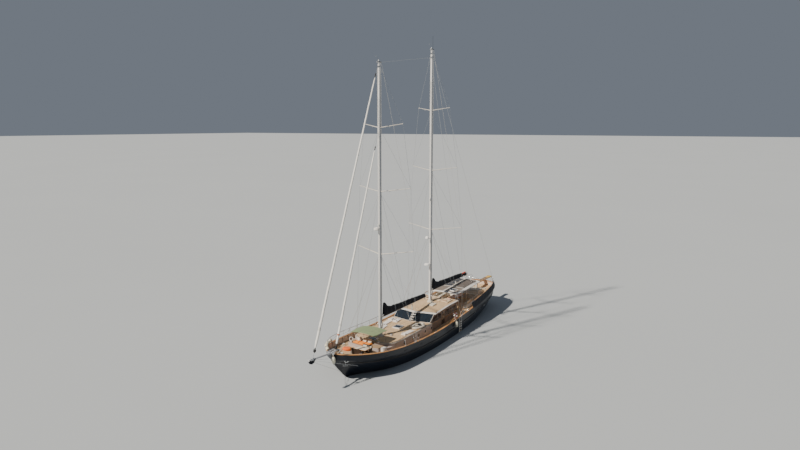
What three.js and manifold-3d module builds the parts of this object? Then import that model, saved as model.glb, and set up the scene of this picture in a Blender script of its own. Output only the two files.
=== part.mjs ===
// Two-masted schooner-rigged motor sailing yacht, 33 m hull, afloat at anchor with its sails furled.
// Millimetres: +X to the bow, +Y to port, +Z up, origin amidships on the waterline.
import * as THREE from 'three';
import { mergeVertices } from 'three/addons/utils/BufferGeometryUtils.js';
import Module from 'manifold-3d';

const wasm = await Module();
wasm.setup();

// Driving dimensions
const GAP = 0.3;                    // between pieces that touch
const STEM_X = 17100;               // stem head
const STERN_X = -17050;             // transom at the rail
const RAIL_LOW_X = 2000;            // where the sheer is lowest
const RAIL_LOW_Z = 1860;
const RAIL_BOW_RISE = 1130;
const RAIL_STERN_RISE = 1050;
const RAIL_THICK = 60;
const BULWARK_HEIGHT = 560;         // deck to the underside of the cap rail
const BULWARK_THICK = 80;
const BULWARK_FLARE = 60;
const DECK_THICK = 30;
const KEEL_BOTTOM = -3000;
const TRUNK_TOP = 2350;
const TRUNK_AFT_X = 2420;
const HOUSE_HALF = 2360;            // deckhouse side, outer face
const HOUSE_WALL = 60;
const HOUSE_AFT_X = -4300;
const ROOF_FRONT_Z = 3080;
const ROOF_AFT_Z = 3330;
const ROOF_THICK = 70;
const MAST_FORE_X = 8900;
const MAST_MAIN_X = -1900;
const MAST_LONG = 210;              // half of the section, fore and aft
const MAST_WIDE = 140;
const MAST_FORE_TOP = 30100;
const MAST_MAIN_TOP = 32350;
const SPREADER_SWEEP = 0.3;         // aft, for each unit out
const ROD = 12;                     // radius of the standing rigging
const SPRIT_TIP = [20600, 0, 3400];
const SPRIT_HEEL = [16350, 0, 3038];
const SPRIT_STAY_X = 20000;
const HARDTOP_FRONT_X = -4950;
const HARDTOP_AFT_X = -11700;
const HARDTOP_HALF = 2080;
const HARDTOP_Z = 3900;
const HARDTOP_RISE = 0.03;          // up, for each unit aft
const HARDTOP_THICK = 90;
const BOOM_FORE_Z = 4350;
const BOOM_MAIN_Z = 4780;
const PASSERELLE_HINGE = [-14500, 300, 3080];
const PASSERELLE_LENGTH = 4450;

// Table of offsets. Half-breadths are at these heights, as parts of the height from the canoe body's
// bottom to the deck.
const LEVELS = [0, 0.12, 0.28, 0.48, 0.72, 1];
// x, canoe bottom z, half-breadths at the six levels
const STATIONS = [
  [17100, 2020, 30, 34, 40, 48, 58, 70],
  [16850, 1720, 32, 60, 110, 190, 330, 560],
  [16400, 1240, 34, 90, 190, 370, 700, 1170],
  [15700, 560, 38, 130, 320, 650, 1150, 1800],
  [14700, -280, 44, 170, 460, 980, 1700, 2420],
  [13400, -960, 60, 260, 740, 1490, 2300, 2930],
  [11700, -1420, 90, 520, 1260, 2180, 2890, 3280],
  [9300, -1680, 130, 950, 1990, 2830, 3310, 3540],
  [6300, -1780, 160, 1420, 2570, 3230, 3530, 3640],
  [2600, -1790, 170, 1700, 2840, 3400, 3630, 3680],
  [-1500, -1750, 170, 1680, 2800, 3360, 3590, 3650],
  [-5500, -1600, 160, 1430, 2540, 3190, 3480, 3570],
  [-9000, -1330, 150, 1080, 2130, 2880, 3230, 3400],
  [-11700, -1000, 140, 830, 1700, 2500, 2940, 3160],
  [-13700, -560, 130, 720, 1420, 2130, 2590, 2850],
  [-15200, 60, 120, 640, 1180, 1740, 2180, 2460],
  [-16250, 700, 110, 500, 880, 1290, 1650, 1920],
  [-16800, 1130, 100, 340, 590, 870, 1130, 1340],
  [-17050, 1420, 90, 200, 330, 480, 620, 740],
];

function railTop(x) {
  if (x > RAIL_LOW_X) {
    return RAIL_LOW_Z + RAIL_BOW_RISE * ((x - RAIL_LOW_X) / (STEM_X - RAIL_LOW_X)) ** 2;
  }
  return RAIL_LOW_Z + RAIL_STERN_RISE * ((RAIL_LOW_X - x) / (RAIL_LOW_X - STERN_X)) ** 1.25;
}

function hullDeck(x) {
  return railTop(x) - RAIL_THICK - BULWARK_HEIGHT;
}

function deckEdge(x) {
  const aft = STATIONS.findIndex((row) => row[0] <= x);
  if (aft <= 0) return STATIONS[aft === 0 ? 0 : STATIONS.length - 1][7];
  const [a, b] = [STATIONS[aft - 1], STATIONS[aft]];
  return a[7] + ((b[7] - a[7]) * (x - a[0])) / (b[0] - a[0]);
}

// Heights between two stations run straight, as the planks do
function hullDeckAt(x) {
  const aft = Math.max(STATIONS.findIndex((row) => row[0] <= x), 1);
  const [a, b] = [STATIONS[aft - 1][0], STATIONS[aft][0]];
  return hullDeck(a) + ((hullDeck(b) - hullDeck(a)) * (x - a)) / (b - a);
}

function deckTop(x) {
  return hullDeckAt(x) + GAP + DECK_THICK;
}

function railSeat(x) {
  return hullDeckAt(x) + BULWARK_HEIGHT + RAIL_THICK;
}

// Shapes
function vec(p) {
  return new THREE.Vector3(...p);
}

function solid(shape) {
  if (!shape.isBufferGeometry) return shape;
  const bare = new THREE.BufferGeometry();
  bare.setAttribute('position', shape.getAttribute('position'));
  if (shape.index) bare.setIndex(shape.index);
  const merged = mergeVertices(bare, 1e-2);
  return new wasm.Manifold(new wasm.Mesh({
    numProp: 3,
    vertProperties: Float32Array.from(merged.getAttribute('position').array),
    triVerts: Uint32Array.from(merged.index.array),
  }));
}

function geometryOf(shape) {
  if (shape.isBufferGeometry) return shape;
  const mesh = shape.getMesh();
  const geometry = new THREE.BufferGeometry();
  geometry.setAttribute('position', new THREE.BufferAttribute(mesh.vertProperties, 3));
  geometry.setIndex(new THREE.BufferAttribute(mesh.triVerts, 1));
  geometry.computeVertexNormals();
  return geometry;
}

function join(...shapes) {
  return shapes.flat().map(solid).reduce((whole, piece) => whole.add(piece));
}

function cut(shape, ...tools) {
  return tools.flat().map(solid).reduce((whole, tool) => whole.subtract(tool), solid(shape));
}

function keep(shape, box) {
  return solid(shape).intersect(solid(box));
}

// The largest body of a shape, without the crumbs that a cut leaves
function largest(shape) {
  const bodies = solid(shape).decompose();
  return bodies.reduce((best, body) => (body.volume() > best.volume() ? body : best));
}

// What is left of a shape above or below its carrier, a gap away from it
function seat(shape, carrier, direction = [0, 0, 1]) {
  const body = solid(carrier);
  return largest(cut(shape, body, body.translate(direction.map((part) => part * GAP))));
}

function block(x0, x1, y0, y1, z0, z1) {
  const box = new THREE.BoxGeometry(Math.abs(x1 - x0), Math.abs(y1 - y0), Math.abs(z1 - z0));
  return box.translate((x0 + x1) / 2, (y0 + y1) / 2, (z0 + z1) / 2);
}

const FRAMES = {
  z: [[1, 0, 0], [0, 1, 0], [0, 0, 1]],
  x: [[0, 1, 0], [0, 0, 1], [1, 0, 0]],
  y: [[0, 0, 1], [1, 0, 0], [0, 1, 0]],
};

// An outline pulled along an axis: its two numbers are x,y for z, y,z for x, and z,x for y
function prism(axis, outline, from, to, holes = []) {
  const shape = new THREE.Shape(outline.map(([u, v]) => new THREE.Vector2(u, v)));
  holes.forEach((hole) => shape.holes.push(new THREE.Path(hole.map(([u, v]) => new THREE.Vector2(u, v)))));
  const body = new THREE.ExtrudeGeometry(shape, { depth: to - from, bevelEnabled: false, curveSegments: 6 });
  body.translate(0, 0, from);
  return body.applyMatrix4(new THREE.Matrix4().makeBasis(...FRAMES[axis].map(vec)));
}

// A closed body through rings of equal count, capped at both ends
function loft(rings) {
  const count = rings[0].length;
  const points = rings.flat();
  const faces = [];
  for (let k = 0; k + 1 < rings.length; k += 1) {
    for (let i = 0; i < count; i += 1) {
      const j = (i + 1) % count;
      const [a, b, c, d] = [k * count + i, k * count + j, (k + 1) * count + j, (k + 1) * count + i];
      faces.push([a, b, c], [a, c, d]);
    }
  }
  cap(rings[0]).forEach(([a, b, c]) => faces.push([a, c, b]));
  const last = (rings.length - 1) * count;
  cap(rings[rings.length - 1]).forEach(([a, b, c]) => faces.push([last + a, last + b, last + c]));
  let volume = 0;
  faces.forEach((face) => {
    const [a, b, c] = face.map((i) => vec(points[i]));
    volume += a.dot(b.cross(c));
  });
  const geometry = new THREE.BufferGeometry();
  geometry.setAttribute('position', new THREE.Float32BufferAttribute(points.flat(), 3));
  geometry.setIndex(faces.map(([a, b, c]) => (volume > 0 ? [a, b, c] : [a, c, b])).flat());
  return geometry;
}

// Triangles that fill a flat ring, turning the way that the ring runs
function cap(ring) {
  const normal = new THREE.Vector3();
  ring.forEach((point, i) => {
    const next = vec(ring[(i + 1) % ring.length]);
    normal.add(vec(point).sub(vec(ring[0])).cross(next.sub(vec(ring[0]))));
  });
  normal.normalize();
  const u = new THREE.Vector3(0, 1, 0);
  if (Math.abs(normal.y) > 0.9) u.set(0, 0, 1);
  u.cross(normal).normalize();
  const v = normal.clone().cross(u);
  const flat = ring.map((point) => new THREE.Vector2(vec(point).dot(u), vec(point).dot(v)));
  return THREE.ShapeUtils.triangulateShape(flat, []).map(([a, b, c]) => {
    const turn = flat[b].clone().sub(flat[a]).cross(flat[c].clone().sub(flat[a]));
    return turn > 0 ? [a, b, c] : [a, c, b];
  });
}

function rod(a, b, radius, sides = 6, endRadius = radius) {
  const along = vec(b).sub(vec(a));
  const body = new THREE.CylinderGeometry(endRadius, radius, along.length(), sides);
  body.translate(0, along.length() / 2, 0);
  const turn = new THREE.Quaternion().setFromUnitVectors(new THREE.Vector3(0, 1, 0), along.normalize());
  return body.applyQuaternion(turn).translate(...a);
}

function between(a, b, t) {
  return a.map((part, i) => part + (b[i] - part) * t);
}

function mirror(shape) {
  return solid(shape).mirror([0, 1, 0]);
}

// A body of one section carried along a deck-edge path. The section's numbers are inboard, up.
function follow(path, section) {
  return loft(path.map((point, i) => {
    const before = path[Math.max(i - 1, 0)];
    const after = path[Math.min(i + 1, path.length - 1)];
    const along = new THREE.Vector2(after[0] - before[0], after[1] - before[1]).normalize();
    const inboard = [along.y, -along.x];
    const side = inboard[1] > 0 ? -1 : 1;
    return section(point).map(([inside, up]) => [
      point[0] + inboard[0] * inside * side,
      point[1] + inboard[1] * inside * side,
      point[2] + up,
    ]);
  }));
}

// The graph
const ship = new THREE.Group();

function paint(color, roughness, metalness = 0) {
  return new THREE.MeshStandardMaterial({ color, roughness, metalness });
}

const HULL_PAINT = paint(0x11161c, 0.3);
const TEAK = paint(0xb59a78, 0.75);
const VARNISH = paint(0xb8702c, 0.25);
const HOUSE_PAINT = paint(0x8d8378, 0.5);
const WHITE_PAINT = paint(0xe4e0d8, 0.4);
const MAST_PAINT = paint(0xbfc0c2, 0.4, 0.4);
const STEEL = paint(0xc8cacc, 0.25, 1);
const BRONZE = paint(0x9a7440, 0.35, 1);
const GLASS = paint(0x18232e, 0.1);
const CANVAS = paint(0xf0eee8, 0.85);
const SAIL_COVER = paint(0x15181f, 0.9);
const SAGE_CLOTH = paint(0x9aa57d, 0.9);
const ORANGE_CLOTH = paint(0xe58a20, 0.9);
const CREAM_CLOTH = paint(0xd9cdb4, 0.9);
const DARK_WICKER = paint(0x2c2622, 0.8);
const RUBBER = paint(0xe6dfcb, 0.6);
const PANEL = paint(0x14181f, 0.3);

function add(name, shape, material, parent = ship) {
  const mesh = new THREE.Mesh(geometryOf(shape), material);
  mesh.name = name;
  parent.add(mesh);
  return mesh;
}

// A body that turns is drawn about its own pivot
function pivot(at) {
  const group = new THREE.Group();
  group.position.set(...at);
  ship.add(group);
  return group;
}

// Hull: the canoe body through the stations, with the long keel and its heel
function hullRing([x, bottom, ...halves]) {
  const height = hullDeck(x) - bottom;
  const port = halves.map((half, i) => [x, half, bottom + height * LEVELS[i]]);
  return [...port, ...port.map(([px, py, pz]) => [px, -py, pz]).reverse()];
}

const KEEL_HALF = 130;
const PROP_X = -11900;
const PROP_Z = -1750;
const PROP_RADIUS = 580;
const RUDDER_X = -12500;
const KEEL_OUTLINE = [   // z, x
  [-900, 14200], [-1500, 12700], [-2250, 9600], [-2750, 5000], [KEEL_BOTTOM, -1500],
  [KEEL_BOTTOM, -13300], [KEEL_BOTTOM + 180, -13300], [KEEL_BOTTOM + 180, -11500],
  [-700, -11500], [-700, 12000],
];
const canoe = loft(STATIONS.map(hullRing));
const keel = prism('y', KEEL_OUTLINE, -KEEL_HALF, KEEL_HALF);
const propGlands = rod([PROP_X + 460, 0, PROP_Z], [PROP_X + 160, 0, PROP_Z], 170, 12, 130);
const RUDDER_STOCK = 70;
const stockBore = rod([RUDDER_X, 0, -1500], [RUDDER_X, 0, 400], RUDDER_STOCK + 1.2, 24);
const hull = cut(join(canoe, keel, propGlands), stockBore);
add('hull', hull, HULL_PAINT);

// Propeller: four blades on a hub in the aperture ahead of the rudder
const propeller = pivot([PROP_X, 0, PROP_Z]);
const hub = rod([160 - GAP, 0, 0], [-170, 0, 0], 130, 16, 70);
const blades = [0, 1, 2, 3].map((i) => {
  const blade = loft([
    [[60, -60, 60], [75, -45, 60], [-60, 60, 60], [-75, 45, 60]],
    [[70, -170, 330], [90, -150, 330], [-70, 170, 330], [-90, 150, 330]],
    [[20, -90, PROP_RADIUS], [30, -80, PROP_RADIUS], [-20, 90, PROP_RADIUS], [-30, 80, PROP_RADIUS]],
  ]);
  return blade.rotateX((i * Math.PI) / 2);
});
add('propeller', join(hub, blades), BRONZE, propeller);

// Rudder on its stock, stepped on the keel's heel
const RUDDER_TOP = -1180;
const rudder = pivot([RUDDER_X, 0, 0]);
const rudderBlade = prism('z', [[150, -50], [150, 50], [-300, 80], [-1050, 18], [-1050, -18], [-300, -80]],
  KEEL_BOTTOM + 260, RUDDER_TOP);
const rudderStock = rod([0, 0, -1600], [0, 0, 380], RUDDER_STOCK, 24);
const rudderPintle = rod([0, 0, KEEL_BOTTOM + 180 + GAP], [0, 0, KEEL_BOTTOM + 400], 60, 16);
add('rudder', join(rudderBlade, rudderStock, rudderPintle), HULL_PAINT, rudder);

// Deck planking inside the bulwark
const DECK_MARGIN = BULWARK_THICK + 12;
const deckRows = STATIONS.filter((row) => row[7] > 300).map((row) => [row[0], row[7] - DECK_MARGIN * 1.6]);
const deckSlab = loft(deckRows.map(([x, half]) => {
  const z = hullDeck(x) + GAP;
  return [[x, half, z], [x, -half, z], [x, -half, z + DECK_THICK], [x, half, z + DECK_THICK]];
}));

// Bulwark and varnished cap rail, port and starboard, meeting at the stem and the transom
const sheerPath = STATIONS.map((row) => [row[0], row[7], hullDeck(row[0])]);
sheerPath.push([STERN_X - 40, -60, hullDeck(STERN_X)]);
const PORT_SIDE = block(-20000, 20000, 0, 6000, -5000, 9000);
const BULWARK_SECTION = [
  [0, GAP], [-BULWARK_FLARE, BULWARK_HEIGHT], [BULWARK_THICK - BULWARK_FLARE, BULWARK_HEIGHT],
  [BULWARK_THICK, GAP],
];
const bulwarkPort = keep(follow(sheerPath, () => BULWARK_SECTION), PORT_SIDE);
const bulwarkWhole = join(bulwarkPort, mirror(bulwarkPort));
const deck = largest(cut(deckSlab, [[0, 0], [GAP, 0], [-GAP, 0], [0, GAP], [0, -GAP]]
  .map(([dx, dy]) => bulwarkWhole.translate([dx, dy, 0]))));
add('deck', deck, TEAK);
const RAIL_OUT = -BULWARK_FLARE - 60;
const RAIL_IN = 110;
const RAIL_SECTION = [
  [RAIL_OUT, BULWARK_HEIGHT + GAP], [RAIL_OUT, BULWARK_HEIGHT + 40],
  [RAIL_OUT + 20, BULWARK_HEIGHT + RAIL_THICK], [RAIL_IN - 20, BULWARK_HEIGHT + RAIL_THICK],
  [RAIL_IN, BULWARK_HEIGHT + 40], [RAIL_IN, BULWARK_HEIGHT + GAP],
];
const capRailPort = keep(follow(sheerPath, () => RAIL_SECTION), PORT_SIDE);
const capRail = join(capRailPort, mirror(capRailPort));
add('cap_rail', capRail, VARNISH);
const bulwark = seat(bulwarkWhole, capRail, [0, 0, -1]);
add('bulwark', bulwark, HULL_PAINT);

function onDeck(shape) {
  return seat(cut(shape, hull), deck);
}

function onRail(shape) {
  return seat(shape, capRail);
}

// Bowsprit on its bitts, with the bobstay and the whisker stays
const SPRIT_RADIUS = 110;
const SPRIT_TIP_RADIUS = 85;
const SPRIT_SLOPE = (SPRIT_TIP[2] - SPRIT_HEEL[2]) / (SPRIT_TIP[0] - SPRIT_HEEL[0]);
const spritSpar = rod(SPRIT_HEEL, SPRIT_TIP, SPRIT_RADIUS, 12, SPRIT_TIP_RADIUS);
const bitts = [-1, 1].map((side) => block(SPRIT_HEEL[0] - 60, SPRIT_HEEL[0] + 140,
  side * 150, side * 250, 1900, SPRIT_HEEL[2] + 160));
const bittsBar = block(SPRIT_HEEL[0] - 20, SPRIT_HEEL[0] + 100, -320, 320, SPRIT_HEEL[2] - 60,
  SPRIT_HEEL[2] + 80);
const stemTop = railTop(STEM_X) + GAP;
const stemChock = block(STEM_X - 420, STEM_X + 60, -190, 190, stemTop, stemTop + 110);
const stayTang = block(SPRIT_STAY_X - 90, SPRIT_STAY_X + 90, -20, 20, 3200, 3500);
add('bowsprit', onRail(onDeck(join(spritSpar, bitts, bittsBar, stemChock, stayTang))), STEEL);

function onSprit(x) {
  return SPRIT_HEEL[2] + (x - SPRIT_HEEL[0]) * SPRIT_SLOPE;
}
const BAND_X = 20330;
const bandEnds = [-50, 50].map((by) => [BAND_X + by, 0, onSprit(BAND_X + by)]);
const band = cut(rod(...bandEnds, 128, 12),
  rod(SPRIT_HEEL, SPRIT_TIP, SPRIT_RADIUS + GAP * 1.1, 12, SPRIT_TIP_RADIUS + GAP * 1.1));
const bobstay = rod([BAND_X, 0, onSprit(BAND_X) - 108], [16300, 0, 1050], ROD);
const whisker = rod([BAND_X, 108, onSprit(BAND_X)], [15500, 1750, 1600], ROD);
const nearHull = [[GAP, 0, 0], [0, 0, -GAP], [0, GAP, 0], [0, -GAP, 0], [0, 0, 0]]
  .map((by) => hull.translate(by));
add('bowsprit_stays', largest(cut(join(band, bobstay, whisker, mirror(whisker)), nearHull)), STEEL);

// Windlass on the foredeck, with its drums on one shaft
const WINDLASS = [13650, 0, 2340];
const windlassBed = block(13300, 14000, -210, 210, 1800, 2240);
const windlassCheeks = [-1, 1].map((side) => block(13520, 13780, side * 150, side * 210, 2200, 2460));
const shaftBore = rod([WINDLASS[0], -400, WINDLASS[2]], [WINDLASS[0], 400, WINDLASS[2]], 41.2, 16);
add('windlass', cut(onDeck(join(windlassBed, windlassCheeks)), shaftBore), STEEL);
const drums = pivot(WINDLASS);
const drumShaft = rod([0, -420, 0], [0, 420, 0], 40, 16);
const drumEnds = [-1, 1].flatMap((side) => [
  rod([0, side * 225, 0], [0, side * 400, 0], 120, 12, 95),
  rod([0, side * 395, 0], [0, side * 425, 0], 125, 12),
]);
const gypsy = rod([0, GAP - 150, 0], [0, 150 - GAP, 0], 95, 12);
add('windlass_drum', join(drumShaft, drumEnds, gypsy), BRONZE, drums);

// Anchor stowed flat against the flare of the port bow. Its own axes are along the planks, outboard and up.
function plankPoint(station, level) {
  const row = STATIONS[station];
  return vec([row[0], row[2 + level], row[1] + LEVELS[level] * (hullDeck(row[0]) - row[1])]);
}
const flareLow = plankPoint(2, 4);
const flareHigh = plankPoint(2, 5);
const flareOut = plankPoint(3, 4).sub(flareLow).cross(flareHigh.clone().sub(flareLow)).normalize();
const flareUp = vec([0, 0, 1]).addScaledVector(flareOut, -flareOut.z).normalize();
const anchorPlace = new THREE.Matrix4().makeBasis(flareOut.clone().cross(flareUp), flareOut, flareUp)
  .setPosition(flareLow.clone().lerp(flareHigh, 0.5));
const ANCHOR_LONG = 740;
const anchorShank = rod([0, 30, 0], [0, 30, -ANCHOR_LONG], 45, 8);
const anchorCrown = rod([-240, 30, -ANCHOR_LONG], [240, 30, -ANCHOR_LONG], 90, 8);
const anchorFlukes = [-1, 1].map((side) => loft([
  [[side * 150 - 70, 0, -ANCHOR_LONG], [side * 150 + 70, 0, -ANCHOR_LONG],
    [side * 150 + 70, 90, -ANCHOR_LONG], [side * 150 - 70, 90, -ANCHOR_LONG]],
  [[side * 230 - 25, 30, 260 - ANCHOR_LONG], [side * 230 + 25, 30, 260 - ANCHOR_LONG],
    [side * 230 + 25, 70, 260 - ANCHOR_LONG], [side * 230 - 25, 70, 260 - ANCHOR_LONG]],
]));
const anchorAt = join(anchorShank, anchorCrown, anchorFlukes).transform(anchorPlace.toArray());
add('anchor', largest(cut(anchorAt, nearHull)), STEEL);

// Guard rails: a tube along the tops of stanchions that stand on the cap rail
const RAIL_HEIGHT = 620;
const RAIL_INSET = 45;
const STANCHION = 20;
const RAIL_TUBE = 24;
const TUBE_SECTION = Array.from({ length: 6 }, (_, i) => {
  const angle = (i * Math.PI) / 3;
  return [RAIL_TUBE * Math.cos(angle), RAIL_TUBE * Math.sin(angle)];
});
function guardRail(xs) {
  const feet = xs.map((x) => [x, deckEdge(x) - RAIL_INSET, railSeat(x)]);
  const tube = follow(feet.map(([x, y, z]) => [x, y, z + RAIL_HEIGHT]), () => TUBE_SECTION);
  const stanchions = feet.map(([x, y, z]) => rod([x, y, z - 30], [x, y, z + RAIL_HEIGHT], STANCHION));
  return onRail(join(tube, stanchions));
}
const GUARD_FORE = [16300, 15300, 14000, 12500, 10900, 9500, 7000, 5600, 4200, 2800];
const GUARD_AFT = [-3700, -5200, -7000, -8800, -10600, -12400, -14200];
const guardAft = guardRail(GUARD_AFT);
add('guard_rail_fore', mirror(guardRail(GUARD_FORE)), STEEL);
add('guard_rail_port', guardAft, STEEL);
add('guard_rail_starboard', mirror(guardAft), STEEL);

// Cabin trunk ahead of the deckhouse, with a rounded fore end
const TRUNK_EDGE = [[TRUNK_AFT_X, 2640], [9300, 2560], [10200, 2330], [10700, 1750], [10890, 900],
  [10930, 0]];
function trunkRing(z, inset) {
  const port = TRUNK_EDGE.map(([x, y]) => [x - (x > 9000 ? inset : 0), Math.max(y - inset, 0)]);
  const ring = [...port, ...port.slice(0, -1).reverse().map(([x, y]) => [x, -y])];
  return ring.map(([x, y]) => [x, y, z]);
}
const trunk = onDeck(loft([trunkRing(1000, 0), trunkRing(TRUNK_TOP - 60, 40), trunkRing(TRUNK_TOP, 100)]));
const FORE_HATCH = [10250, 0];
const SKYLIGHT = [5600, 150];
const hatchCoaming = block(FORE_HATCH[0] - 380, FORE_HATCH[0] + 380, FORE_HATCH[1] - 380,
  FORE_HATCH[1] + 380, TRUNK_TOP - 50, TRUNK_TOP + 70);
const skylightCoaming = block(SKYLIGHT[0] - 480, SKYLIGHT[0] + 480, SKYLIGHT[1] - 430,
  SKYLIGHT[1] + 430, TRUNK_TOP - 50, TRUNK_TOP + 110);
add('cabin_trunk', join(trunk, hatchCoaming, skylightCoaming), HOUSE_PAINT);

const LID_BACK = 30;                // from the coaming aft to the lid's hinge
function lid(name, centre, half, low, material) {
  const hinge = pivot([centre[0] - half[0] - LID_BACK, centre[1], low]);
  add(name, block(-10, 2 * half[0] + LID_BACK + 20, -half[1] - 20, half[1] + 20, GAP, 45), material, hinge);
}
lid('fore_hatch_lid', FORE_HATCH, [380, 380], TRUNK_TOP + 70, GLASS);
lid('skylight_lid', SKYLIGHT, [480, 430], TRUNK_TOP + 110, GLASS);

// Deckhouse roof: cambered, rising aft, its fore edge a shallow V
const ROOF_HALF = 2460;
const ROOF_FRONT_X = 2100;
const ROOF_SWEEP = 690;              // aft at NOSE_SIDE, where the fore edge is a shallow V
const NOSE_SIDE = 2500;
const ROOF_AFT_X = HOUSE_AFT_X - 160;
function roofZ(x) {
  return ROOF_FRONT_Z + (ROOF_AFT_Z - ROOF_FRONT_Z) * Math.min(1, (ROOF_FRONT_X - x) / 4200);
}
function crown(half, rise, top) {
  return [-1, -0.6, 0, 0.6, 1].map((t) => [t * half, top + rise * (1 - t * t)]);
}
function arched(x, half, rise, top, thick) {
  const upper = crown(half, rise, top);
  const lower = crown(half, rise, top - thick).reverse();
  return [...upper, ...lower].map(([y, z]) => [x, y, z]);
}
const ROOF_CAMBER = 110;
const roofPlate = loft([ROOF_FRONT_X, -1870, ROOF_AFT_X]
  .map((x) => arched(x, ROOF_HALF, ROOF_CAMBER, roofZ(x), ROOF_THICK)));
const roofNose = [-1, 1].map((side) => prism('z', [[ROOF_FRONT_X, 0],
  [ROOF_FRONT_X - ROOF_SWEEP, side * NOSE_SIDE], [ROOF_FRONT_X + 400, side * NOSE_SIDE],
  [ROOF_FRONT_X + 400, 0]], 2000, 4000));
const roof = cut(roofPlate, roofNose);
add('wheelhouse_roof', roof, TEAK);

function underRoof(shape) {
  return seat(shape, join(roofPlate, roofPlate.clone().translate(0, 0, 400)), [0, 0, -1]);
}

// Raked windscreen: a port and a starboard pane in one frame
const SCREEN_FOOT = [[2960, 0, TRUNK_TOP + 10], [2440, HOUSE_HALF, TRUNK_TOP + 10]];
const SCREEN_HEAD = [[1980, 0, 3180], [1400, HOUSE_HALF, 3180]];
const SCREEN_THICK = 70;
function screenPanel(inset, front, back) {
  const [a, b] = SCREEN_FOOT.map(vec);
  const [d, c] = SCREEN_HEAD.map(vec);
  const normal = b.clone().sub(a).cross(d.clone().sub(a)).normalize();
  const centre = a.clone().add(b).add(c).add(d).multiplyScalar(0.25);
  const corners = [a, b, c, d].map((p) => {
    const inward = centre.clone().sub(p);
    return p.clone().add(inward.multiplyScalar(inset));
  });
  return loft([front, back].map((depth) => corners
    .map((p) => p.clone().addScaledVector(normal, depth).toArray())));
}
const screenFrame = cut(screenPanel(0, 0, -SCREEN_THICK), screenPanel(0.14, 40, -SCREEN_THICK - 40));
const screenHalf = keep(screenFrame, block(0, 4000, 0, 4000, 0, 5000));
const screenPillar = rod([SCREEN_FOOT[0][0] - 25, 0, TRUNK_TOP + 10], [SCREEN_HEAD[0][0] - 25, 0, 3180],
  45, 8);
const screenSill = prism('z', [[2880, 0], [2425, HOUSE_HALF - 50], [2425, 50 - HOUSE_HALF]], TRUNK_TOP + GAP,
  TRUNK_TOP + 40);
const screen = underRoof(join(screenHalf, mirror(screenHalf), screenPillar, screenSill));
add('wheelhouse_front', cut(screen, block(0, 4000, -4000, 4000, 0, TRUNK_TOP + GAP)), HOUSE_PAINT);

// Door hinges: barrels on an upright pin, each with a plate to the wall or to the leaf.
// A plate's directions are along the wall and into it.
const HINGE_OUT = 14;
const LEAF_FACE = 10;               // from the pin in to the leaf's outer face
const BARREL = 9.5;
const BARREL_HIGH = 100;
const HINGE_LEVELS = [250, 1150];
function hingePlate(along, into, [a0, a1], [i0, i1], z0, z1) {
  const xs = [along[0] * a0 + into[0] * i0, along[0] * a1 + into[0] * i1];
  const ys = [along[1] * a0 + into[1] * i0, along[1] * a1 + into[1] * i1];
  return block(Math.min(...xs), Math.max(...xs), Math.min(...ys), Math.max(...ys), z0, z1);
}
function wallHinges(at, along, into) {
  return HINGE_LEVELS.map((z) => join(
    rod([0, 0, z], [0, 0, z + BARREL_HIGH], BARREL, 10),
    hingePlate(along, into, [0, 40], [-4, LEAF_FACE - GAP], z, z + BARREL_HIGH),
    hingePlate(along, into, [HINGE_OUT + 1, 40], [0, HINGE_OUT + 6], z, z + BARREL_HIGH),
  ).translate(at));
}
function leafHinges(along, into) {
  return HINGE_LEVELS.flatMap((z) => [z - BARREL_HIGH - GAP, z + BARREL_HIGH + GAP]).map((z) => join(
    rod([0, 0, z], [0, 0, z + BARREL_HIGH], BARREL, 10),
    hingePlate(along, into, [0, 40], [-4, LEAF_FACE + 6], z, z + BARREL_HIGH),
  ));
}

// Deckhouse sides with their windows and side doors, and the after bulkhead
const SIDE_OUTLINE = [   // z, x
  [1000, 2400], [TRUNK_TOP, 2380], [3180, 1350], [3600, 1350], [3600, HOUSE_AFT_X], [1000, HOUSE_AFT_X],
];
const WINDOW_LOW = 2260;
const WINDOW_HIGH = 2930;
const DOOR_X = [-320, -1080];
const DOOR_HIGH = 3030;
const SIDE_WINDOWS = [[1450, 700], [580, -180], [-1230, -2150], [-2280, -3150], [-3280, -4120]];
const doorLow = deckTop(DOOR_X[1]) + 90;
const sideHoles = SIDE_WINDOWS.map(([x1, x0]) => block(x0, x1, 2000, 2500, WINDOW_LOW, WINDOW_HIGH));
const doorHole = block(DOOR_X[1], DOOR_X[0], 2000, 2500, doorLow, DOOR_HIGH);
const sideWall = underRoof(onDeck(cut(prism('y', SIDE_OUTLINE, HOUSE_HALF - HOUSE_WALL, HOUSE_HALF),
  sideHoles, doorHole)));
const sideFront = cut(sideWall, join(screen, mirror(screen)).translate([0, 0, -GAP]), screen,
  screen.translate([-GAP, 0, 0]));
const sideHingeAt = [DOOR_X[0] - HINGE_OUT, HOUSE_HALF + HINGE_OUT, doorLow];
const side = join(cut(sideFront, trunk, trunk.translate([-GAP, 0, 0])),
  wallHinges(sideHingeAt, [1, 0], [0, -1]));
add('wheelhouse_side_port', side, HOUSE_PAINT);
add('wheelhouse_side_starboard', mirror(side), HOUSE_PAINT);
const aftDoorHigh = 3080;
const AFT_DOOR_HALF = 380;
const aftDoorLow = deckTop(HOUSE_AFT_X) + 90;
const aftDoorHole = block(HOUSE_AFT_X - 100, HOUSE_AFT_X + 200, -AFT_DOOR_HALF, AFT_DOOR_HALF, aftDoorLow,
  aftDoorHigh);
const INSIDE = HOUSE_HALF - HOUSE_WALL - GAP;
const aftPanel = block(HOUSE_AFT_X, HOUSE_AFT_X + HOUSE_WALL, -INSIDE, INSIDE, 1000, 3700);
const aftWall = underRoof(onDeck(cut(aftPanel, aftDoorHole)));
const aftHingeAt = [HOUSE_AFT_X - HINGE_OUT, AFT_DOOR_HALF - HINGE_OUT, aftDoorLow];
add('wheelhouse_aft', join(aftWall, wallHinges(aftHingeAt, [0, 1], [1, 0])), HOUSE_PAINT);
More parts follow.
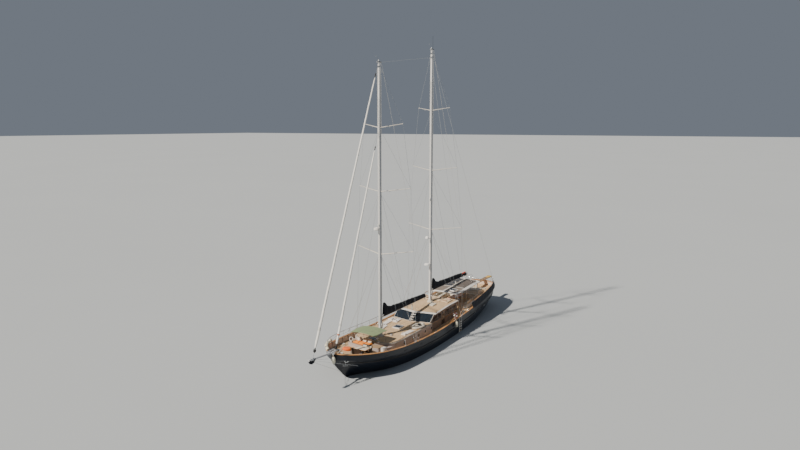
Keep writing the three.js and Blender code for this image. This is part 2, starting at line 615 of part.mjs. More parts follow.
const GLASS_THICK = 12;
const glassOuter = HOUSE_HALF - HOUSE_WALL - GAP;
const GLASS_SIDE = [   // z, x
  [WINDOW_LOW - 60, 1750], [TRUNK_TOP + 60, 1750], [TRUNK_TOP + 60, 2330], [2990, 1490], [2990, -4180],
  [WINDOW_LOW - 60, -4180],
];
const sideGlass = cut(prism('y', GLASS_SIDE, glassOuter - GLASS_THICK, glassOuter),
  block(DOOR_X[1] - 40, DOOR_X[0] + 40, 2000, 2500, 1000, 2970));
const screenGlass = keep(screenPanel(0.02, -SCREEN_THICK - GAP, -SCREEN_THICK - GAP - GLASS_THICK),
  block(0, 4000, 0, glassOuter, TRUNK_TOP + 60, 2990));
const portGlass = cut(join(sideGlass, screenGlass), screen, screen.translate([-GAP, 0, -GAP]));
const glass = largest(portGlass);
add('window_glass_port', glass, GLASS);
add('window_glass_starboard', mirror(glass), GLASS);

// Doors: hinged leaves with a window
function door(name, hinge, outline, recesses, knuckles) {
  const leaf = pivot(hinge);
  const body = cut(block(...outline), recesses.map((recess) => block(...recess)));
  add(name, join(body, knuckles), VARNISH, leaf);
}
const DOOR_CLEAR = 6;
const DOOR_WIDE = DOOR_X[0] - DOOR_X[1];
const sideDoorHigh = DOOR_HIGH - doorLow - DOOR_CLEAR;
[-1, 1].forEach((sign) => {
  const inner = sign * (HOUSE_HALF - 45);
  const outer = sign * (HOUSE_HALF + 4);
  const pinY = sign * (HOUSE_HALF + HINGE_OUT);
  const mid = (inner + outer) / 2 - pinY;
  door(sign > 0 ? 'door_port' : 'door_starboard', [sideHingeAt[0], pinY, doorLow],
    [-(DOOR_WIDE - HINGE_OUT - DOOR_CLEAR), 8, inner - pinY, outer - pinY, DOOR_CLEAR, sideDoorHigh],
    [-1, 1].map((face) => [-(DOOR_WIDE - 130), -110, mid + face * 6, mid + face * 60, 900,
      sideDoorHigh - 130]),
    leafHinges([-1, 0], [0, -sign]));
});
door('aft_door', aftHingeAt,
  [10, 55, -(2 * AFT_DOOR_HALF - HINGE_OUT - DOOR_CLEAR), 8, DOOR_CLEAR,
    aftDoorHigh - aftDoorLow - DOOR_CLEAR],
  [[-40, 27], [38, 90]].map(([x0, x1]) => [x0, x1, -(2 * AFT_DOOR_HALF - 130), -110, 850,
    aftDoorHigh - aftDoorLow - 150]), leafHinges([0, -1], [1, 0]));

// Masts: drawn aluminium sections stepped on the trunk and on the deckhouse roof
const MAST_SIDES = 16;
function mastRing(x, z, scale, grow = 0) {
  return Array.from({ length: MAST_SIDES }, (_, i) => {
    const angle = ((i + 0.5) / MAST_SIDES) * 2 * Math.PI;
    const [c, s] = [Math.cos(angle), Math.sin(angle)];
    const reach = (Math.abs(c) ** 3 + Math.abs(s) ** 3) ** (-1 / 3);
    return [x + c * reach * (MAST_LONG * scale + grow), s * reach * (MAST_WIDE * scale + grow), z];
  });
}
function mastBody(x, foot, top, grow = 0) {
  return loft([mastRing(x, foot, 1, grow), mastRing(x, top - 6500, 1, grow), mastRing(x, top, 0.72, grow)]);
}
const CRANE = 90;
const CRANE_REACH = 380;
const foreClear = solid(mastBody(MAST_FORE_X, 1500, MAST_FORE_TOP, GAP));
const mainClear = solid(mastBody(MAST_MAIN_X, 1500, MAST_MAIN_TOP, GAP));
const RIGS = [   // pairs: spreader root height, half span, rise
  { name: 'fore', x: MAST_FORE_X, top: MAST_FORE_TOP, clear: foreClear, boomZ: BOOM_FORE_Z,
    pairs: [[11010, 3360, 440], [17420, 3040, 400], [23780, 2270, 390]] },
  { name: 'main', x: MAST_MAIN_X, top: MAST_MAIN_TOP, clear: mainClear, boomZ: BOOM_MAIN_Z,
    pairs: [[12060, 3460, 380], [18900, 2840, 400], [25670, 1960, 310]] },
];

function spreaderSection(x, y, z, chord, thick) {
  return [[0.5, 0], [0.2, 0.5], [-0.3, 0.4], [-0.5, 0], [-0.3, -0.4], [0.2, -0.5]]
    .map(([u, v]) => [x + u * chord, y, z + v * thick]);
}

function spreader(rig, [root, span, rise]) {
  return loft([spreaderSection(rig.x, 0, root, 300, 90),
    spreaderSection(rig.x - SPREADER_SWEEP * span, span, root + rise, 150, 50)]);
}

const BOOM_BACK = MAST_LONG + 160;          // mast centre to the boom's hinge
const KNUCKLE_HALF = 60;
function gooseneck(rig) {
  const x = rig.x - BOOM_BACK;
  return [-1, 1].map((end) => block(x - 35, rig.x, -60, 60, rig.boomZ + end * (KNUCKLE_HALF + GAP),
    rig.boomZ + end * 110));
}

// Domes and their brackets: height, radius, height of the dome
const DOMES = [[8110, 330, 230], [11260, 220, 300]];
const domes = DOMES.flatMap(([z, radius, high]) => {
  const x = MAST_MAIN_X + 820;
  const profile = [[0, 0], [1, 0.02], [1, 0.55], [0.7, 0.9], [0, 1]];
  const dome = new THREE.LatheGeometry(profile.map(([r, h]) => new THREE.Vector2(r * radius, h * high)), 16);
  dome.rotateX(Math.PI / 2).translate(x, 0, z - high / 2);
  return [dome, block(MAST_MAIN_X, x + 100, -70, 70, z - high / 2 - 60, z - high / 2 + 5)];
});
const aerial = rod([MAST_MAIN_X - 200, 0, MAST_MAIN_TOP], [MAST_MAIN_X - 200, 0, MAST_MAIN_TOP + 1500], 12);
const FITTINGS = { fore: [], main: [domes, aerial] };
const mastFoot = { fore: [TRUNK_TOP - 200, trunk], main: [ROOF_FRONT_Z, roof] };
const masts = Object.fromEntries(RIGS.map((rig) => {
  const arms = rig.pairs.map((pair) => spreader(rig, pair));
  const crane = block(rig.x - CRANE_REACH, rig.x + CRANE_REACH, -40, 40, rig.top - 20, rig.top + CRANE);
  const [foot, carrier] = mastFoot[rig.name];
  const mast = seat(join(mastBody(rig.x, foot, rig.top), crane, arms, arms.map(mirror), gooseneck(rig),
    FITTINGS[rig.name].flat()), carrier);
  add(`mast_${rig.name}`, mast, MAST_PAINT);
  return [rig.name, mast];
}));

// Cap shrouds over the spreader tips, from a band at the masthead to the plates on the rail
const PLATE_HIGH = 150;
const PLATE_OUT = 70;
const TIP_CAP = 24;                 // radius of the cap that holds a shroud to its spreader's tip
function mastBand(rig, z) {
  const grown = loft([mastRing(rig.x, z, 1, 25), mastRing(rig.x, z + 120, 1, 25)]);
  return cut(grown, rig.clear);
}
function railPlate(x) {
  return onRail(block(x - 90, x + 90, deckEdge(x) + PLATE_OUT - 25, deckEdge(x) + PLATE_OUT + 25,
    railTop(x) - 50, railTop(x) + PLATE_HIGH));
}
RIGS.forEach((rig) => {
  const tips = rig.pairs.map(([root, span, rise]) => [rig.x - SPREADER_SWEEP * span, span + TIP_CAP + GAP,
    root + rise]);
  const plateX = rig.x - 1050;
  const plate = railPlate(plateX);
  const foot = [plateX, deckEdge(plateX) + PLATE_OUT, railTop(plateX) + PLATE_HIGH - 60];
  const head = [rig.x, MAST_WIDE - 20, rig.top - 400];
  const line = [foot, ...tips, head];
  const wires = line.slice(1).map((point, i) => rod(line[i], point, ROD));
  const knuckles = tips.map(([x, y, z]) => rod([x, y, z - 50], [x, y, z + 50], TIP_CAP, 8));
  const screw = rod(foot, between(foot, tips[0], 0.06), ROD * 2.2, 8);
  const port = largest(cut(join(plate, wires, knuckles, screw), rig.clear));
  add(`shrouds_${rig.name}`, join(port, mirror(port), mastBand(rig, rig.top - 460)), STEEL);
});

// Furled headsails on their stays, the triatic stay between the masts and the twin backstays
function furled(name, foot, head, low, high, clear, carrier) {
  const wire = rod(foot, head, ROD);
  const rolled = rod(between(foot, head, low), between(foot, head, high), 115, 10, 60);
  const drum = rod(between(foot, head, 0.012), between(foot, head, 0.03), 130, 12);
  add(name, cut(seat(join(wire, rolled, drum), carrier), clear), CANVAS);
}
furled('furled_genoa', [SPRIT_STAY_X, 0, 3420], [MAST_FORE_X + 180, 0, MAST_FORE_TOP - 60], 0.045, 0.945,
  foreClear, join(spritSpar, stayTang));
furled('furled_jib', [16750, 0, 3000], [MAST_FORE_X + 150, 0, 23600], 0.06, 0.9, foreClear,
  join(spritSpar, stayTang));
const mainRig = RIGS[1];
const BACKSTAY_X = -15400;
const backstayHead = MAST_MAIN_TOP - 900;
const triatic = rod([MAST_FORE_X - CRANE_REACH - GAP, 0, MAST_FORE_TOP + CRANE / 2],
  [MAST_MAIN_X, 0, backstayHead + 60], ROD);
const backstay = join(railPlate(BACKSTAY_X), rod([BACKSTAY_X, deckEdge(BACKSTAY_X) + PLATE_OUT,
  railTop(BACKSTAY_X) + PLATE_HIGH - 60], [MAST_MAIN_X - 80, MAST_WIDE, backstayHead + 60], ROD));
add('stays', cut(join(triatic, backstay, mirror(backstay), mastBand(mainRig, backstayHead)), foreClear,
  mainClear, masts.fore, masts.fore.translate([-GAP, 0, 0])), STEEL);

// Booms with their furled sails under dark covers, hinged at the goosenecks
const BOOM_HIGH = 150;
const BOOM_WIDE = 95;
function boom(name, sailName, mastX, z, reach, coverHeights) {
  const at = [mastX - BOOM_BACK, 0, z];
  const group = pivot(at);
  const section = (x, scale) => [[0, 1], [0.7, 0.75], [1, 0], [0.7, -0.75], [0, -1], [-0.7, -0.75], [-1, 0],
    [-0.7, 0.75]].map(([u, v]) => [x, u * BOOM_WIDE * scale, v * BOOM_HIGH * scale]);
  const spar = loft([section(-130, 0.8), section(-400, 1), section(-reach + 500, 1), section(-reach, 0.8)]);
  const knuckle = block(-200, 50, -40, 40, -KNUCKLE_HALF, KNUCKLE_HALF);
  add(name, join(spar, knuckle), MAST_PAINT, group);
  const cover = loft(coverHeights.map(([along, high, wide]) => {
    const low = BOOM_HIGH + GAP;
    return [[-along, -wide, low], [-along, -wide * 0.8, low + high * 0.55], [-along, -20, low + high],
      [-along, 20, low + high], [-along, wide * 0.8, low + high * 0.55], [-along, wide, low]];
  }));
  add(sailName, cut(cover, solid(spar), solid(spar).translate([0, 0, GAP])), SAIL_COVER, group);
}
const COVER_FORE = [[150, 1400, 90], [450, 1250, 130], [1100, 700, 170], [2400, 520, 170], [6000, 360, 140],
  [9100, 190, 90]];
const COVER_MAIN = [[150, 1350, 90], [450, 1200, 130], [1100, 640, 170], [2400, 500, 170], [6500, 330, 140],
  [9300, 170, 90]];
const FORE_REACH = 9350;
const MAIN_REACH = 9750;
boom('boom_fore', 'sail_fore', MAST_FORE_X, BOOM_FORE_Z, FORE_REACH, COVER_FORE);
boom('boom_main', 'sail_main', MAST_MAIN_X, BOOM_MAIN_Z, MAIN_REACH, COVER_MAIN);

// Hardtop over the after cockpit, on six posts, with its hatch and the solar panels
const hardtopZ = (x) => HARDTOP_Z + (HARDTOP_FRONT_X - x) * HARDTOP_RISE;
const HARDTOP_CAMBER = 90;
const hardtopPlate = loft([HARDTOP_FRONT_X, -6500, HARDTOP_AFT_X + 300, HARDTOP_AFT_X].map((x, i) => {
  const half = HARDTOP_HALF - [180, 0, 0, 150][i];
  return arched(x, half, HARDTOP_CAMBER, hardtopZ(x), HARDTOP_THICK);
}));
const TOP_HATCH = [-6100, 850];
const topHatchHalf = [380, 330];
const topHatchZ = hardtopZ(TOP_HATCH[0]) + 130;
const topCoaming = block(TOP_HATCH[0] - 420, TOP_HATCH[0] + 420, TOP_HATCH[1] - 370, TOP_HATCH[1] + 370,
  topHatchZ - 190, topHatchZ);
const topHole = block(TOP_HATCH[0] - topHatchHalf[0], TOP_HATCH[0] + topHatchHalf[0],
  TOP_HATCH[1] - topHatchHalf[1], TOP_HATCH[1] + topHatchHalf[1], 3000, 5000);
const hardtop = cut(join(hardtopPlate, topCoaming), topHole);
add('hardtop', hardtop, WHITE_PAINT);
lid('hardtop_hatch_lid', TOP_HATCH, [400, 350], topHatchZ, GLASS);
const POSTS_X = [-5250, -8300, -11400];
const POST_Y = 1720;
const underTop = join(hardtopPlate, hardtopPlate.clone().translate(0, 0, 400));
const beamZ = (x) => hardtopZ(x) - 110;
const posts = POSTS_X.flatMap((x) => [-1, 1].map((sign) => onDeck(rod([x, sign * POST_Y, 1200],
  [x, sign * POST_Y, beamZ(x)], 38, 8))));
const beams = [
  ...[-1, 1].map((sign) => prism('y', [[beamZ(-5150) - 30, -5150], [beamZ(-5150) + 90, -5150],
    [beamZ(-11500) + 90, -11500], [beamZ(-11500) - 30, -11500]], sign * POST_Y - 30, sign * POST_Y + 30)),
  ...POSTS_X.map((x) => block(x - 30, x + 30, -POST_Y, POST_Y, beamZ(x) - 30, beamZ(x) + 190)),
];
add('hardtop_frame', seat(join(posts, beams), underTop, [0, 0, -1]), STEEL);
const PANEL_X = [-8050, -9000, -9950, -10900];
const panels = PANEL_X.flatMap((x) => [-1, 1].map((sign) => loft([
  [[x - 420, sign * 120, hardtopZ(x - 420) + 120], [x + 420, sign * 120, hardtopZ(x + 420) + 120],
    [x + 420, sign * 120, hardtopZ(x + 420) + 155], [x - 420, sign * 120, hardtopZ(x - 420) + 155]],
  [[x - 420, sign * 1650, hardtopZ(x - 420) + 70], [x + 420, sign * 1650, hardtopZ(x + 420) + 70],
    [x + 420, sign * 1650, hardtopZ(x + 420) + 105], [x - 420, sign * 1650, hardtopZ(x - 420) + 105]],
])));
const panelRails = [
  ...[-1300, -500, 500, 1300].map((y) => prism('y', [[3700, -7700], [hardtopZ(-7700) + 110, -7700],
    [hardtopZ(-11250) + 110, -11250], [3700, -11250]], y - 20, y + 20)),
  block(-9500, -9450, -1300, 1300, 3900, hardtopZ(-9475) + 105),
];
add('solar_panels', seat(join(panels, panelRails), hardtopPlate), PANEL);

// After cockpit: steering console with its wheel, settees, table and a sunbed by the transom
const CONSOLE_X = -5600;
const console_ = onDeck(prism('y', [[1000, CONSOLE_X], [2500, CONSOLE_X], [2640, CONSOLE_X + 350],
  [2640, CONSOLE_X + 450], [1000, CONSOLE_X + 450]], -1350, -450));
add('helm_console', console_, WHITE_PAINT);
const WHEEL_RADIUS = 420;
const wheelAt = [CONSOLE_X - 130, -900, 2330];
const wheel = pivot(wheelAt);
const wheelRim = new THREE.TorusGeometry(WHEEL_RADIUS, 20, 6, 24).rotateY(Math.PI / 2);
const wheelHub = rod([-40, 0, 0], [130 - GAP, 0, 0], 45, 12);
const wheelSpokes = [0, 1, 2, 3, 4, 5].map((i) => {
  const angle = (i * Math.PI) / 3;
  return rod([0, 0, 0], [0, Math.cos(angle) * WHEEL_RADIUS, Math.sin(angle) * WHEEL_RADIUS], 14);
});
add('helm_wheel', join(wheelRim, wheelHub, wheelSpokes), VARNISH, wheel);
const SEAT_UP = 420;
const SEAT_RUN = [-7000, -11200];
function seatZ(x) {
  const [fore, aft] = SEAT_RUN.map((end) => deckTop(end) + SEAT_UP);
  return fore + ((aft - fore) * (x - SEAT_RUN[0])) / (SEAT_RUN[1] - SEAT_RUN[0]);
}
function seatSlab(x1, x0, y0, y1, low, high) {
  return loft([x1, x0].map((x) => [[x, y0, low(x)], [x, y1, low(x)], [x, y1, high(x)], [x, y0, high(x)]]));
}
// The settee's three stretches: fore end, after end, starboard edge, port edge
const SETTEE = [[...SEAT_RUN, 1880, 2430], [...SEAT_RUN, -2430, -1880], [-10650, SEAT_RUN[1], -2430, 2430]];
const setteeBases = SETTEE.map(([x1, x0, y0, y1]) => seatSlab(x1, x0, y0, y1, () => 1000, seatZ));
const postHoles = POSTS_X.slice(1).flatMap((x) => [-1, 1].map((sign) => rod([x, sign * POST_Y, 1000],
  [x, sign * POST_Y, 3500], 60, 8)));
add('aft_settee', cut(onDeck(join(setteeBases)), postHoles), WHITE_PAINT);
const pads = SETTEE.map(([x1, x0, y0, y1]) => seatSlab(x1 - 20, x0 + 20, y0 + 20, y1 - 20,
  (x) => seatZ(x) + GAP, (x) => seatZ(x) + 130));
add('settee_cushions', cut(join(pads), postHoles), CREAM_CLOTH);
add('aft_sunbed', onDeck(seatSlab(-12500, -13900, -1400, 1400, () => 1200, (x) => seatZ(x) + 130)),
  CREAM_CLOTH);
const tableZ = deckTop(-8900) + 740;
const tableTop = block(-10200, -7600, -520, 520, tableZ - 45, tableZ);
const tableLegs = [-9700, -8100].map((x) => onDeck(rod([x, 0, 1000], [x, 0, tableZ - 20], 70, 10)));
add('aft_table', join(tableTop, tableLegs), VARNISH);

// Foredeck: settee round the trunk's fore end, dining table and chairs, orange cushions, awning
const benchZ = deckTop(11400) + 420;
const bench = onDeck(cut(prism('z', [[10500, 2500], [11650, 2150], [11930, 1100], [12020, 0], [11930, -1100],
  [11650, -2150], [10500, -2500]], 1000, benchZ), loft([trunkRing(900, 0), trunkRing(3000, 0)]),
loft([trunkRing(900, -GAP), trunkRing(3000, -GAP)])));
add('foredeck_bench', bench, HOUSE_PAINT);
add('bench_cushion', prism('z', [[11020, 440], [11840, 440], [11860, 0], [11720, -1550], [11020, -1550]],
  benchZ + GAP, benchZ + 150), ORANGE_CLOTH);
const BEANBAG = [13200, -1180];
const beanbagTop = deckTop(BEANBAG[0]) + 330;
add('beanbag', onDeck(rod([...BEANBAG, 1800], [...BEANBAG, beanbagTop], 480, 12, 330)), ORANGE_CLOTH);
const foreTable = [13750, 1050];
const foreTableZ = deckTop(foreTable[0]) + 720;
add('foredeck_table', join(
  block(foreTable[0] - 480, foreTable[0] + 480, foreTable[1] - 650, foreTable[1] + 650, foreTableZ - 40,
    foreTableZ),
  onDeck(rod([...foreTable, 1800], [...foreTable, foreTableZ - 20], 60, 10)),
), VARNISH);
function doubleChair(x, y, turn) {
  const place = deckTop(x);
  const legs = [[-1, -1], [-1, 1], [1, -1], [1, 1]].map(([u, v]) => block(u * 190, u * 240, v * 500, v * 560,
    -300, 400));
  const arms = [-1, 0, 1].map((k) => block(-250, 250, k * 545 - 25, k * 545 + 25, 400, 640));
  const pieces = join(block(-250, 250, -570, 570, 330, 420), block(-290, -230, -570, 570, 330, 850), arms,
    legs);
  return onDeck(pieces.rotate([0, 0, turn]).translate([x, y, place]));
}
add('chairs_aft', doubleChair(13120, 1050, 0), DARK_WICKER);
add('chairs_fore', doubleChair(14520, 1050, 180), DARK_WICKER);
const AWNING = { x: [9900, 12250], half: 1500, edge: 3430, rise: 150, thick: 25 };
const awning = loft([AWNING.x[1], (AWNING.x[0] + AWNING.x[1]) / 2, AWNING.x[0]].map((x, i) => arched(x,
  AWNING.half, AWNING.rise, AWNING.edge + [0, 70, 0][i], AWNING.thick)));
add('awning', awning, SAGE_CLOTH);
const AWNING_POST_Y = AWNING.half - 150;
const AWNING_TUBE_Z = AWNING.edge - 18;
const AWNING_AFT_POST = AWNING.x[0] + 150;
const AWNING_FORE_POST = 10550;
function awningPost(footX, headX, y) {
  return rod([footX, y, TRUNK_TOP - 40], [headX, y, AWNING_TUBE_Z], 22, 8);
}
const awningPosts = [-AWNING_POST_Y, AWNING_POST_Y].flatMap((y) => [
  awningPost(AWNING_AFT_POST, AWNING_AFT_POST, y), awningPost(AWNING_FORE_POST, AWNING.x[1] - 150, y),
]);
const awningRails = [
  ...[-1, 1].map((sign) => rod([AWNING.x[0] + 60, sign * AWNING_POST_Y, AWNING_TUBE_Z],
    [AWNING.x[1] - 60, sign * AWNING_POST_Y, AWNING_TUBE_Z], 22, 8)),
  ...[AWNING_AFT_POST, AWNING.x[1] - 150].map((x) => rod([x, -AWNING_POST_Y, AWNING_TUBE_Z],
    [x, AWNING_POST_Y, AWNING_TUBE_Z], 22, 8)),
];
const overAwning = join(awning, awning.clone().translate(0, 0, 300));
add('awning_frame', seat(seat(join(awningPosts, awningRails), trunk), overAwning, [0, 0, -1]), STEEL);

// Sunpads on the deckhouse roof, aft of the main mast
const padFoot = roofZ(-3900);
const sunpad = block(-3900, -2450, -2000, 2000, padFoot, padFoot + ROOF_CAMBER + 120);
add('roof_sunpad', seat(sunpad, roof), CREAM_CLOTH);

// Passerelle on its post at the transom, lifting about a cross pin
const [hingeX, hingeY, hingeZ] = PASSERELLE_HINGE;
const POST_HALF = 110;
const passerelle = pivot(PASSERELLE_HINGE);
const plank = block(-PASSERELLE_LENGTH, -90, -250, 250, 20, 70);
const stringers = [-1, 1].map((sign) => block(-PASSERELLE_LENGTH, -90, sign * 215, sign * 265, -50, 90));
const plankPin = rod([0, -255, 0], [0, 255, 0], 30, 16);
const plankEars = [-1, 1].map((sign) => block(-140, 40, sign * (POST_HALF + GAP), sign * 150, -40, 60));
add('passerelle', join(plank, stringers, plankPin, plankEars), VARNISH, passerelle);
const postBlock = block(hingeX - 70, hingeX + 70, hingeY - POST_HALF, hingeY + POST_HALF, 1500, hingeZ + 45);
const pinBore = rod([hingeX, hingeY - 400, hingeZ], [hingeX, hingeY + 400, hingeZ], 31, 16);
add('passerelle_post', cut(onDeck(postBlock), pinBore), STEEL);

// Boarding ladder hung outside the port bulwark
const LADDER_X = -2300;
const ladderY = deckEdge(LADDER_X) + BULWARK_FLARE + 110;
const ladderTop = railSeat(LADDER_X) + 60;
const ladderRails = [-1, 1].map((sign) => rod([LADDER_X + sign * 260, ladderY, ladderTop],
  [LADDER_X + sign * 260, ladderY - 20, 250], 24, 6));
const ladderSteps = [350, 640, 930, 1220, 1510].map((z) => block(LADDER_X - 260, LADDER_X + 260,
  ladderY - 60, ladderY + 60, z, z + 35));
const ladderHooks = [-1, 1].map((sign) => block(LADDER_X + sign * 260 - 25, LADDER_X + sign * 260 + 25,
  deckEdge(LADDER_X) - 40, ladderY + 20, ladderTop - 105, ladderTop));
const ladder = onRail(cut(join(ladderRails, ladderSteps, ladderHooks), capRail.translate([0, GAP, 0])));
add('boarding_ladder', ladder, STEEL);

export default ship;
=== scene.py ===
import math

import bmesh
import bpy
from mathutils import Matrix, Vector, noise


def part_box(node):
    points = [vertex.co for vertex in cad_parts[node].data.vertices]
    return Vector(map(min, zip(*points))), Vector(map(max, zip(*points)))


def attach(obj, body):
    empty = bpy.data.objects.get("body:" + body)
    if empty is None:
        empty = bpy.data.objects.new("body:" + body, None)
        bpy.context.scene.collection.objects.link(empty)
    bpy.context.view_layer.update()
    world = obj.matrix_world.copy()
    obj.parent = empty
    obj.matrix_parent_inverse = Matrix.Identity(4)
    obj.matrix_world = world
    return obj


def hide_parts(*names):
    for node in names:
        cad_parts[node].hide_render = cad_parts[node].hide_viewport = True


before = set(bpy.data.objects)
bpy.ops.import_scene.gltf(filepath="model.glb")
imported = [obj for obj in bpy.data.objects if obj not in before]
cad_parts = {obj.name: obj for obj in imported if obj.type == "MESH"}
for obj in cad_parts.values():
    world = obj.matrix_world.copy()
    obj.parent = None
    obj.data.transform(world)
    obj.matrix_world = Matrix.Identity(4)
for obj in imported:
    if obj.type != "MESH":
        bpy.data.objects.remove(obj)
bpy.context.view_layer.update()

# The view. The eye is a drone's, ahead of the port bow and 24 m up, with the yacht small in a wide
# frame. The lens is 28.8 mm on a sensor 36 mm wide.
EYE = Vector((62.73, 34.97, 24.0))
HEADING = Vector((-0.8554, -0.5180, 0.0))
DIP = math.radians(8.837)
LOOK = HEADING * math.cos(DIP) - Vector((0, 0, math.sin(DIP)))
camera = bpy.data.objects.new("camera", bpy.data.cameras.new("camera"))
camera.location = EYE
camera.rotation_euler = LOOK.to_track_quat("-Z", "Y").to_euler()
camera.data.sensor_width = 36
camera.data.lens = 28.8
camera.data.clip_end = 3000
bpy.context.scene.collection.objects.link(camera)
bpy.context.scene.camera = camera


# The studio. A pale matt floor lies at the waterline, a large soft sun stands off the starboard bow
# where the deck's shadows put it, and an even pale sky fills the shade.
class Shade:
    """A socket in a finish's nodes. Arithmetic on it adds Math nodes, and node() adds any other."""

    def __init__(self, tree, socket=None):
        self.tree = tree
        self.socket = socket

    def node(self, kind, settings, values, output=0):
        """Adds a node: its settings first, then the values or links of its sockets."""
        made = self.tree.nodes.new("ShaderNode" + kind)
        for key, value in settings.items():
            setattr(made, key, value)
        for key, value in values.items():
            socket = made.inputs[key]
            if isinstance(value, Shade):
                self.tree.links.new(value.socket, socket)
            elif socket.type == "RGBA" and len(value) == 3:
                socket.default_value = (*value, 1.0)
            else:
                socket.default_value = value
        return Shade(self.tree, made.outputs[output])

    def math(self, operation, first, second=0.0):
        return self.node("Math", {"operation": operation}, {0: first, 1: second})

    def __add__(self, other):
        return self.math("ADD", self, other)

    def __mul__(self, other):
        return self.math("MULTIPLY", self, other)

    def __sub__(self, other):
        return self.math("SUBTRACT", self, other)

    def __gt__(self, other):
        return self.math("GREATER_THAN", self, other)

    def __lt__(self, other):
        return self.math("LESS_THAN", self, other)

    def mix(self, low, high):
        """The colour between two that this value picks."""
        return self.node("Mix", {"data_type": "RGBA"}, {0: self, 6: low, 7: high}, 2)

    def part(self, axis):
        return self.node("SeparateXYZ", {}, {0: self}, axis)

    def place(self):
        """Where a point lies in the piece's own metres."""
        return self.node("TexCoord", {}, {}, "Object")

    def stretched(self, along, across, up):
        """A place with its three directions scaled, so that grain or streaks run one way."""
        return self.node("VectorMath", {"operation": "MULTIPLY"}, {0: self, 1: (along, across, up)})

    def cloud(self, scale, detail=3.0, rough=0.55):
        """Noise of about one lump for each metre divided by scale."""
        return self.node("TexNoise", {}, {"Vector": self, "Scale": scale, "Detail": detail,
                                          "Roughness": rough})

    def raised(self, depth):
        """The surface's normal where this value is a height, in parts of a depth in metres."""
        return self.node("Bump", {}, {"Strength": 1.0, "Distance": depth, "Height": self})


def finish(name, constants, varying):
    """A material. Constants sit on the shader's own sockets, and varying(start) gives the others."""
    material = bpy.data.materials.new(name)
    material.use_nodes = True
    shader = material.node_tree.nodes["Principled BSDF"]
    for key, value in constants.items():
        shader.inputs[key].default_value = (*value, 1.0) if isinstance(value, tuple) else value
    for key, value in varying(Shade(material.node_tree)).items():
        material.node_tree.links.new(value.socket, shader.inputs[key])
    return material


def pale_floor(start):
    mottle = start.place().cloud(0.02)
    return {"Base Color": mottle.mix((0.43, 0.46, 0.48), (0.46, 0.49, 0.51))}


FLOOR_HALF = 1500.0
floor_mesh = bpy.data.meshes.new("floor")
floor_mesh.from_pydata([(-FLOOR_HALF, -FLOOR_HALF, 0), (FLOOR_HALF, -FLOOR_HALF, 0),
                        (FLOOR_HALF, FLOOR_HALF, 0), (-FLOOR_HALF, FLOOR_HALF, 0)], [], [(0, 1, 2, 3)])
floor_mesh.materials.append(finish("floor_paint", {"Roughness": 0.9}, pale_floor))
floor = bpy.data.objects.new("floor", floor_mesh)
bpy.context.scene.collection.objects.link(floor)

SUN_TRAVEL = Vector((-1.00, 0.44, -1.0))
sun = bpy.data.objects.new("sun", bpy.data.lights.new("sun", "SUN"))
sun.rotation_euler = SUN_TRAVEL.to_track_quat("-Z", "Y").to_euler()
sun.data.energy = 6.0
sun.data.angle = math.radians(2)
sun.data.color = (1.0, 0.92, 0.81)
bpy.context.scene.collection.objects.link(sun)
sky = bpy.data.worlds.new("sky")
sky.use_nodes = True
sky.node_tree.nodes["Background"].inputs["Color"].default_value = (0.74, 0.84, 1.0, 1.0)
sky.node_tree.nodes["Background"].inputs["Strength"].default_value = 0.22
bpy.context.scene.world = sky

# The hull. A round-bilged canoe body on a long keel, planked and painted near-black navy, with dark
# red bottom paint below the water. It is faired through the frames of the table of offsets.
LEVELS = [0, 0.12, 0.28, 0.48, 0.72, 1]
# x, canoe body's bottom, half-breadths at the six levels between that bottom and the deck
OFFSETS = [
    (17.10, 2.02, 0.030, 0.034, 0.040, 0.048, 0.058, 0.070),
    (16.85, 1.72, 0.032, 0.060, 0.110, 0.190, 0.330, 0.560),
    (16.40, 1.24, 0.034, 0.090, 0.190, 0.370, 0.700, 1.170),
    (15.70, 0.56, 0.038, 0.130, 0.320, 0.650, 1.150, 1.800),
    (14.70, -0.28, 0.044, 0.170, 0.460, 0.980, 1.700, 2.420),
    (13.40, -0.96, 0.060, 0.260, 0.740, 1.490, 2.300, 2.930),
    (11.70, -1.42, 0.090, 0.520, 1.260, 2.180, 2.890, 3.280),
    (9.30, -1.68, 0.130, 0.950, 1.990, 2.830, 3.310, 3.540),
    (6.30, -1.78, 0.160, 1.420, 2.570, 3.230, 3.530, 3.640),
    (2.60, -1.79, 0.170, 1.700, 2.840, 3.400, 3.630, 3.680),
    (-1.50, -1.75, 0.170, 1.680, 2.800, 3.360, 3.590, 3.650),
    (-5.50, -1.60, 0.160, 1.430, 2.540, 3.190, 3.480, 3.570),
    (-9.00, -1.33, 0.150, 1.080, 2.130, 2.880, 3.230, 3.400),
    (-11.70, -1.00, 0.140, 0.830, 1.700, 2.500, 2.940, 3.160),
    (-13.70, -0.56, 0.130, 0.720, 1.420, 2.130, 2.590, 2.850),
    (-15.20, 0.06, 0.120, 0.640, 1.180, 1.740, 2.180, 2.460),
    (-16.25, 0.70, 0.110, 0.500, 0.880, 1.290, 1.650, 1.920),
    (-16.80, 1.13, 0.100, 0.340, 0.590, 0.870, 1.130, 1.340),
    (-17.05, 1.42, 0.090, 0.200, 0.330, 0.480, 0.620, 0.740),
]
STEM, STERN = OFFSETS[0][0], OFFSETS[-1][0]
SHEER_LOW = (2.0, 1.86)             # where the rail is lowest, and its height there
SHEER_RISE = (1.13, 1.05)           # to the stem and to the stern
SHEER_LIFT = 0.012                  # a fair curve sags this far below the straight runs between frames
BULWARK_HIGH = 0.56
RAIL_THICK = 0.06
PLANK_STEPS = 8                     # rings between two frames


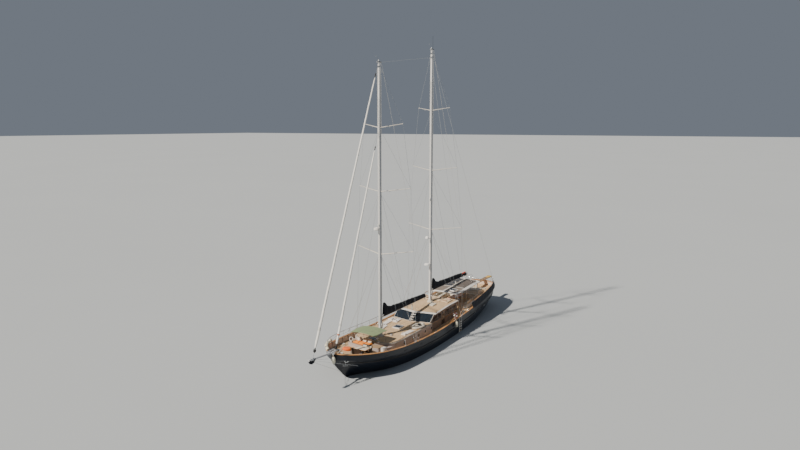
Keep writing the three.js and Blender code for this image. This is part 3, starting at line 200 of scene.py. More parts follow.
def faired(places, values):
    """A smooth curve through values at rising or falling places, as a function of the place."""
    slopes = [(b - a) / (q - p) for a, b, p, q in zip(values, values[1:], places, places[1:])]
    tangents = [slopes[0]]
    for i in range(1, len(slopes)):
        before, after = abs(places[i] - places[i - 1]), abs(places[i + 1] - places[i])
        tangents.append((slopes[i - 1] * after + slopes[i] * before) / (before + after))
    tangents.append(slopes[-1])
    falling = places[0] > places[-1]

    def curve(at):
        k = 0
        while k < len(places) - 2 and ((at < places[k + 1]) if falling else (at > places[k + 1])):
            k += 1
        run = places[k + 1] - places[k]
        t = (at - places[k]) / run
        rest = 1 - t
        return (values[k] * (1 + 2 * t) * rest ** 2 + values[k + 1] * (3 - 2 * t) * t ** 2
                + run * (tangents[k] * t * rest ** 2 - tangents[k + 1] * t ** 2 * rest))

    return curve


FRAME_XS = [row[0] for row in OFFSETS]
bottom_at = faired(FRAME_XS, [row[1] for row in OFFSETS])
breadths_at = [faired(FRAME_XS, [row[2 + k] for row in OFFSETS]) for k in range(len(LEVELS))]


def rail_top(x):
    low_x, low_z = SHEER_LOW
    if x > low_x:
        return low_z + SHEER_RISE[0] * ((x - low_x) / (STEM - low_x)) ** 2 + SHEER_LIFT
    return low_z + SHEER_RISE[1] * ((low_x - x) / (low_x - STERN)) ** 1.25 + SHEER_LIFT


def sheer(x):
    """Height of the hull's top plank, where the deck and the bulwark stand."""
    return rail_top(x) - RAIL_THICK - BULWARK_HIGH


def half_at(x, level):
    return faired(LEVELS, [curve(x) for curve in breadths_at])(level)


def skin(x, z):
    """Half-breadth of the hull at a height."""
    return half_at(x, (z - bottom_at(x)) / (sheer(x) - bottom_at(x)))


def deck_half(x):
    return max(breadths_at[-1](x), 0.0)


def ring_xs(steps=PLANK_STEPS):
    spans = zip(FRAME_XS, FRAME_XS[1:])
    return [a + (b - a) * k / steps for a, b in spans for k in range(steps)] + [FRAME_XS[-1]]


def around(count):
    """The angles of equal steps round a circle."""
    return [2 * math.pi * k / count for k in range(count)]


class Form:
    """The points and faces of one piece, gathered from rings, tubes and blocks."""

    def __init__(self):
        self.points = []
        self.faces = []
        self.coats = []             # each face's place in the piece's list of finishes
        self.coat = 0

    def put(self, points, faces):
        start = len(self.points)
        self.points += [tuple(point) for point in points]
        self.faces += [[start + i for i in face] for face in faces]
        self.coats += [self.coat] * len(faces)

    def loft(self, rings, ends=True, closed=True, looped=False):
        """A skin through rings of equal count. Looped joins the last ring to the first."""
        count = len(rings[0])
        faces = []
        for k in range(len(rings) - (0 if looped else 1)):
            here, there = k * count, (k + 1) % len(rings) * count
            for i in range(count if closed else count - 1):
                j = (i + 1) % count
                faces.append([here + i, here + j, there + j, there + i])
        if ends and not looped:
            faces.append(list(range(count))[::-1])
            faces.append([(len(rings) - 1) * count + i for i in range(count)])
        self.put([point for ring in rings for point in ring], faces)

    def tube(self, path, radius, sides=8, looped=False):
        """A round bar along a path. The radius is one number or one for each point."""
        path = [Vector(point) for point in path]
        radii = radius if isinstance(radius, (list, tuple)) else [radius] * len(path)
        last = len(path) - 1
        normal = None
        rings = []
        for k, point in enumerate(path):
            ahead = path[(k + 1) % len(path)] if looped else path[min(k + 1, last)]
            behind = path[k - 1] if looped else path[max(k - 1, 0)]
            along = (ahead - behind).normalized()
            if normal is None:
                normal = along.cross(Vector((0, 0, 1)) if abs(along.z) < 0.9 else Vector((0, 1, 0)))
            normal = (normal - along * normal.dot(along)).normalized()
            side = along.cross(normal)
            rings.append([point + (normal * math.cos(a) + side * math.sin(a)) * radii[k]
                          for a in around(sides)])
        self.loft(rings, looped=looped)

    def block(self, low, high, edge=0.01, turn=None, segments=2):
        """A block with rounded edges between two corners, turned about its middle if asked."""
        low, high = Vector(low), Vector(high)
        middle, size = (low + high) / 2, high - low
        made = bmesh.new()
        bmesh.ops.create_cube(made, size=1, matrix=Matrix.Diagonal((*size, 1)))
        if edge:
            bmesh.ops.bevel(made, geom=made.edges[:], offset=min(edge, min(size) * 0.48),
                            segments=segments, profile=0.5, affect="EDGES")
        place = Matrix.Translation(middle) @ (turn.to_4x4() if turn else Matrix.Identity(4))
        self.put([place @ v.co for v in made.verts], [[v.index for v in f.verts] for f in made.faces])
        made.free()

    def turned(self, profile, at, axis=(0, 0, 1), sides=20):
        """A profile of (radius, along) turned about an axis through a point. It starts and ends on it."""
        axis = Vector(axis).normalized()
        across = axis.cross(Vector((1, 0, 0)) if abs(axis.x) < 0.9 else Vector((0, 0, 1))).normalized()
        side = axis.cross(across)
        rings = [[Vector(at) + axis * along + (across * math.cos(a) + side * math.sin(a))
                  * max(radius, 1e-4) for a in around(sides)] for radius, along in profile]
        self.loft(rings)

    def mirrored(self):
        """Adds the other side of everything so far."""
        faces = [face[::-1] for face in self.faces]
        coats = list(self.coats)
        self.put([(x, -y, z) for x, y, z in self.points], faces)
        self.coats[-len(faces):] = coats

    def piece(self, name, finishes, body="hull_and_house", slot=None, smooth=38, replaces=()):
        """The finished piece: faces outward, smooth but at its edges, riding on its body."""
        mesh = bpy.data.meshes.new(name)
        mesh.from_pydata(self.points, [], self.faces)
        mesh.validate()
        for material in finishes:
            mesh.materials.append(material)
        mesh.polygons.foreach_set("material_index", self.coats)
        work = bmesh.new()
        work.from_mesh(mesh)
        bmesh.ops.remove_doubles(work, verts=work.verts[:], dist=1e-5)
        bmesh.ops.recalc_face_normals(work, faces=work.faces[:])
        work.to_mesh(mesh)
        work.free()
        mesh.polygons.foreach_set("use_smooth", [True] * len(mesh.polygons))
        mesh.set_sharp_from_angle(angle=math.radians(smooth))
        made = bpy.data.objects.new(name, mesh)
        bpy.context.scene.collection.objects.link(made)
        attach(made, body)
        if replaces:
            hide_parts(*replaces)
        return made


BOTTOM_RED = ((0.060, 0.018, 0.014), (0.105, 0.038, 0.028))


def topside_paint(start):
    """Near-black navy enamel over planks, dulled by salt in streaks, and bottom paint under water."""
    place = start.place()
    height = place.part("Z")
    streaks = place.stretched(1.0, 1.0, 0.12).cloud(0.9, 5.0)
    patches = place.cloud(0.22, 2.0)
    seams = place.stretched(0.05, 0.05, 6.0).cloud(1.0, 0.0)
    salt = streaks * patches * 1.3
    paint = salt.mix((0.0040, 0.0058, 0.0120), (0.0110, 0.0160, 0.0270))
    growth = place.cloud(2.2, 6.0)
    bottom = growth.mix(*BOTTOM_RED)
    boot = (height > 0.02) * (height < 0.14)
    lined = boot.mix(paint, (0.018, 0.020, 0.023))
    return {
        "Base Color": (height > 0.02).mix(bottom, lined),
        "Roughness": (height < 0.02) * 0.42 + patches * 0.16 + 0.24,
        "Normal": (seams * 0.6 + growth * 0.2).raised(0.004),
    }


hull_paint = finish("hull_paint", {"Specular IOR Level": 0.34, "Coat Weight": 0.12, "Coat Roughness": 0.12},
                    topside_paint)
HULL_RINGS = ring_xs()
SKIN_LEVELS = [k / 22 for k in range(23)]
KEEL_HALF = 0.13
KEEL = [(14.2, -0.9), (12.7, -1.5), (9.6, -2.25), (5.0, -2.75), (-1.5, -3.0), (-13.3, -3.0),
        (-13.3, -2.82), (-11.5, -2.82), (-11.5, -0.7), (12.0, -0.7)]
hull = Form()
for side in (1, -1):
    hull.loft([[(x, side * half_at(x, t), bottom_at(x) + (sheer(x) - bottom_at(x)) * t)
                for t in SKIN_LEVELS]
               for x in HULL_RINGS], ends=False, closed=False)
hull.loft([[(x, deck_half(x), sheer(x)), (x, 0, sheer(x)), (x, -deck_half(x), sheer(x))]
           for x in HULL_RINGS],
          ends=False, closed=False)
hull.loft([[(x, half_at(x, 0), bottom_at(x)), (x, 0, bottom_at(x) - 0.01),
            (x, -half_at(x, 0), bottom_at(x))]
           for x in HULL_RINGS], ends=False, closed=False)
for x in (STEM, STERN):
    ring = [(x, half_at(x, t), bottom_at(x) + (sheer(x) - bottom_at(x)) * t) for t in SKIN_LEVELS]
    hull.put(ring + [(px, -py, pz) for px, py, pz in reversed(ring)], [list(range(2 * len(ring)))])
KEEL_EDGE = 0.05
STERN_TUBE_AT = (-11.44, 0, -1.75)
hull.loft([[(x, y, z + (KEEL_EDGE if abs(y) == KEEL_HALF and z < -2.9 else 0)) for x, z in KEEL]
           for y in (-KEEL_HALF, KEEL_EDGE - KEEL_HALF, KEEL_HALF - KEEL_EDGE, KEEL_HALF)])
hull.turned([(0, 0), (0.17, 0), (0.165, 0.1), (0.13, 0.3), (0, 0.3)], STERN_TUBE_AT, (-1, 0, 0))
hull.piece("hull_planking", [hull_paint], slot="hull_paint", replaces=["hull"])


# The rubbing strake. A half-round ironwood batten bolted along the planking below the deck line and
# painted with it, with a brass wearing strip that has gone brown.
STRAKE_DROP = 0.30                  # below the top plank
STRAKE_HIGH = 0.05
STRAKE_OUT = 0.055


def clouded(scale, detail, dark, pale, rough, depth=0.0, stretch=None, coarse=0.55):
    """A look in one cloud of wear. It picks between two colours, rough is its gain and the least
    roughness, and depth is how far it stands up in metres."""

    def look(start):
        place = start.place().stretched(*stretch) if stretch else start.place()
        wear = place.cloud(scale, detail, coarse)
        sockets = {"Base Color": wear.mix(dark, pale), "Roughness": wear * rough[0] + rough[1]}
        if depth:
            sockets["Normal"] = wear.raised(depth)
        return sockets

    return look


tarnished_brass = finish("tarnished_brass", {"Metallic": 0.7},
                         clouded(6.0, 5.0, (0.030, 0.024, 0.016), (0.085, 0.062, 0.034), (0.3, 0.35)))
# Polished stainless, with a few water spots
stainless = finish("stainless_steel", {"Metallic": 1.0},
                   clouded(9.0, 4.0, (0.60, 0.61, 0.62), (0.74, 0.75, 0.76), (0.14, 0.16)))


strake = Form()
strake_xs = [x for x in ring_xs(6) if STERN + 0.35 < x < STEM - 0.5]


def along_side(outline):
    """Carries an outline of (out, up) from the hull's skin along both sides."""
    for side in (1, -1):
        strake.loft([[(x, side * (skin(x, sheer(x) - STRAKE_DROP) + out), sheer(x) - STRAKE_DROP + up)
                      for out, up in outline] for x in strake_xs])


along_side([(-0.03, STRAKE_HIGH), (STRAKE_OUT * 0.7, STRAKE_HIGH * 0.8), (STRAKE_OUT, 0.02),
            (STRAKE_OUT, -0.02), (STRAKE_OUT * 0.7, -STRAKE_HIGH * 0.8), (-0.03, -STRAKE_HIGH)])
strake.coat = 1
along_side([(STRAKE_OUT - 0.004, 0.018), (STRAKE_OUT + 0.006, 0.012), (STRAKE_OUT + 0.006, -0.012),
            (STRAKE_OUT - 0.004, -0.018)])
strake.piece("rubbing_strake", [hull_paint, tarnished_brass], slot="hull_paint")


# Portholes in the after planking and in the cabin trunk. Each is thick dark glass in a turned metal
# ring, through-bolted with eight dome nuts, over a dark inside.
dark_glass = clouded(1.5, 4.0, (0.006, 0.010, 0.016), (0.016, 0.024, 0.034), (0.08, 0.03))
glass = finish("tinted_glass", {"Coat Weight": 0.6, "Coat Roughness": 0.03, "Specular IOR Level": 0.55},
               dark_glass)
side_glass = finish("side_window_glass", {"Specular IOR Level": 0.2}, dark_glass)
PORT_RADIUS = 0.13
AFT_PORTS = (-7.3, -8.9, -10.5, -12.75)
AFT_PORT_Z = 1.42


def porthole(form, at, out, radius=PORT_RADIUS):
    """A port in a form whose coats are ring and glass. Out is the way that it faces."""
    out = Vector(out).normalized()
    form.coat = 0
    form.turned([(radius, 0.004), (radius + 0.006, 0.020), (radius + 0.018, 0.022), (radius + 0.026, 0.012),
                 (radius + 0.028, -0.03), (radius, -0.03)], at, out, 24)
    across = out.cross(Vector((0, 0, 1))).normalized()
    up = across.cross(out)
    for k in range(8):
        a = math.pi * (k + 0.5) / 4
        nut = Vector(at) + (across * math.cos(a) + up * math.sin(a)) * (radius + 0.012) + out * 0.019
        form.turned([(0, 0), (0.006, 0), (0.005, 0.005), (0, 0.007)], nut, out, 8)
    form.coat = 1
    form.turned([(0, 0.0), (radius + 0.004, 0.0), (radius + 0.004, 0.008), (0, 0.014)], at, out, 24)


hull_ports = Form()
for x in AFT_PORTS:
    y = skin(x, AFT_PORT_Z)
    slope = Vector((skin(x - 0.1, AFT_PORT_Z) - skin(x + 0.1, AFT_PORT_Z), 0.2, 0))
    lean = skin(x, AFT_PORT_Z - 0.1) - skin(x, AFT_PORT_Z + 0.1)
    porthole(hull_ports, (x, y, AFT_PORT_Z), (slope.x, slope.y, lean))
hull_ports.mirrored()
hull_ports.piece("hull_portholes", [stainless, side_glass], slot="steel")


# The bulwark. Planking on stanchions stands on the edge of the deck and flares out a little. It is
# painted with the hull outside and buff inside, and varnished ledge and frames show inboard.
BULWARK_THICK = 0.08
BULWARK_FLARE = 0.06
SEAM = 0.0003                       # between pieces that touch
# Points along the port edge of the deck, from the stem past the middle aft, and the way inboard at each
EDGE = [Vector((x, deck_half(x), sheer(x))) for x in ring_xs()]
EDGE += [Vector((STERN - 0.03, 0.30, sheer(STERN))), Vector((STERN - 0.04, -0.10, sheer(STERN)))]
INBOARD = []
for behind, ahead in zip([EDGE[0]] + EDGE[:-1], EDGE[1:] + [EDGE[-1]]):
    along = ahead - behind
    INBOARD.append(Vector((-along.y, along.x, 0)).normalized())


def carried(form, outline):
    """An outline of (inboard, up) carried along the port edge, cut at the middle and mirrored."""
    half = Form()
    half.loft([[p + n * inside + Vector((0, 0, up)) for inside, up in outline]
               for p, n in zip(EDGE, INBOARD)])
    work = bmesh.new()
    vertices = [work.verts.new(point) for point in half.points]
    for face in half.faces:
        work.faces.new([vertices[i] for i in face])
    bmesh.ops.bisect_plane(work, geom=work.verts[:] + work.edges[:] + work.faces[:], plane_co=(0, 0, 0),
                           plane_no=(0, 1, 0), clear_inner=True)
    work.verts.index_update()
    port = [v.co.copy() for v in work.verts]
    faces = [[v.index for v in f.verts] for f in work.faces]
    work.free()
    form.put(port, faces)
    form.put([(p.x, -p.y, p.z) for p in port], [face[::-1] for face in faces])


# Buff enamel brushed over boards, with scuffs, made paler as painted light on the inner face in shade
shade_lightened_buff_paint = finish("shade_lightened_buff_paint", {}, clouded(2.5, 5.0, (0.54, 0.43, 0.345), (0.68, 0.56, 0.46),
                                              (0.2, 0.42), 0.002, (0.4, 0.4, 3.0)))
bulwark = Form()
outer_face = [(0.0, SEAM), (-BULWARK_FLARE * 0.45, BULWARK_HIGH * 0.5),
              (-BULWARK_FLARE, BULWARK_HIGH - SEAM)]
middle = BULWARK_THICK / 2
carried(bulwark, outer_face + [(middle - BULWARK_FLARE, BULWARK_HIGH - SEAM), (middle, SEAM)])
bulwark.coat = 1
carried(bulwark, [(middle, SEAM), (middle - BULWARK_FLARE, BULWARK_HIGH - SEAM),
                  (BULWARK_THICK - BULWARK_FLARE, BULWARK_HIGH - SEAM), (BULWARK_THICK, SEAM)])
FRAME_STEP = 1.15
x = 15.6
while x > STERN + 1.3:
    y, z = deck_half(x), sheer(x)
    turn = math.atan2(deck_half(x - 0.2) - deck_half(x + 0.2), 0.4)
    for side in (1, -1):
        bulwark.block((x - 0.05, side * (y - 0.10) - 0.045, z + 0.01),
                      (x + 0.05, side * (y - 0.10) + 0.045, z + BULWARK_HIGH), 0.012,
                      Matrix.Rotation(-side * turn, 3, "Z") @ Matrix.Rotation(-side * 0.10, 3, "X"))
    x -= FRAME_STEP
bulwark.piece("bulwark_planking", [hull_paint, shade_lightened_buff_paint], slot="hull_paint", replaces=["bulwark"])


# The cap rail. Wide iroko scarfed in long lengths over the bulwark, rounded on both edges and under many
# coats of varnish, which the sun has taken to honey.
RAIL_OUT = -BULWARK_FLARE - 0.06
RAIL_IN = 0.11


def varnish(start):
    """Clear varnish over straight-grained reddish wood, worn paler where hands and feet go."""
    place = start.place()
    grain = place.stretched(0.9, 14.0, 14.0).cloud(3.0, 6.0, 0.6)
    board = place.stretched(0.35, 0.35, 0.0).cloud(1.0, 1.0)
    worn = place.cloud(1.1, 3.0)
    wood = grain.mix((0.30, 0.105, 0.025), (0.62, 0.27, 0.075))
    honey = (board * 0.8).mix(wood, (0.66, 0.33, 0.11))
    return {"Base Color": (worn * 0.35).mix(honey, (0.58, 0.40, 0.22)), "Roughness": worn * 0.22 + 0.16,
            "Normal": grain.raised(0.0008)}


varnished = finish("varnished_wood", {"Coat Weight": 0.5, "Coat Roughness": 0.12}, varnish)
rail_low, rail_high = BULWARK_HIGH + SEAM, BULWARK_HIGH + RAIL_THICK
rail_outline = [(RAIL_OUT + 0.012, rail_low)]
for k in range(5):
    a = math.pi * (k / 4 - 0.5)
    rail_outline.append((RAIL_OUT + 0.028 - 0.028 * math.cos(a),
                         (rail_low + rail_high) / 2 + 0.0285 * math.sin(a)))
rail_outline.append((-0.005, rail_high + 0.006))
for k in range(5):
    a = math.pi * (0.5 - k / 4)
    rail_outline.append((RAIL_IN - 0.028 + 0.028 * math.cos(a),
                         (rail_low + rail_high) / 2 + 0.0285 * math.sin(a)))
rail_outline.append((RAIL_IN - 0.04, rail_low))
cap_rail = Form()
carried(cap_rail, rail_outline)
cap_rail.piece("cap_rail_varnished", [varnished], slot="varnish", replaces=["cap_rail"])


# Freeing ports along the foot of the bulwark. Each is a slot with rounded ends in a painted frame, with
# a black flap inside it.
black_rubber = finish("black_rubber", {}, clouded(7.0, 4.0, (0.012, 0.012, 0.013), (0.030, 0.030, 0.032),
                                                  (0.2, 0.5)))
FREEING_PORTS = (12.6, 9.6, 6.6, 3.6, 0.6, -2.9, -5.6, -8.4, -11.2, -13.4)
freeing = Form()
for x in FREEING_PORTS:
    y, z = deck_half(x) + BULWARK_FLARE * 0.25, sheer(x) + 0.13
    turn = Matrix.Rotation(-math.atan2(deck_half(x - 0.3) - deck_half(x + 0.3), 0.6), 3, "Z")
    freeing.coat = 0
    freeing.block((x - 0.30, y - 0.02, z - 0.07), (x + 0.30, y + 0.012, z + 0.07), 0.03, turn, 4)
    freeing.coat = 1
    freeing.block((x - 0.27, y - 0.01, z - 0.045), (x + 0.27, y + 0.017, z + 0.045), 0.03, turn, 4)
freeing.mirrored()
freeing.piece("freeing_ports", [hull_paint, black_rubber], slot="hull_paint")


# The deck. Teak planks 90 mm wide, laid fore and aft and payed with black rubber, inside a wider margin
# plank that follows the bulwark. Sun and salt have bleached them to a pale grey beige.
DECK_THICK = 0.03
PLANK_WIDE = 0.09
PAY_WIDE = 0.008
MARGIN_WIDE = 0.20


def planks(start):
    """Laid teak: each plank has its own tone, with fine grain along it and black seams between."""
    place = start.place()
    across = place.part("Y")
    row = start.math("FLOOR", across * (1 / PLANK_WIDE))
    seam = start.math("FRACT", across * (1 / PLANK_WIDE)) < PAY_WIDE / PLANK_WIDE
    along = place.part("X")
    butt = start.math("FRACT", along * 0.42 + row * 0.37) < 0.003
    length = start.math("FLOOR", along * 0.42 + row * 0.37)
    tone = start.node("TexWhiteNoise", {"noise_dimensions": "1D"}, {"W": row + length * 7.3})
    grain = place.stretched(1.2, 30.0, 1.0).cloud(2.0, 5.0, 0.6)
    damp = place.cloud(0.5, 4.0)
    wood = (tone * 0.55 + grain * 0.45).mix((0.53, 0.365, 0.205), (0.70, 0.490, 0.285))
    aged = (damp * 0.5).mix(wood, (0.54, 0.415, 0.275))
    dark = start.math("MAXIMUM", seam, butt)
    return {"Base Color": dark.mix(aged, (0.028, 0.026, 0.024)),
            "Roughness": tone * 0.12 + 0.62 - dark * 0.15, "Normal": (grain * 0.3 - dark).raised(0.0015)}


laid_teak = finish("laid_teak", {"Specular IOR Level": 0.3}, planks)


margin_teak = finish("margin_teak", {"Specular IOR Level": 0.3},
                     clouded(4.0, 6.0, (0.27, 0.175, 0.10), (0.44, 0.31, 0.195), (0.1, 0.55), 0.0008,
                             (2.0, 2.0, 2.0), 0.65))
deck = Form()
deck_rings = [x for x in HULL_RINGS if x <= 16.72]


def deck_level(x):
    return sheer(x) + SEAM + DECK_THICK


for side in (1, -1):
    deck.coat = 1
    rings = []
    for x in deck_rings:
        half, level = deck_half(x), deck_level(x)
        rings.append([(x, side * (half - BULWARK_THICK + 0.015), level - 0.028),
                      (x, side * (half - BULWARK_THICK + 0.015), level + 0.012),
                      (x, side * max(half - MARGIN_WIDE - 0.08, 0.02), level + 0.004),
                      (x, side * max(half - MARGIN_WIDE - 0.09, 0.01), level - 0.028)])
    deck.loft(rings)
deck.coat = 0
rings = []
for x in deck_rings:
    edge = max(deck_half(x) - MARGIN_WIDE - 0.085, 0.015)
    rings.append([(x, y, deck_level(x) + up) for y, up in
                  ((edge, -0.028), (edge, 0), (0, 0.002), (-edge, 0), (-edge, -0.028))])
deck.loft(rings)
deck.piece("deck_planking", [laid_teak, margin_teak], slot="teak", replaces=["deck"])


# The bowsprit. A tapered steel tube, painted grey, lies on the stem head between two bitts. Its end is
# boxed in navy canvas, and the stays below it are steel rod.
grey_paint = finish("grey_enamel", {}, clouded(2.2, 5.0, (0.44, 0.45, 0.47), (0.60, 0.61, 0.63),
                                               (0.18, 0.3), stretch=(1.5, 1.5, 0.3)))


def dressed(node, finishes, smooth=40, edge=0.0):
    """Gives a part its finish, softened edges if asked, and smooth shading between sharp ones."""
    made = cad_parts[node]
    made.data.materials.clear()
    for material in finishes:
        made.data.materials.append(material)
    made.data.polygons.foreach_set("material_index", [0] * len(made.data.polygons))
    if "custom_normal" in made.data.attributes:
        made.data.attributes.remove(made.data.attributes["custom_normal"])
    made.data.polygons.foreach_set("use_smooth", [True] * len(made.data.polygons))
    sharp = made.data.attributes.get("sharp_edge")
    if sharp:
        made.data.attributes.remove(sharp)
    weld = made.modifiers.new("weld", "WELD")
    weld.merge_threshold = 1e-5
    if edge:
        bevel = made.modifiers.new("edges", "BEVEL")
        bevel.width = edge
        bevel.segments = 2
        bevel.limit_method = "ANGLE"
        bevel.angle_limit = math.radians(smooth)
        bevel.harden_normals = True
    else:
        split = made.modifiers.new("edges", "EDGE_SPLIT")
        split.split_angle = math.radians(smooth)
    return made


UPRIGHT = ((1.0, 1.0, 0.2), (0.2, 0.2, 1.0))    # which way threads run in cloth that stands
FLAT = ((1.0, 0.2, 1.0), (0.2, 1.0, 1.0))       # and in cloth that lies


def woven(ways, threads, patches, dark, pale, least, parts, depth):
    """A look for cloth: crossing threads, and a cloud that fades the colour. Parts are the shares of both
    in the relief."""

    def look(start):
        place = start.place()
        weave = (place.stretched(*ways[0]).cloud(threads, 1.0)
                 + place.stretched(*ways[1]).cloud(threads, 1.0)) * 0.5
        fade = place.cloud(patches, 4.0)
        return {"Base Color": fade.mix(dark, pale), "Roughness": weave * 0.1 + least,
                "Normal": (weave * parts[0] + fade * parts[1]).raised(depth)}

    return look


cover_cloth = finish("navy_cover_cloth", {"Sheen Weight": 0.08, "Specular IOR Level": 0.2},
                     woven(UPRIGHT, 260.0, 0.9, (0.0050, 0.0062, 0.0110), (0.0190, 0.0220, 0.0310), 0.82,
                           (0.5, 0.5), 0.003))
dressed("bowsprit", [grey_paint])
dressed("bowsprit_stays", [stainless], smooth=65)
SPRIT_HEEL = Vector((16.35, 0, 3.038))
SPRIT_TIP = Vector((20.6, 0, 3.40))


def on_sprit(x):
    return SPRIT_HEEL.lerp(SPRIT_TIP, (x - SPRIT_HEEL.x) / (SPRIT_TIP.x - SPRIT_HEEL.x))


sprit_boot = Form()
for_boot = [on_sprit(x) for x in (19.75, 19.95, 20.2, 20.45, 20.585)]
sprit_boot.loft([[point + Vector((0, 0.125 * wide * math.sin(a), -0.02 - drop + 0.125 * wide * math.cos(a)
                                  - (drop if math.cos(a) < 0 else 0)))
                  for a in (2 * math.pi * (i + 0.5) / 16 for i in range(16))]
                 for point, wide, drop in zip(for_boot, (0.92, 1.0, 1.05, 1.0, 0.8),
                                              (0.0, 0.10, 0.14, 0.10, 0.02))])
sprit_boot.piece("bowsprit_boot", [cover_cloth], slot="sail_cover")


# Bow fittings. Two steel cheeks hold a roller on the sprit at the stem head, and a steel band down the stem
# keeps the chain off the planking.
bow_fittings = Form()
for side in (1, -1):
    bow_fittings.block((16.55, side * 0.30 - 0.03, 3.00), (17.55, side * 0.30 + 0.03, 3.30), 0.02)
bow_fittings.turned([(0, -0.31), (0.035, -0.31), (0.035, 0.31), (0, 0.31)], (17.45, 0, 3.20), (0, 1, 0), 16)
for side in (1, -1):
    bow_fittings.turned([(0, -0.11), (0.10, -0.11), (0.06, -0.03), (0.06, 0.03), (0.10, 0.11), (0, 0.11)],
                        (17.45, side * 0.19, 3.20), (0, 1, 0), 20)
stem_line = [(x, bottom_at(x)) for x in (17.10, 17.0, 16.85, 16.6, 16.4, 16.1, 15.9, 15.7)]
bow_fittings.loft([[(x + 0.012, 0.045, z - 0.006), (x + 0.012, -0.045, z - 0.006),
                    (x - 0.06, -0.06, z + 0.03), (x - 0.06, 0.06, z + 0.03)] for x, z in stem_line])
bow_fittings.piece("bow_fittings", [stainless], slot="steel")


# Windlass and chain. A steel windlass turns two warping heads and a gypsy on one shaft, and galvanised
# chain lies from the gypsy over the deck to the hawse on the port side.
bronze = finish("cast_bronze", {"Metallic": 1.0},
                clouded(8.0, 5.0, (0.20, 0.115, 0.045), (0.52, 0.33, 0.14), (0.25, 0.25)))


def galvanised_metal(start):
    """Hot-dipped zinc, with its spangle in low relief."""
    spangle = start.node("TexVoronoi", {}, {"Vector": start.place(), "Scale": 60.0}, 1)
    dull = start.place().cloud(10.0, 4.0)
    return {"Base Color": dull.mix((0.20, 0.205, 0.21), (0.38, 0.385, 0.39)),
            "Roughness": dull * 0.25 + 0.4, "Normal": spangle.part("X").raised(0.0006)}


galvanised = finish("galvanised_steel", {"Metallic": 0.8}, galvanised_metal)
dressed("windlass", [galvanised], edge=0.012)
dressed("windlass_drum", [bronze], edge=0.006)
LINK_PITCH = 0.075
LINK_WIRE = 0.011


def chain(form, path):
    """Round links along a path, each turned a quarter from the last."""
    path = [Vector(point) for point in path]
    spans = [(b - a).length for a, b in zip(path, path[1:])]
    count = int(sum(spans) / LINK_PITCH)
    for k in range(count):
        left = (k + 0.5) * LINK_PITCH
        i = 0
        while left > spans[i]:
            left -= spans[i]
            i += 1
        along = (path[i + 1] - path[i]).normalized()
        at = path[i] + along * left
        side = along.cross(Vector((0, 0, 1))).normalized()
        if k % 2:
            side = along.cross(side)
        loop = [at + along * (0.045 * math.cos(a) + (0.012 if math.cos(a) > 0 else -0.012)) + side * 0.026
                * math.sin(a) for a in around(12)]
        form.tube(loop, LINK_WIRE, 6, looped=True)


deck_chain = Form()
chain_z = deck_level(14.2)
chain(deck_chain, [(13.76, 0.0, 2.32), (14.05, 0.03, chain_z + 0.20), (14.4, 0.10, chain_z + 0.04),
                   (15.2, 0.32, deck_level(15.2) + 0.03), (15.85, 0.50, deck_level(15.85) + 0.03),
                   (16.05, 0.56, deck_level(16.1) + 0.10)])
deck_chain.piece("anchor_chain_on_deck", [galvanised], slot="steel")
hawse = Form()
hawse_at = Vector((16.42, skin(16.42, sheer(16.42) - 0.05) + 0.01, sheer(16.42) - 0.05))
hawse.tube([hawse_at + Vector((0.11 * math.cos(a), -0.11 * math.cos(a), 0.12 * math.sin(a)))
            for a in around(20)], 0.035, 8, looped=True)
hawse.turned([(0, -0.02), (0.11, -0.02), (0.11, 0.02), (0, 0.02)], (16.06, 0.58, deck_level(16.1) + 0.06),
             (-0.6, -0.3, 0.6), 16)
hawse.piece("hawse_pipe", [stainless], slot="steel")


# The anchor. A galvanised stockless anchor is stowed flat against the port bow, with its shank up to the
# hawse and its flukes along the planking.
dressed("anchor", [galvanised], edge=0.012)


# Guard rails. Stainless tube on stanchions, with a round base under each stanchion and a wire halfway up.
# On the port bow there is none.
for node in ("guard_rail_fore", "guard_rail_port", "guard_rail_starboard"):
    dressed(node, [stainless], smooth=65)
RAIL_INSET = 0.045
RAIL_HIGH = 0.62
GUARD_FORE = (16.3, 15.3, 14.0, 12.5, 10.9, 9.5, 7.0, 5.6, 4.2, 2.8)
GUARD_AFT = (-3.7, -5.2, -7.0, -8.8, -10.6, -12.4, -14.2)
guard_wires = Form()
for side, runs in ((1, [GUARD_AFT]), (-1, [GUARD_FORE, GUARD_AFT])):
    for posts in runs:
        feet = [Vector((x, side * (deck_half(x) - RAIL_INSET), rail_top(x))) for x in posts]
        guard_wires.tube([foot + Vector((0, 0, RAIL_HIGH * 0.5)) for foot in feet], 0.006, 6)
        for foot in feet:
            guard_wires.turned([(0, -0.01), (0.055, -0.01), (0.055, 0.012), (0.035, 0.018), (0.030, 0.06),
                                (0, 0.06)],
                               foot, (0, 0, 1), 14)
guard_wires.piece("guard_rail_wires_and_bases", [stainless], slot="steel")


# The cabin trunk. Its sides are painted grey pink, made paler as painted bounce light in their shade, and
# lean in a little, with a rounded beige shoulder and a curved fore end, and the top is laid with teak
# inside the beige margin.
TRUNK_TOP = 2.35
TRUNK_AFT = 2.42
TRUNK_EDGE = [(TRUNK_AFT, 2.64), (6.0, 2.61), (9.3, 2.56), (10.2, 2.33), (10.7, 1.75), (10.89, 0.90),
              (10.93, 0.0)]


def house_enamel(dark, pale, least):
    """Enamel in soft patches, with runs under the ports."""

    def look(start):
        place = start.place()
        run = place.stretched(1.2, 1.2, 0.2).cloud(1.6, 5.0)
        patch = place.cloud(0.6, 3.0)
        return {"Base Color": (run * 0.6 + patch * 0.4).mix(dark, pale), "Roughness": run * 0.15 + least}

    return look
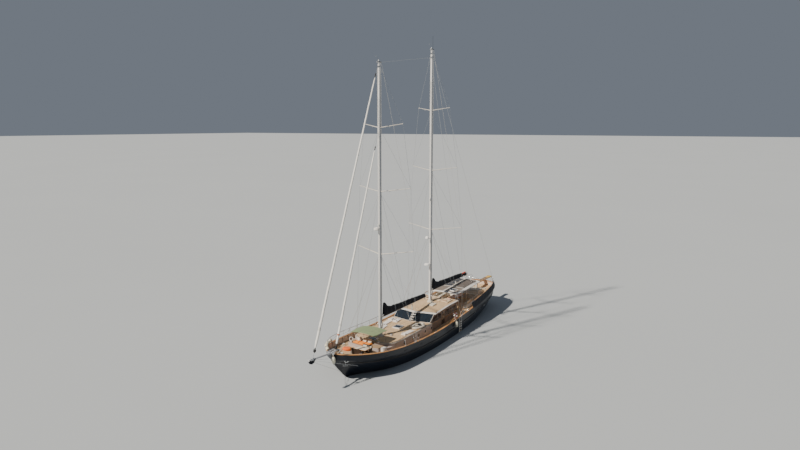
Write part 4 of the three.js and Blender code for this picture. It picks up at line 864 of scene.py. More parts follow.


# Taupe on the deckhouse, darkened as painted shade, and paler and greyer on the trunk and the bench, made
# paler as painted bounce light in their shade
house_paint = finish("shade_darkened_taupe_enamel", {"Specular IOR Level": 0.4},
                     house_enamel((0.160, 0.125, 0.110), (0.240, 0.195, 0.172), 0.34))
bounce_lit_trunk_paint = finish("bounce_lit_grey_pink_enamel", {"Specular IOR Level": 0.4},
                     house_enamel((0.355, 0.295, 0.275), (0.480, 0.415, 0.385), 0.36))
# White enamel, warm with age, with faint grey runs
white_paint = finish("white_enamel", {},
                     clouded(2.0, 5.0, (0.66, 0.63, 0.585), (0.80, 0.78, 0.745), (0.16, 0.26),
                             stretch=(1.4, 1.4, 0.3)))


STEPS = 8                           # from one corner of the line to the next


def rounded_outline(corners):
    """A smooth open line through corners, both ends square to the boat's middle line."""
    points = [Vector(corner) for corner in corners]
    points = [points[0] * 2 - points[1]] + points + [Vector((points[-2].x, -points[-2].y))]
    line = []
    for a, b, c, d in zip(points, points[1:], points[2:], points[3:]):
        for k in range(STEPS):
            t = k / STEPS
            line.append(((b * 2) + (c - a) * t + (a * 2 - b * 5 + c * 4 - d) * t ** 2
                         + (b * 3 - a - c * 3 + d) * t ** 3) / 2)
    line.append(points[-2])
    return line


TRUNK_LINE = rounded_outline(TRUNK_EDGE)


def trunk_ring(z, inset):
    """The trunk's outline at a height, drawn in by an inset."""
    port = []
    for k, p in enumerate(TRUNK_LINE):
        along = TRUNK_LINE[min(k + 1, len(TRUNK_LINE) - 1)] - TRUNK_LINE[max(k - 1, 0)]
        out = Vector((-along.y, along.x)).normalized()
        out = out if out.dot(Vector((p.x - 5.0, p.y))) > 0 else -out
        port.append((max(p.x - out.x * inset, TRUNK_AFT), max(p.y - out.y * inset, 0.0), z))
    return port + [(x, -y, z) for x, y, z in reversed(port[:-1])]


beige_paint = finish("beige_enamel", {}, clouded(2.4, 5.0, (0.36, 0.315, 0.262), (0.50, 0.445, 0.378),
                                                 (0.2, 0.42)))
SHOULDER = ((0.115, 0.036), (0.105, 0.022), (0.065, 0.022), (0.035, 0.034), (0.013, 0.055), (0.002, 0.085),
            (0.0, 0.12), (0.0, 0.4))
trunk = Form()
trunk.loft([trunk_ring(z, inset) for z, inset in ((1.15, 0.0), (TRUNK_TOP - 0.2, 0.032),
                                                  (TRUNK_TOP - 0.115, 0.036))], ends=False)
trunk.coat = 1
trunk.loft([trunk_ring(TRUNK_TOP - down, inset) for down, inset in SHOULDER])
trunk.piece("trunk_sides", [bounce_lit_trunk_paint, beige_paint], slot="house_paint", replaces=["cabin_trunk"],
            smooth=50)
trunk_teak = Form()
TEAK_PROUD = 0.008
trunk_teak.loft([trunk_ring(z, inset) for z, inset in ((TRUNK_TOP - 0.01, 0.17),
                                                       (TRUNK_TOP + TEAK_PROUD, 0.17),
                                                       (TRUNK_TOP + TEAK_PROUD, 0.5))])
trunk_teak.piece("trunk_teak", [laid_teak], slot="teak")


# Hatches on the trunk. Each has a white coaming with rounded corners, an aluminium frame hinged aft, and
# a smoked acrylic pane.
HATCHES = [("fore_hatch", "fore_hatch_lid", (10.25, 0.0), (0.38, 0.38), 0.07),
           ("skylight", "skylight_lid", (5.60, 0.15), (0.48, 0.43), 0.11)]


def hatch_lid(name, node):
    """A lid that is a framed pane, with two hinge straps aft and handles forward."""
    low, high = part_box(node)
    lid = Form()
    frame_wide = 0.055
    for x0, x1, y0, y1 in ((low.x + 0.03, high.x, low.y, low.y + frame_wide),
                           (low.x + 0.03, high.x, high.y - frame_wide, high.y),
                           (low.x + 0.03, low.x + 0.03 + frame_wide, low.y + 0.02, high.y - 0.02),
                           (high.x - frame_wide, high.x, low.y + 0.02, high.y - 0.02)):
        lid.block((x0, y0, low.z), (x1, y1, high.z), 0.014)
    for y in (low.y + 0.14, high.y - 0.14):
        lid.block((low.x, y - 0.03, low.z + 0.004), (low.x + 0.14, y + 0.03, high.z + 0.006), 0.006)
    for y in (-0.12, 0.12):
        lid.turned([(0, 0), (0.022, 0), (0.018, 0.012), (0, 0.016)],
                   (high.x - 0.11, (low.y + high.y) / 2 + y, high.z - 0.006))
    lid.coat = 1
    lid.block((low.x + 0.07, low.y + 0.04, low.z + 0.012), (high.x - 0.04, high.y - 0.04, high.z - 0.010),
              0.008)
    return lid.piece(name, [grey_paint, glass], body=node, slot="window_glass", replaces=[node])


coamings = Form()
for name, node, (x, y), (half_x, half_y), high in HATCHES:
    coamings.block((x - half_x, y - half_y, TRUNK_TOP - 0.02),
                   (x + half_x, y + half_y, TRUNK_TOP + high - 0.001), 0.012)
    hatch_lid(name + "_pane", node)
coamings.piece("hatch_coamings", [white_paint], slot="varnish")


# Trunk portholes in steel rings, varnished grab rails along the edge of its top, and mushroom ventilators
# in polished steel.
TRUNK_PORTS = (2.63, 3.95, 5.40, 6.60, 8.35)
TRUNK_PORT_Z = 1.86
trunk_ports = Form()


def trunk_side(x):
    """Half-breadth of the trunk's side at porthole height."""
    fore = next(k for k, point in enumerate(TRUNK_LINE) if point.x > x)
    a, b = TRUNK_LINE[fore - 1], TRUNK_LINE[fore]
    return a.y + (b.y - a.y) * (x - a.x) / (b.x - a.x) - 0.0215


for x in TRUNK_PORTS:
    porthole(trunk_ports, (x, trunk_side(x), TRUNK_PORT_Z), (0.011, 1.0, 0.03), 0.155)
trunk_ports.mirrored()
trunk_ports.piece("trunk_portholes", [stainless, side_glass], slot="steel")


RAIL_FEET = 0.75                    # from one foot of a hand rail to the next, or nearly
HAND_HIGH, HAND_RADIUS = 0.07, 0.022
rails = Form()
for side in (1, -1):
    for run in (((4.2, 2.46), (5.6, 2.45), (7.0, 2.44)), ((7.8, 2.43), (9.2, 2.41))):
        run = [Vector((x, side * y, TRUNK_TOP)) for x, y in run]
        rails.tube([point + Vector((0, 0, HAND_HIGH)) for point in run], HAND_RADIUS, 8)
        for a, b in zip(run, run[1:]):
            count = max(1, round((b - a).length / RAIL_FEET))
            for k in range(count + 1):
                rails.turned([(0, -0.01), (0.034, -0.01), (0.026, 0.02), (0.018, HAND_HIGH),
                              (0, HAND_HIGH)],
                             a.lerp(b, k / count), (0, 0, 1), 10)
rails.piece("trunk_grab_rails", [varnished], slot="varnish")
VENTS = [(8.25, 0.95), (8.25, -0.95), (10.9, 1.05), (10.9, -1.05), (3.6, -1.75)]
vents = Form()
for x, y in VENTS:
    vents.turned([(0, 0), (0.13, 0), (0.12, 0.02), (0.06, 0.03), (0.055, 0.10), (0.13, 0.105),
                  (0.135, 0.125),
                  (0.11, 0.16), (0.06, 0.18), (0, 0.185)], (x, y, TRUNK_TOP + TEAK_PROUD), (0, 0, 1), 24)
vents.piece("mushroom_ventilators", [stainless], slot="steel")


# The deckhouse roof. A cambered laminate whose fore edge is a shallow V, with a white fascia and brow, laid
# with pale teak on top and lined white below.
ROOF_FRONT = (2.10, 3.08)           # x and height at the middle of the fore edge
ROOF_AFT = (-4.46, 3.33)
ROOF_SWEEP = 0.276                  # aft, for each unit out
ROOF_HALF = 2.46
ROOF_CAMBER = 0.11
ROOF_THICK = 0.07


def roof_base(x):
    return ROOF_FRONT[1] + (ROOF_AFT[1] - ROOF_FRONT[1]) * min(1.0, (ROOF_FRONT[0] - x) / 4.2)


def roof_top(x, y):
    return roof_base(x) + ROOF_CAMBER * (1 - (y / ROOF_HALF) ** 2)


def roof_sheet(form, front_in, side_in, aft_in, top, bottom, edge=0.0):
    """A cambered slab that keeps its distances from the roof's edges."""
    half = ROOF_HALF - side_in
    rings = []
    for k in range(19):
        y = half * (1 - 2 * k / 18)
        front = ROOF_FRONT[0] - ROOF_SWEEP * abs(y) - front_in
        aft = ROOF_AFT[0] + aft_in
        xs = [front + (aft - front) * i / 16 for i in range(17)]
        upper = [(x, y, roof_top(x, y) + top - (edge if i in (0, 16) or k in (0, 18) else 0))
                 for i, x in enumerate(xs)]
        lower = [(x, y, roof_top(x, y) + bottom) for x in reversed(xs)]
        rings.append(upper + lower)
    form.loft(rings)


roof = Form()
roof_sheet(roof, 0.0, 0.0, 0.0, 0.004, -ROOF_THICK, 0.022)
roof.piece("roof_shell", [white_paint], slot="house_paint", replaces=["wheelhouse_roof"])
roof_teak = Form()
roof_sheet(roof_teak, 0.34, 0.17, 0.14, 0.014, -0.01)
roof_teak.piece("roof_teak", [laid_teak], slot="teak")


# The deckhouse walls. Taupe panels, darkened as painted shade, with rounded window frames, and a varnished
# grab rail and beading under the roof. The panes are tinted and bonded from inside.
for node in ("wheelhouse_side_port", "wheelhouse_side_starboard", "wheelhouse_aft", "wheelhouse_front"):
    dressed(node, [house_paint])
for node in ("window_glass_port", "window_glass_starboard"):
    dressed(node, [glass])
HOUSE_HALF = 2.36
WINDOW_LOW, WINDOW_HIGH = 2.26, 2.93
# fore edge at the head and at the foot, then the after edge
SIDE_WINDOWS = ((1.56, 2.10, 0.70), (0.58, 0.58, -0.18), (-1.23, -1.23, -2.15), (-2.28, -2.28, -3.15),
                (-3.28, -3.28, -4.12))


def round_cornered(corners, radius, tall=1.0):
    """A four-sided outline with rounded corners. The first corner is at the high end of both directions."""
    outline = []
    for turn, (across, up) in enumerate(corners):
        across += -radius if turn in (0, 3) else radius
        up += -radius * tall if turn in (0, 1) else radius * tall
        for k in range(5):
            a = math.pi / 2 * (turn + k / 4)
            outline.append((across + radius * math.cos(a), up + radius * tall * math.sin(a)))
    return outline


window_frames = Form()
house_glass = Form()
for x1, x1_low, x0 in SIDE_WINDOWS:
    corners = ((x1, WINDOW_HIGH), (x0, WINDOW_HIGH), (x0, WINDOW_LOW), (x1_low, WINDOW_LOW))
    outline = [Vector((x, HOUSE_HALF + 0.004, z)) for x, z in round_cornered(corners, 0.07)]
    window_frames.tube(outline, 0.022, 6, looped=True)
    house_glass.loft([[(x, HOUSE_HALF + y, z) for x, _, z in outline] for y in (-0.004, 0.006)])
window_frames.mirrored()
house_glass.mirrored()
window_frames.piece("side_window_frames", [house_paint], slot="house_paint")
house_glass.piece("side_window_panes", [side_glass], slot="window_glass")
house_trim = Form()
for side in (1, -1):
    y = side * (HOUSE_HALF + 0.015)
    for x0, x1, low, high, thick in ((-4.28, 1.75, 2.985, 3.02, 0.012), (-4.28, -1.16, 2.115, 2.15, 0.014),
                                     (-0.24, 2.38, 2.115, 2.15, 0.014)):
        house_trim.block((x0, y - thick, low), (x1, y + thick, high), 0.01)
    rail = [(x, side * (HOUSE_HALF + 0.07), 2.06) for x in (-4.1, -2.9, -1.3)]
    house_trim.tube(rail, 0.019, 8)
    for x, y, z in rail:
        house_trim.block((x - 0.02, min(y, side * HOUSE_HALF) - 0.004, z - 0.02),
                         (x + 0.02, max(y, side * HOUSE_HALF) + 0.004, z + 0.02), 0.006)
house_trim.piece("house_beading", [varnished], slot="varnish")


# The windscreen. Two raked panes bonded to the face of the frame, edged in white, with a slim post at each
# end, a wiper on each, and three treads at the middle that lead from the trunk to the roof.
SCREEN_FOOT = (Vector((2.96, 0, TRUNK_TOP + 0.01)), Vector((2.44, HOUSE_HALF, TRUNK_TOP + 0.01)))
SCREEN_HEAD = (Vector((1.98, 0, 3.18)), Vector((1.40, HOUSE_HALF, 3.18)))
screen_edges = (SCREEN_FOOT[1] - SCREEN_FOOT[0], SCREEN_HEAD[0] - SCREEN_FOOT[0])
SCREEN_CORNER = 0.02                # of a pane's width
SCREEN_OUT = screen_edges[0].cross(screen_edges[1]).normalized()


def on_screen(across, up, proud=0.0):
    """A point of the port screen: 0 to 1 from the middle out, and 0 to 1 from foot to head."""
    low = SCREEN_FOOT[0].lerp(SCREEN_FOOT[1], across)
    return low.lerp(SCREEN_HEAD[0].lerp(SCREEN_HEAD[1], across), up) + SCREEN_OUT * proud


def screen_panel(form, across, up, low, high):
    """A pane with rounded corners, as thick as from low to high off the frame's face."""
    corners = ((across[1], up[1]), (across[0], up[1]), (across[0], up[0]), (across[1], up[0]))
    form.loft([[on_screen(a, u, proud) for a, u in round_cornered(corners, SCREEN_CORNER, 2.4)]
               for proud in (low, high)])


screen_trim = Form()
screen_panel(screen_trim, (0.025, 0.998), (0.010, 0.93), 0.002, 0.010)
for across in (0.035, 0.992):
    screen_trim.tube([on_screen(across, 0.015, 0.020), on_screen(across, 0.92, 0.020)], 0.018, 8)
screen_trim.mirrored()
screen_trim.piece("windscreen_edging", [white_paint], slot="white_paint")
screen_glass = Form()
screen_panel(screen_glass, (0.045, 0.980), (0.030, 0.915), 0.004, 0.018)
screen_glass.mirrored()
screen_glass.piece("windscreen_panes", [glass], slot="window_glass")
wipers = Form()
for start_at, tip in ((0.30, 0.52), (0.62, 0.84)):
    wipers.tube([on_screen(start_at, 0.09, 0.02), on_screen(start_at, 0.09, 0.05),
                 on_screen(tip, 0.50, 0.045)], 0.008, 6)
    wipers.tube([on_screen(tip - 0.02, 0.22, 0.030), on_screen(tip + 0.02, 0.74, 0.030)], 0.010, 6)
wipers.mirrored()
wipers.piece("windscreen_wipers", [black_rubber])
TREADS = ((0.14, 0.30), (0.40, 0.30), (0.66, 0.30))
treads = Form()
lean = Matrix.Rotation(math.radians(-13), 3, "Z")
for up, long in TREADS:
    at = on_screen(0.075, up, 0.11)
    treads.block((at.x - 0.12, at.y - 0.17, at.z - 0.02), (at.x + 0.10, at.y + 0.23, at.z + 0.02), 0.015,
                 lean)
for across in (0.0, 0.155):
    treads.coat = 1
    treads.tube([on_screen(across, 0.02, 0.05), on_screen(across, 0.5, 0.075),
                 on_screen(across, 0.82, 0.06)], 0.016, 8)
treads.piece("windscreen_steps", [white_paint, stainless], slot="white_paint")
brow = Form()
for side in (1, -1):
    line = [(ROOF_FRONT[0] - ROOF_SWEEP * abs(y) - 0.015, y,
             roof_top(ROOF_FRONT[0] - ROOF_SWEEP * abs(y), y) - 0.02)
            for y in [side * ROOF_HALF * k / 12 for k in range(13)]]
    brow.tube(line, 0.035, 8)
brow.piece("roof_brow", [white_paint], slot="white_paint")


# Doors. Stained and varnished leaves, darkened further as painted shade under the roof, with a deep tinted
# light, a second one under it in the side doors, and a lever on a plate.
DOORS = (("door_port", 1, "y"), ("door_starboard", -1, "y"), ("aft_door", 0, "x"))
# The same varnish over stained wood, darkened further as painted shade of the roof
shade_darkened_wood = finish("shade_darkened_wood", {"Coat Weight": 0.5, "Coat Roughness": 0.12},
                      clouded(3.0, 6.0, (0.030, 0.013, 0.007), (0.090, 0.036, 0.015), (0.15, 0.2), 0.0008,
                              (12.0, 12.0, 0.8)))
for node, side, axis in DOORS:
    dressed(node, [shade_darkened_wood], edge=0.004)
    low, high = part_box(node)
    fittings = Form()
    if axis == "y":
        face = high.y - 0.028 if side > 0 else low.y + 0.028
        x0, x1 = low.x + 0.12, high.x - 0.17
        fittings.coat = 1
        fittings.block((x0, face - 0.006, low.z + 0.93), (x1, face + 0.006, high.z - 0.15), 0.01)
        fittings.block((x0, face + side * 0.004 - 0.006, low.z + 0.16),
                       (x1, face + side * 0.004 + 0.006, low.z + 0.80), 0.01)
        fittings.coat = 0
        fittings.block((low.x + 0.03, face - 0.005, low.z + 0.86),
                       (low.x + 0.075, face + 0.005, low.z + 1.06), 0.006)
        fittings.tube([(low.x + 0.05, face, low.z + 0.96), (low.x + 0.05, face + side * 0.05, low.z + 0.96),
                       (low.x + 0.17, face + side * 0.05, low.z + 0.96)], 0.009, 8)
    else:
        face = low.x + 0.025
        fittings.coat = 1
        fittings.block((face - 0.004, low.y + 0.13, low.z + 0.87),
                       (face + 0.014, high.y - 0.13, high.z - 0.16), 0.01)
        fittings.coat = 0
        fittings.block((face - 0.008, low.y + 0.03, low.z + 0.86),
                       (face + 0.006, low.y + 0.075, low.z + 1.06), 0.006)
        fittings.tube([(face, low.y + 0.05, low.z + 0.96), (face - 0.05, low.y + 0.05, low.z + 0.96),
                       (face - 0.05, low.y + 0.17, low.z + 0.96)], 0.009, 8)
    fittings.piece(node + "_light_and_lever", [stainless, glass], body=node, slot="window_glass")


# The masts. Drawn aluminium sections painted white, their sides painted grey as shade, with cream
# spreaders, black cranes, a sail track up the after face, winches at the foot, and lights, wind gear and a
# white radar dome aloft.
# Beyond the second of these widths the mast's sides are painted grey as shade.
SPREADER_OUT, MAST_SHADE_SIDE = 0.17, 0.105           # beyond these the enamel is cream, and grey
CRANE_FORE, CRANE_MAIN = 30.085, 32.335         # heights that the cranes start at


def spar_enamel_and_painted_shade(start):
    """White enamel with its sides painted grey as shade, cream on the spreaders and black on the cranes."""
    place = start.place()
    run = place.stretched(1.2, 1.2, 0.06).cloud(1.3, 4.0)
    out = start.math("ABSOLUTE", place.part("Y"))
    arm = out > SPREADER_OUT
    between = (place.part("X") > -1.55) * (place.part("X") < 0.5)
    face = run.mix((0.80, 0.79, 0.77), (0.92, 0.91, 0.89))
    # The grey on both sides is painted shade.
    sides = (out > MAST_SHADE_SIDE).mix(face, (0.42, 0.43, 0.45))
    spar = between.mix(arm.mix(sides, (0.74, 0.70, 0.62)), (0.80, 0.80, 0.79))
    crane = (place.part("Z") > CRANE_FORE) * (place.part("X") > 5.0) + (place.part("Z") > CRANE_MAIN)
    return {"Base Color": crane.mix(spar, (0.030, 0.034, 0.040)), "Roughness": run * 0.15 + 0.28}


mast_paint = finish("spar_enamel_and_painted_shade", {}, spar_enamel_and_painted_shade)
for node in ("mast_fore", "mast_main"):
    dressed(node, [mast_paint])
MASTS = {"fore": (8.9, 30.1, TRUNK_TOP, 4.35),
         "main": (-1.9, 32.35, 3.43, 4.78)}   # x, top, foot, gooseneck
MAST_LONG, MAST_WIDE = 0.21, 0.14
SPREADERS = {"fore": ((11.01, 3.36, 0.44), (17.42, 3.04, 0.40), (23.78, 2.27, 0.39)),
             "main": ((12.06, 3.46, 0.38), (18.90, 2.84, 0.40), (25.67, 1.96, 0.31))}
SPREADER_SWEEP = 0.3
mast_gear = Form()
for name, (x, top, foot, boom_z) in MASTS.items():
    for side in (1, -1):
        mast_gear.coat = 0
        for z in (foot + 0.75, foot + 1.25):
            mast_gear.turned([(0, 0), (0.085, 0), (0.085, 0.03), (0.055, 0.05), (0.052, 0.11),
                              (0.075, 0.15), (0.075, 0.17),
                              (0.03, 0.18), (0, 0.18)], (x + 0.02, side * (MAST_WIDE - 0.01), z),
                             (0, side, 0.0), 18)
        for k in range(4):
            z = foot + 1.7 + 0.11 * k
            mast_gear.block((x - 0.10 + 0.05 * (k % 2), side * MAST_WIDE - 0.02, z),
                            (x + 0.06 + 0.05 * (k % 2), side * MAST_WIDE + 0.05, z + 0.035), 0.01)
    mast_gear.coat = 1
    mast_gear.block((x - MAST_LONG - 0.028, -0.022, boom_z + 0.3), (x - MAST_LONG + 0.01, 0.022, top - 0.5),
                    0.004, segments=1)
    mast_gear.coat = 0
    mast_gear.turned([(0, 0), (0.30, 0), (0.30, 0.012), (0.27, 0.02), (0.27, 0.05), (0, 0.05)],
                     (x, 0, foot - 0.005), (0, 0, 1), 28)
mast_gear.piece("mast_winches_and_track", [stainless, grey_paint], slot="steel")
mast_boots = Form()
for name, (x, top, foot, boom_z) in MASTS.items():
    rings = []
    for z, grow in ((foot, 0.20), (foot + 0.05, 0.17), (foot + 0.22, 0.05), (foot + 0.30, 0.02),
                    (foot + 0.34, 0.012)):
        ring = []
        for a in around(24):
            c, s = math.cos(a), math.sin(a)
            reach = (abs(c) ** 3 + abs(s) ** 3) ** (-1 / 3)
            ring.append((x + c * reach * (MAST_LONG + grow), s * reach * (MAST_WIDE + grow), z))
        rings.append(ring)
    mast_boots.loft(rings)


# Cream acrylic cloth, greyer where hands and feet rub it
cream_cloth = finish("cream_cloth", {"Sheen Weight": 0.15},
                     woven(UPRIGHT, 240.0, 1.6, (0.50, 0.45, 0.365), (0.68, 0.64, 0.55), 0.84, (0.5, 0.6),
                           0.004))
made = mast_boots.piece("mast_boots", [cream_cloth], slot="cream_cloth")
aloft = Form()
for name, (x, top, foot, boom_z) in MASTS.items():
    aloft.coat = 0
    for root, span, rise in SPREADERS[name]:
        for side in (1, -1):
            aloft.turned([(0, -0.06), (0.035, -0.05), (0.042, 0), (0.035, 0.05), (0, 0.06)],
                         (x - SPREADER_SWEEP * span, side * (span - 0.01), root + rise), (0, 0, 1), 12)
            aloft.turned([(0, 0), (0.045, 0.01), (0.05, 0.05), (0.02, 0.07), (0, 0.07)],
                         (x - SPREADER_SWEEP * 1.0, side * 1.0, root + rise / span - 0.11), (0, 0, 1), 12)
    aloft.coat = 1
    aloft.block((x - 0.36, -0.055, top + 0.07), (x + 0.36, 0.055, top + 0.10), 0.01)
    for end in (-0.33, 0.33):
        aloft.turned([(0, -0.05), (0.075, -0.05), (0.055, 0), (0.075, 0.05), (0, 0.05)],
                     (x + end, 0, top + 0.02), (0, 1, 0), 16)
    aloft.coat = 2
    aloft.turned([(0, 0), (0.05, 0), (0.05, 0.10), (0.03, 0.13), (0, 0.14)], (x + 0.12, 0, top + 0.10),
                 (0, 0, 1), 14)
    aloft.coat = 1
    aloft.tube([(x + 0.30, 0, top + 0.09), (x + 0.30, 0, top + 0.42), (x + 0.62, 0, top + 0.50)], 0.009, 6)
    for a in around(3):
        hub = Vector((x + 0.62, 0, top + 0.56))
        cup = hub + Vector((0.07 * math.cos(a), 0.07 * math.sin(a), 0))
        aloft.tube([hub, cup], 0.004, 5)
        aloft.turned([(0, 0), (0.022, 0.004), (0.026, 0.02), (0, 0.024)], cup,
                     (-math.sin(a), math.cos(a), 0), 10)
    light_z = foot + (top - foot) * 0.42
    aloft.coat = 0
    aloft.block((x + MAST_LONG - 0.02, -0.06, light_z), (x + MAST_LONG + 0.14, 0.06, light_z + 0.14), 0.02)
    aloft.coat = 2
    aloft.block((x + MAST_LONG + 0.03, -0.045, light_z - 0.05),
                (x + MAST_LONG + 0.13, 0.045, light_z + 0.002), 0.02)
aloft.coat = 0
RADAR_Z = 13.61
fore_face = MASTS["fore"][0] + MAST_LONG
aloft.block((fore_face - 0.02, -0.10, RADAR_Z - 0.06), (fore_face + 0.55, 0.10, RADAR_Z), 0.02)
aloft.turned([(0, 0), (0.30, 0.01), (0.31, 0.10), (0.29, 0.20), (0.16, 0.26), (0, 0.27)],
             (fore_face + 0.40, 0, RADAR_Z), (0, 0, 1), 28)


lamp_glass = finish("lamp_plastic", {"Coat Weight": 0.5},
                    clouded(5.0, 2.0, (0.60, 0.63, 0.62), (0.78, 0.80, 0.79), (0.1, 0.1)))
aloft.piece("masthead_and_spreader_gear", [white_paint, stainless, lamp_glass], slot="white_paint")


# Standing rigging. Stainless rod shrouds run over the spreaders to plates on the rail, with lower shrouds
# and diagonals beside them, each on a bottle screw with a fork at both ends. Halyards lie beside the
# masts.
for node in ("shrouds_fore", "shrouds_main", "stays"):
    dressed(node, [stainless], smooth=65)
WIRE = 0.011
PLATE_AT = 0.07                     # outboard of the deck's edge


def bottle_screw(form, foot, head):
    """A turnbuckle on the foot of a wire: a body between two threaded ends, with a fork."""
    along = (Vector(head) - Vector(foot)).normalized()
    form.turned([(0, -0.02), (0.026, -0.02), (0.026, 0.07), (0.013, 0.08), (0.013, 0.16), (0.028, 0.17),
                 (0.028, 0.44),
                 (0.013, 0.45), (0.013, 0.52), (0.018, 0.53), (0.018, 0.66), (0, 0.67)], foot, along, 12)


rigging = Form()
for name, (x, top, foot, boom_z) in MASTS.items():
    tips = [Vector((x - SPREADER_SWEEP * span, span, root + rise)) for root, span, rise in SPREADERS[name]]
    roots = [Vector((x - 0.04, MAST_WIDE - 0.01, root)) for root, _, _ in SPREADERS[name]]
    cap_x = x - 1.05
    cap_foot = Vector((cap_x, deck_half(cap_x) + PLATE_AT, rail_top(cap_x) + 0.10))
    bottle_screw(rigging, cap_foot, tips[0])
    for place_x, head in ((x - 0.72, roots[1] + Vector((0, 0, -0.25))),
                          (x - 1.62, roots[0] + Vector((0, 0, -0.22))),
                          (x + 0.85, roots[0] + Vector((0.06, 0, -0.15)))):
        at = Vector((place_x, deck_half(place_x) + PLATE_AT, rail_top(place_x) + 0.10))
        rigging.block((at.x - 0.045, at.y - 0.016, at.z - 0.18), (at.x + 0.045, at.y + 0.016, at.z + 0.03),
                      0.01)
        rigging.tube([at, head], WIRE, 6)
        bottle_screw(rigging, at, head)
    for low, high in ((tips[0], roots[1]), (tips[1], roots[2])):
        rigging.tube([low + Vector((0, 0.02, 0)), high + Vector((0, 0, -0.25))], WIRE * 0.8, 6)
rigging.mirrored()
rigging.piece("lower_and_diagonal_shrouds", [stainless], slot="steel", smooth=65)


def laid_rope(start):
    """Polyester rope, grey white, its strands shown by a fine slanting pattern."""
    place = start.place()
    strands = start.node("TexWave", {"bands_direction": "DIAGONAL"},
                         {"Vector": place, "Scale": 30.0, "Distortion": 0.5})
    dirt = place.cloud(2.0, 4.0)
    return {"Base Color": (dirt * 0.7 + strands * 0.3).mix((0.42, 0.41, 0.38), (0.72, 0.71, 0.67)),
            "Roughness": dirt * 0.1 + 0.8, "Normal": strands.raised(0.002)}


rope = finish("laid_rope", {}, laid_rope)
halyards = Form()
for name, (x, top, foot, boom_z) in MASTS.items():
    for k, (dx, side, high) in enumerate(((0.27, 0.05, 0.03), (0.27, -0.05, -0.6), (0.26, 0.0, -3.4),
                                          (-0.02, 1.0, -0.5))):
        if side == 1.0:
            for hand in (1, -1):
                halyards.tube([(x + dx, hand * 0.19, foot + 1.31), (x + dx, hand * 0.19, top + high)],
                              0.009, 6)
        else:
            halyards.tube([(x + dx, side, foot + 0.9 + 0.3 * k), (x + dx, side, top + high)], 0.009, 6)
    for side, low in ((1, 1.15), (-1, 1.25)):
        for turn in range(5):
            halyards.tube([(x - 0.02 + (0.085 + 0.012 * turn) * math.sin(a), side * (0.185 + 0.012 * turn),
                            foot + low + (0.24 + 0.01 * turn) * math.cos(a))
                           for a in around(20)], 0.011, 6, looped=True)
halyards.piece("halyards_and_coils", [rope])


# Headsails. Each is rolled round its stay in a long spiral, white sailcloth with the edge of the leech
# showing as a step, lashed with its sheets near the foot, on a black drum and under a black swivel.
def sail_dacron(start):
    """White polyester sailcloth with a crisp weave, greyed and streaked by weather."""
    place = start.place()
    streak = place.stretched(2.0, 2.0, 0.12).cloud(1.6, 4.0)
    crease = place.stretched(1.0, 1.0, 0.5).cloud(9.0, 4.0)
    return {"Base Color": streak.mix((0.70, 0.68, 0.63), (0.86, 0.85, 0.82)),
            "Roughness": crease * 0.15 + 0.6, "Normal": (crease + streak * 0.5).raised(0.010)}


sailcloth = finish("sail_dacron", {"Sheen Weight": 0.05}, sail_dacron)


black_metal = finish("black_anodised", {"Metallic": 0.3},
                     clouded(14.0, 4.0, (0.010, 0.010, 0.011), (0.030, 0.030, 0.032), (0.2, 0.38)))
# node, foot and head of its stay, where on the stay the roll starts and ends, radius at the foot and the
# head, number of wraps, and where the drum stands
HEADSAILS = (("furled_genoa", Vector((20.0, 0, 3.42)), Vector((9.08, 0, 30.04)), 0.034, 0.945, 0.118, 0.058,
              16, 0.018),
             ("furled_jib", Vector((16.75, 0, 3.0)), Vector((9.05, 0, 23.6)), 0.060, 0.900, 0.112, 0.055,
              13, 0.012))
for node, foot, head, low, high, thick, thin, wraps, drum in HEADSAILS:
    along = (head - foot).normalized()
    across = Vector((0, 1, 0))
    over = along.cross(across)
    roll = Form()
    rings = []
    steps = wraps * 18
    for k in range(steps + 1):
        t = k / steps
        centre = foot.lerp(head, low + (high - low) * t)
        full = min(1.0, t * 26 + 0.55, (1 - t) * 40 + 0.45)
        radius = (thin + (thick - thin) * (1 - t) ** 0.65) * full
        ring = []
        for i in range(24):
            a = 2 * math.pi * i / 24
            lap = (a / (2 * math.pi) + t * wraps) % 1.0
            swell = 1 + 0.13 * (lap - 0.5) + 0.03 * math.sin(5 * a + 37 * t)
            ring.append(centre + (across * math.cos(a) + over * math.sin(a)) * radius * swell)
        rings.append(ring)
    roll.loft(rings)
    made = roll.piece(node + "_roll", [sailcloth], slot="sailcloth", smooth=50, replaces=[node])
    gear = Form()
    gear.tube([foot, foot.lerp(head, low + 0.002)], 0.012, 8)
    gear.tube([foot.lerp(head, high - 0.002), head], 0.011, 8)
    drum_at = foot.lerp(head, drum)
    gear.coat = 1
    gear.turned([(0, 0), (0.055, 0), (0.06, 0.06), (0.135, 0.08), (0.135, 0.10), (0.09, 0.12),
                 (0.085, 0.24), (0.135, 0.27),
                 (0.135, 0.29), (0.06, 0.31), (0.045, 0.42), (0.02, 0.46), (0, 0.47)], drum_at, along, 24)
    for a in around(6):
        out = (across * math.cos(a) + over * math.sin(a)) * 0.125
        gear.tube([drum_at + along * 0.09 + out, drum_at + along * 0.28 + out], 0.010, 6)
    swivel_at = foot.lerp(head, high + 0.003)
    gear.turned([(0, 0), (0.035, 0.01), (0.055, 0.05), (0.055, 0.16), (0.040, 0.18), (0.040, 0.24),
                 (0.055, 0.26), (0.055, 0.34), (0.02, 0.40), (0, 0.41)], swivel_at, along, 18)
    gear.piece(node + "_gear", [stainless, black_metal], slot="steel")
    lashing = Form()
    wound = []
    for k in range(85):
        a = 2 * math.pi * k / 17
        t = low + 0.052 + 0.011 * k / 85
        wound.append(foot.lerp(head, t) + (across * math.cos(a) + over * math.sin(a)) * thick * 1.11)
    lashing.tube(wound, 0.011, 6)
    lashing.piece(node + "_sheet_turns", [rope])


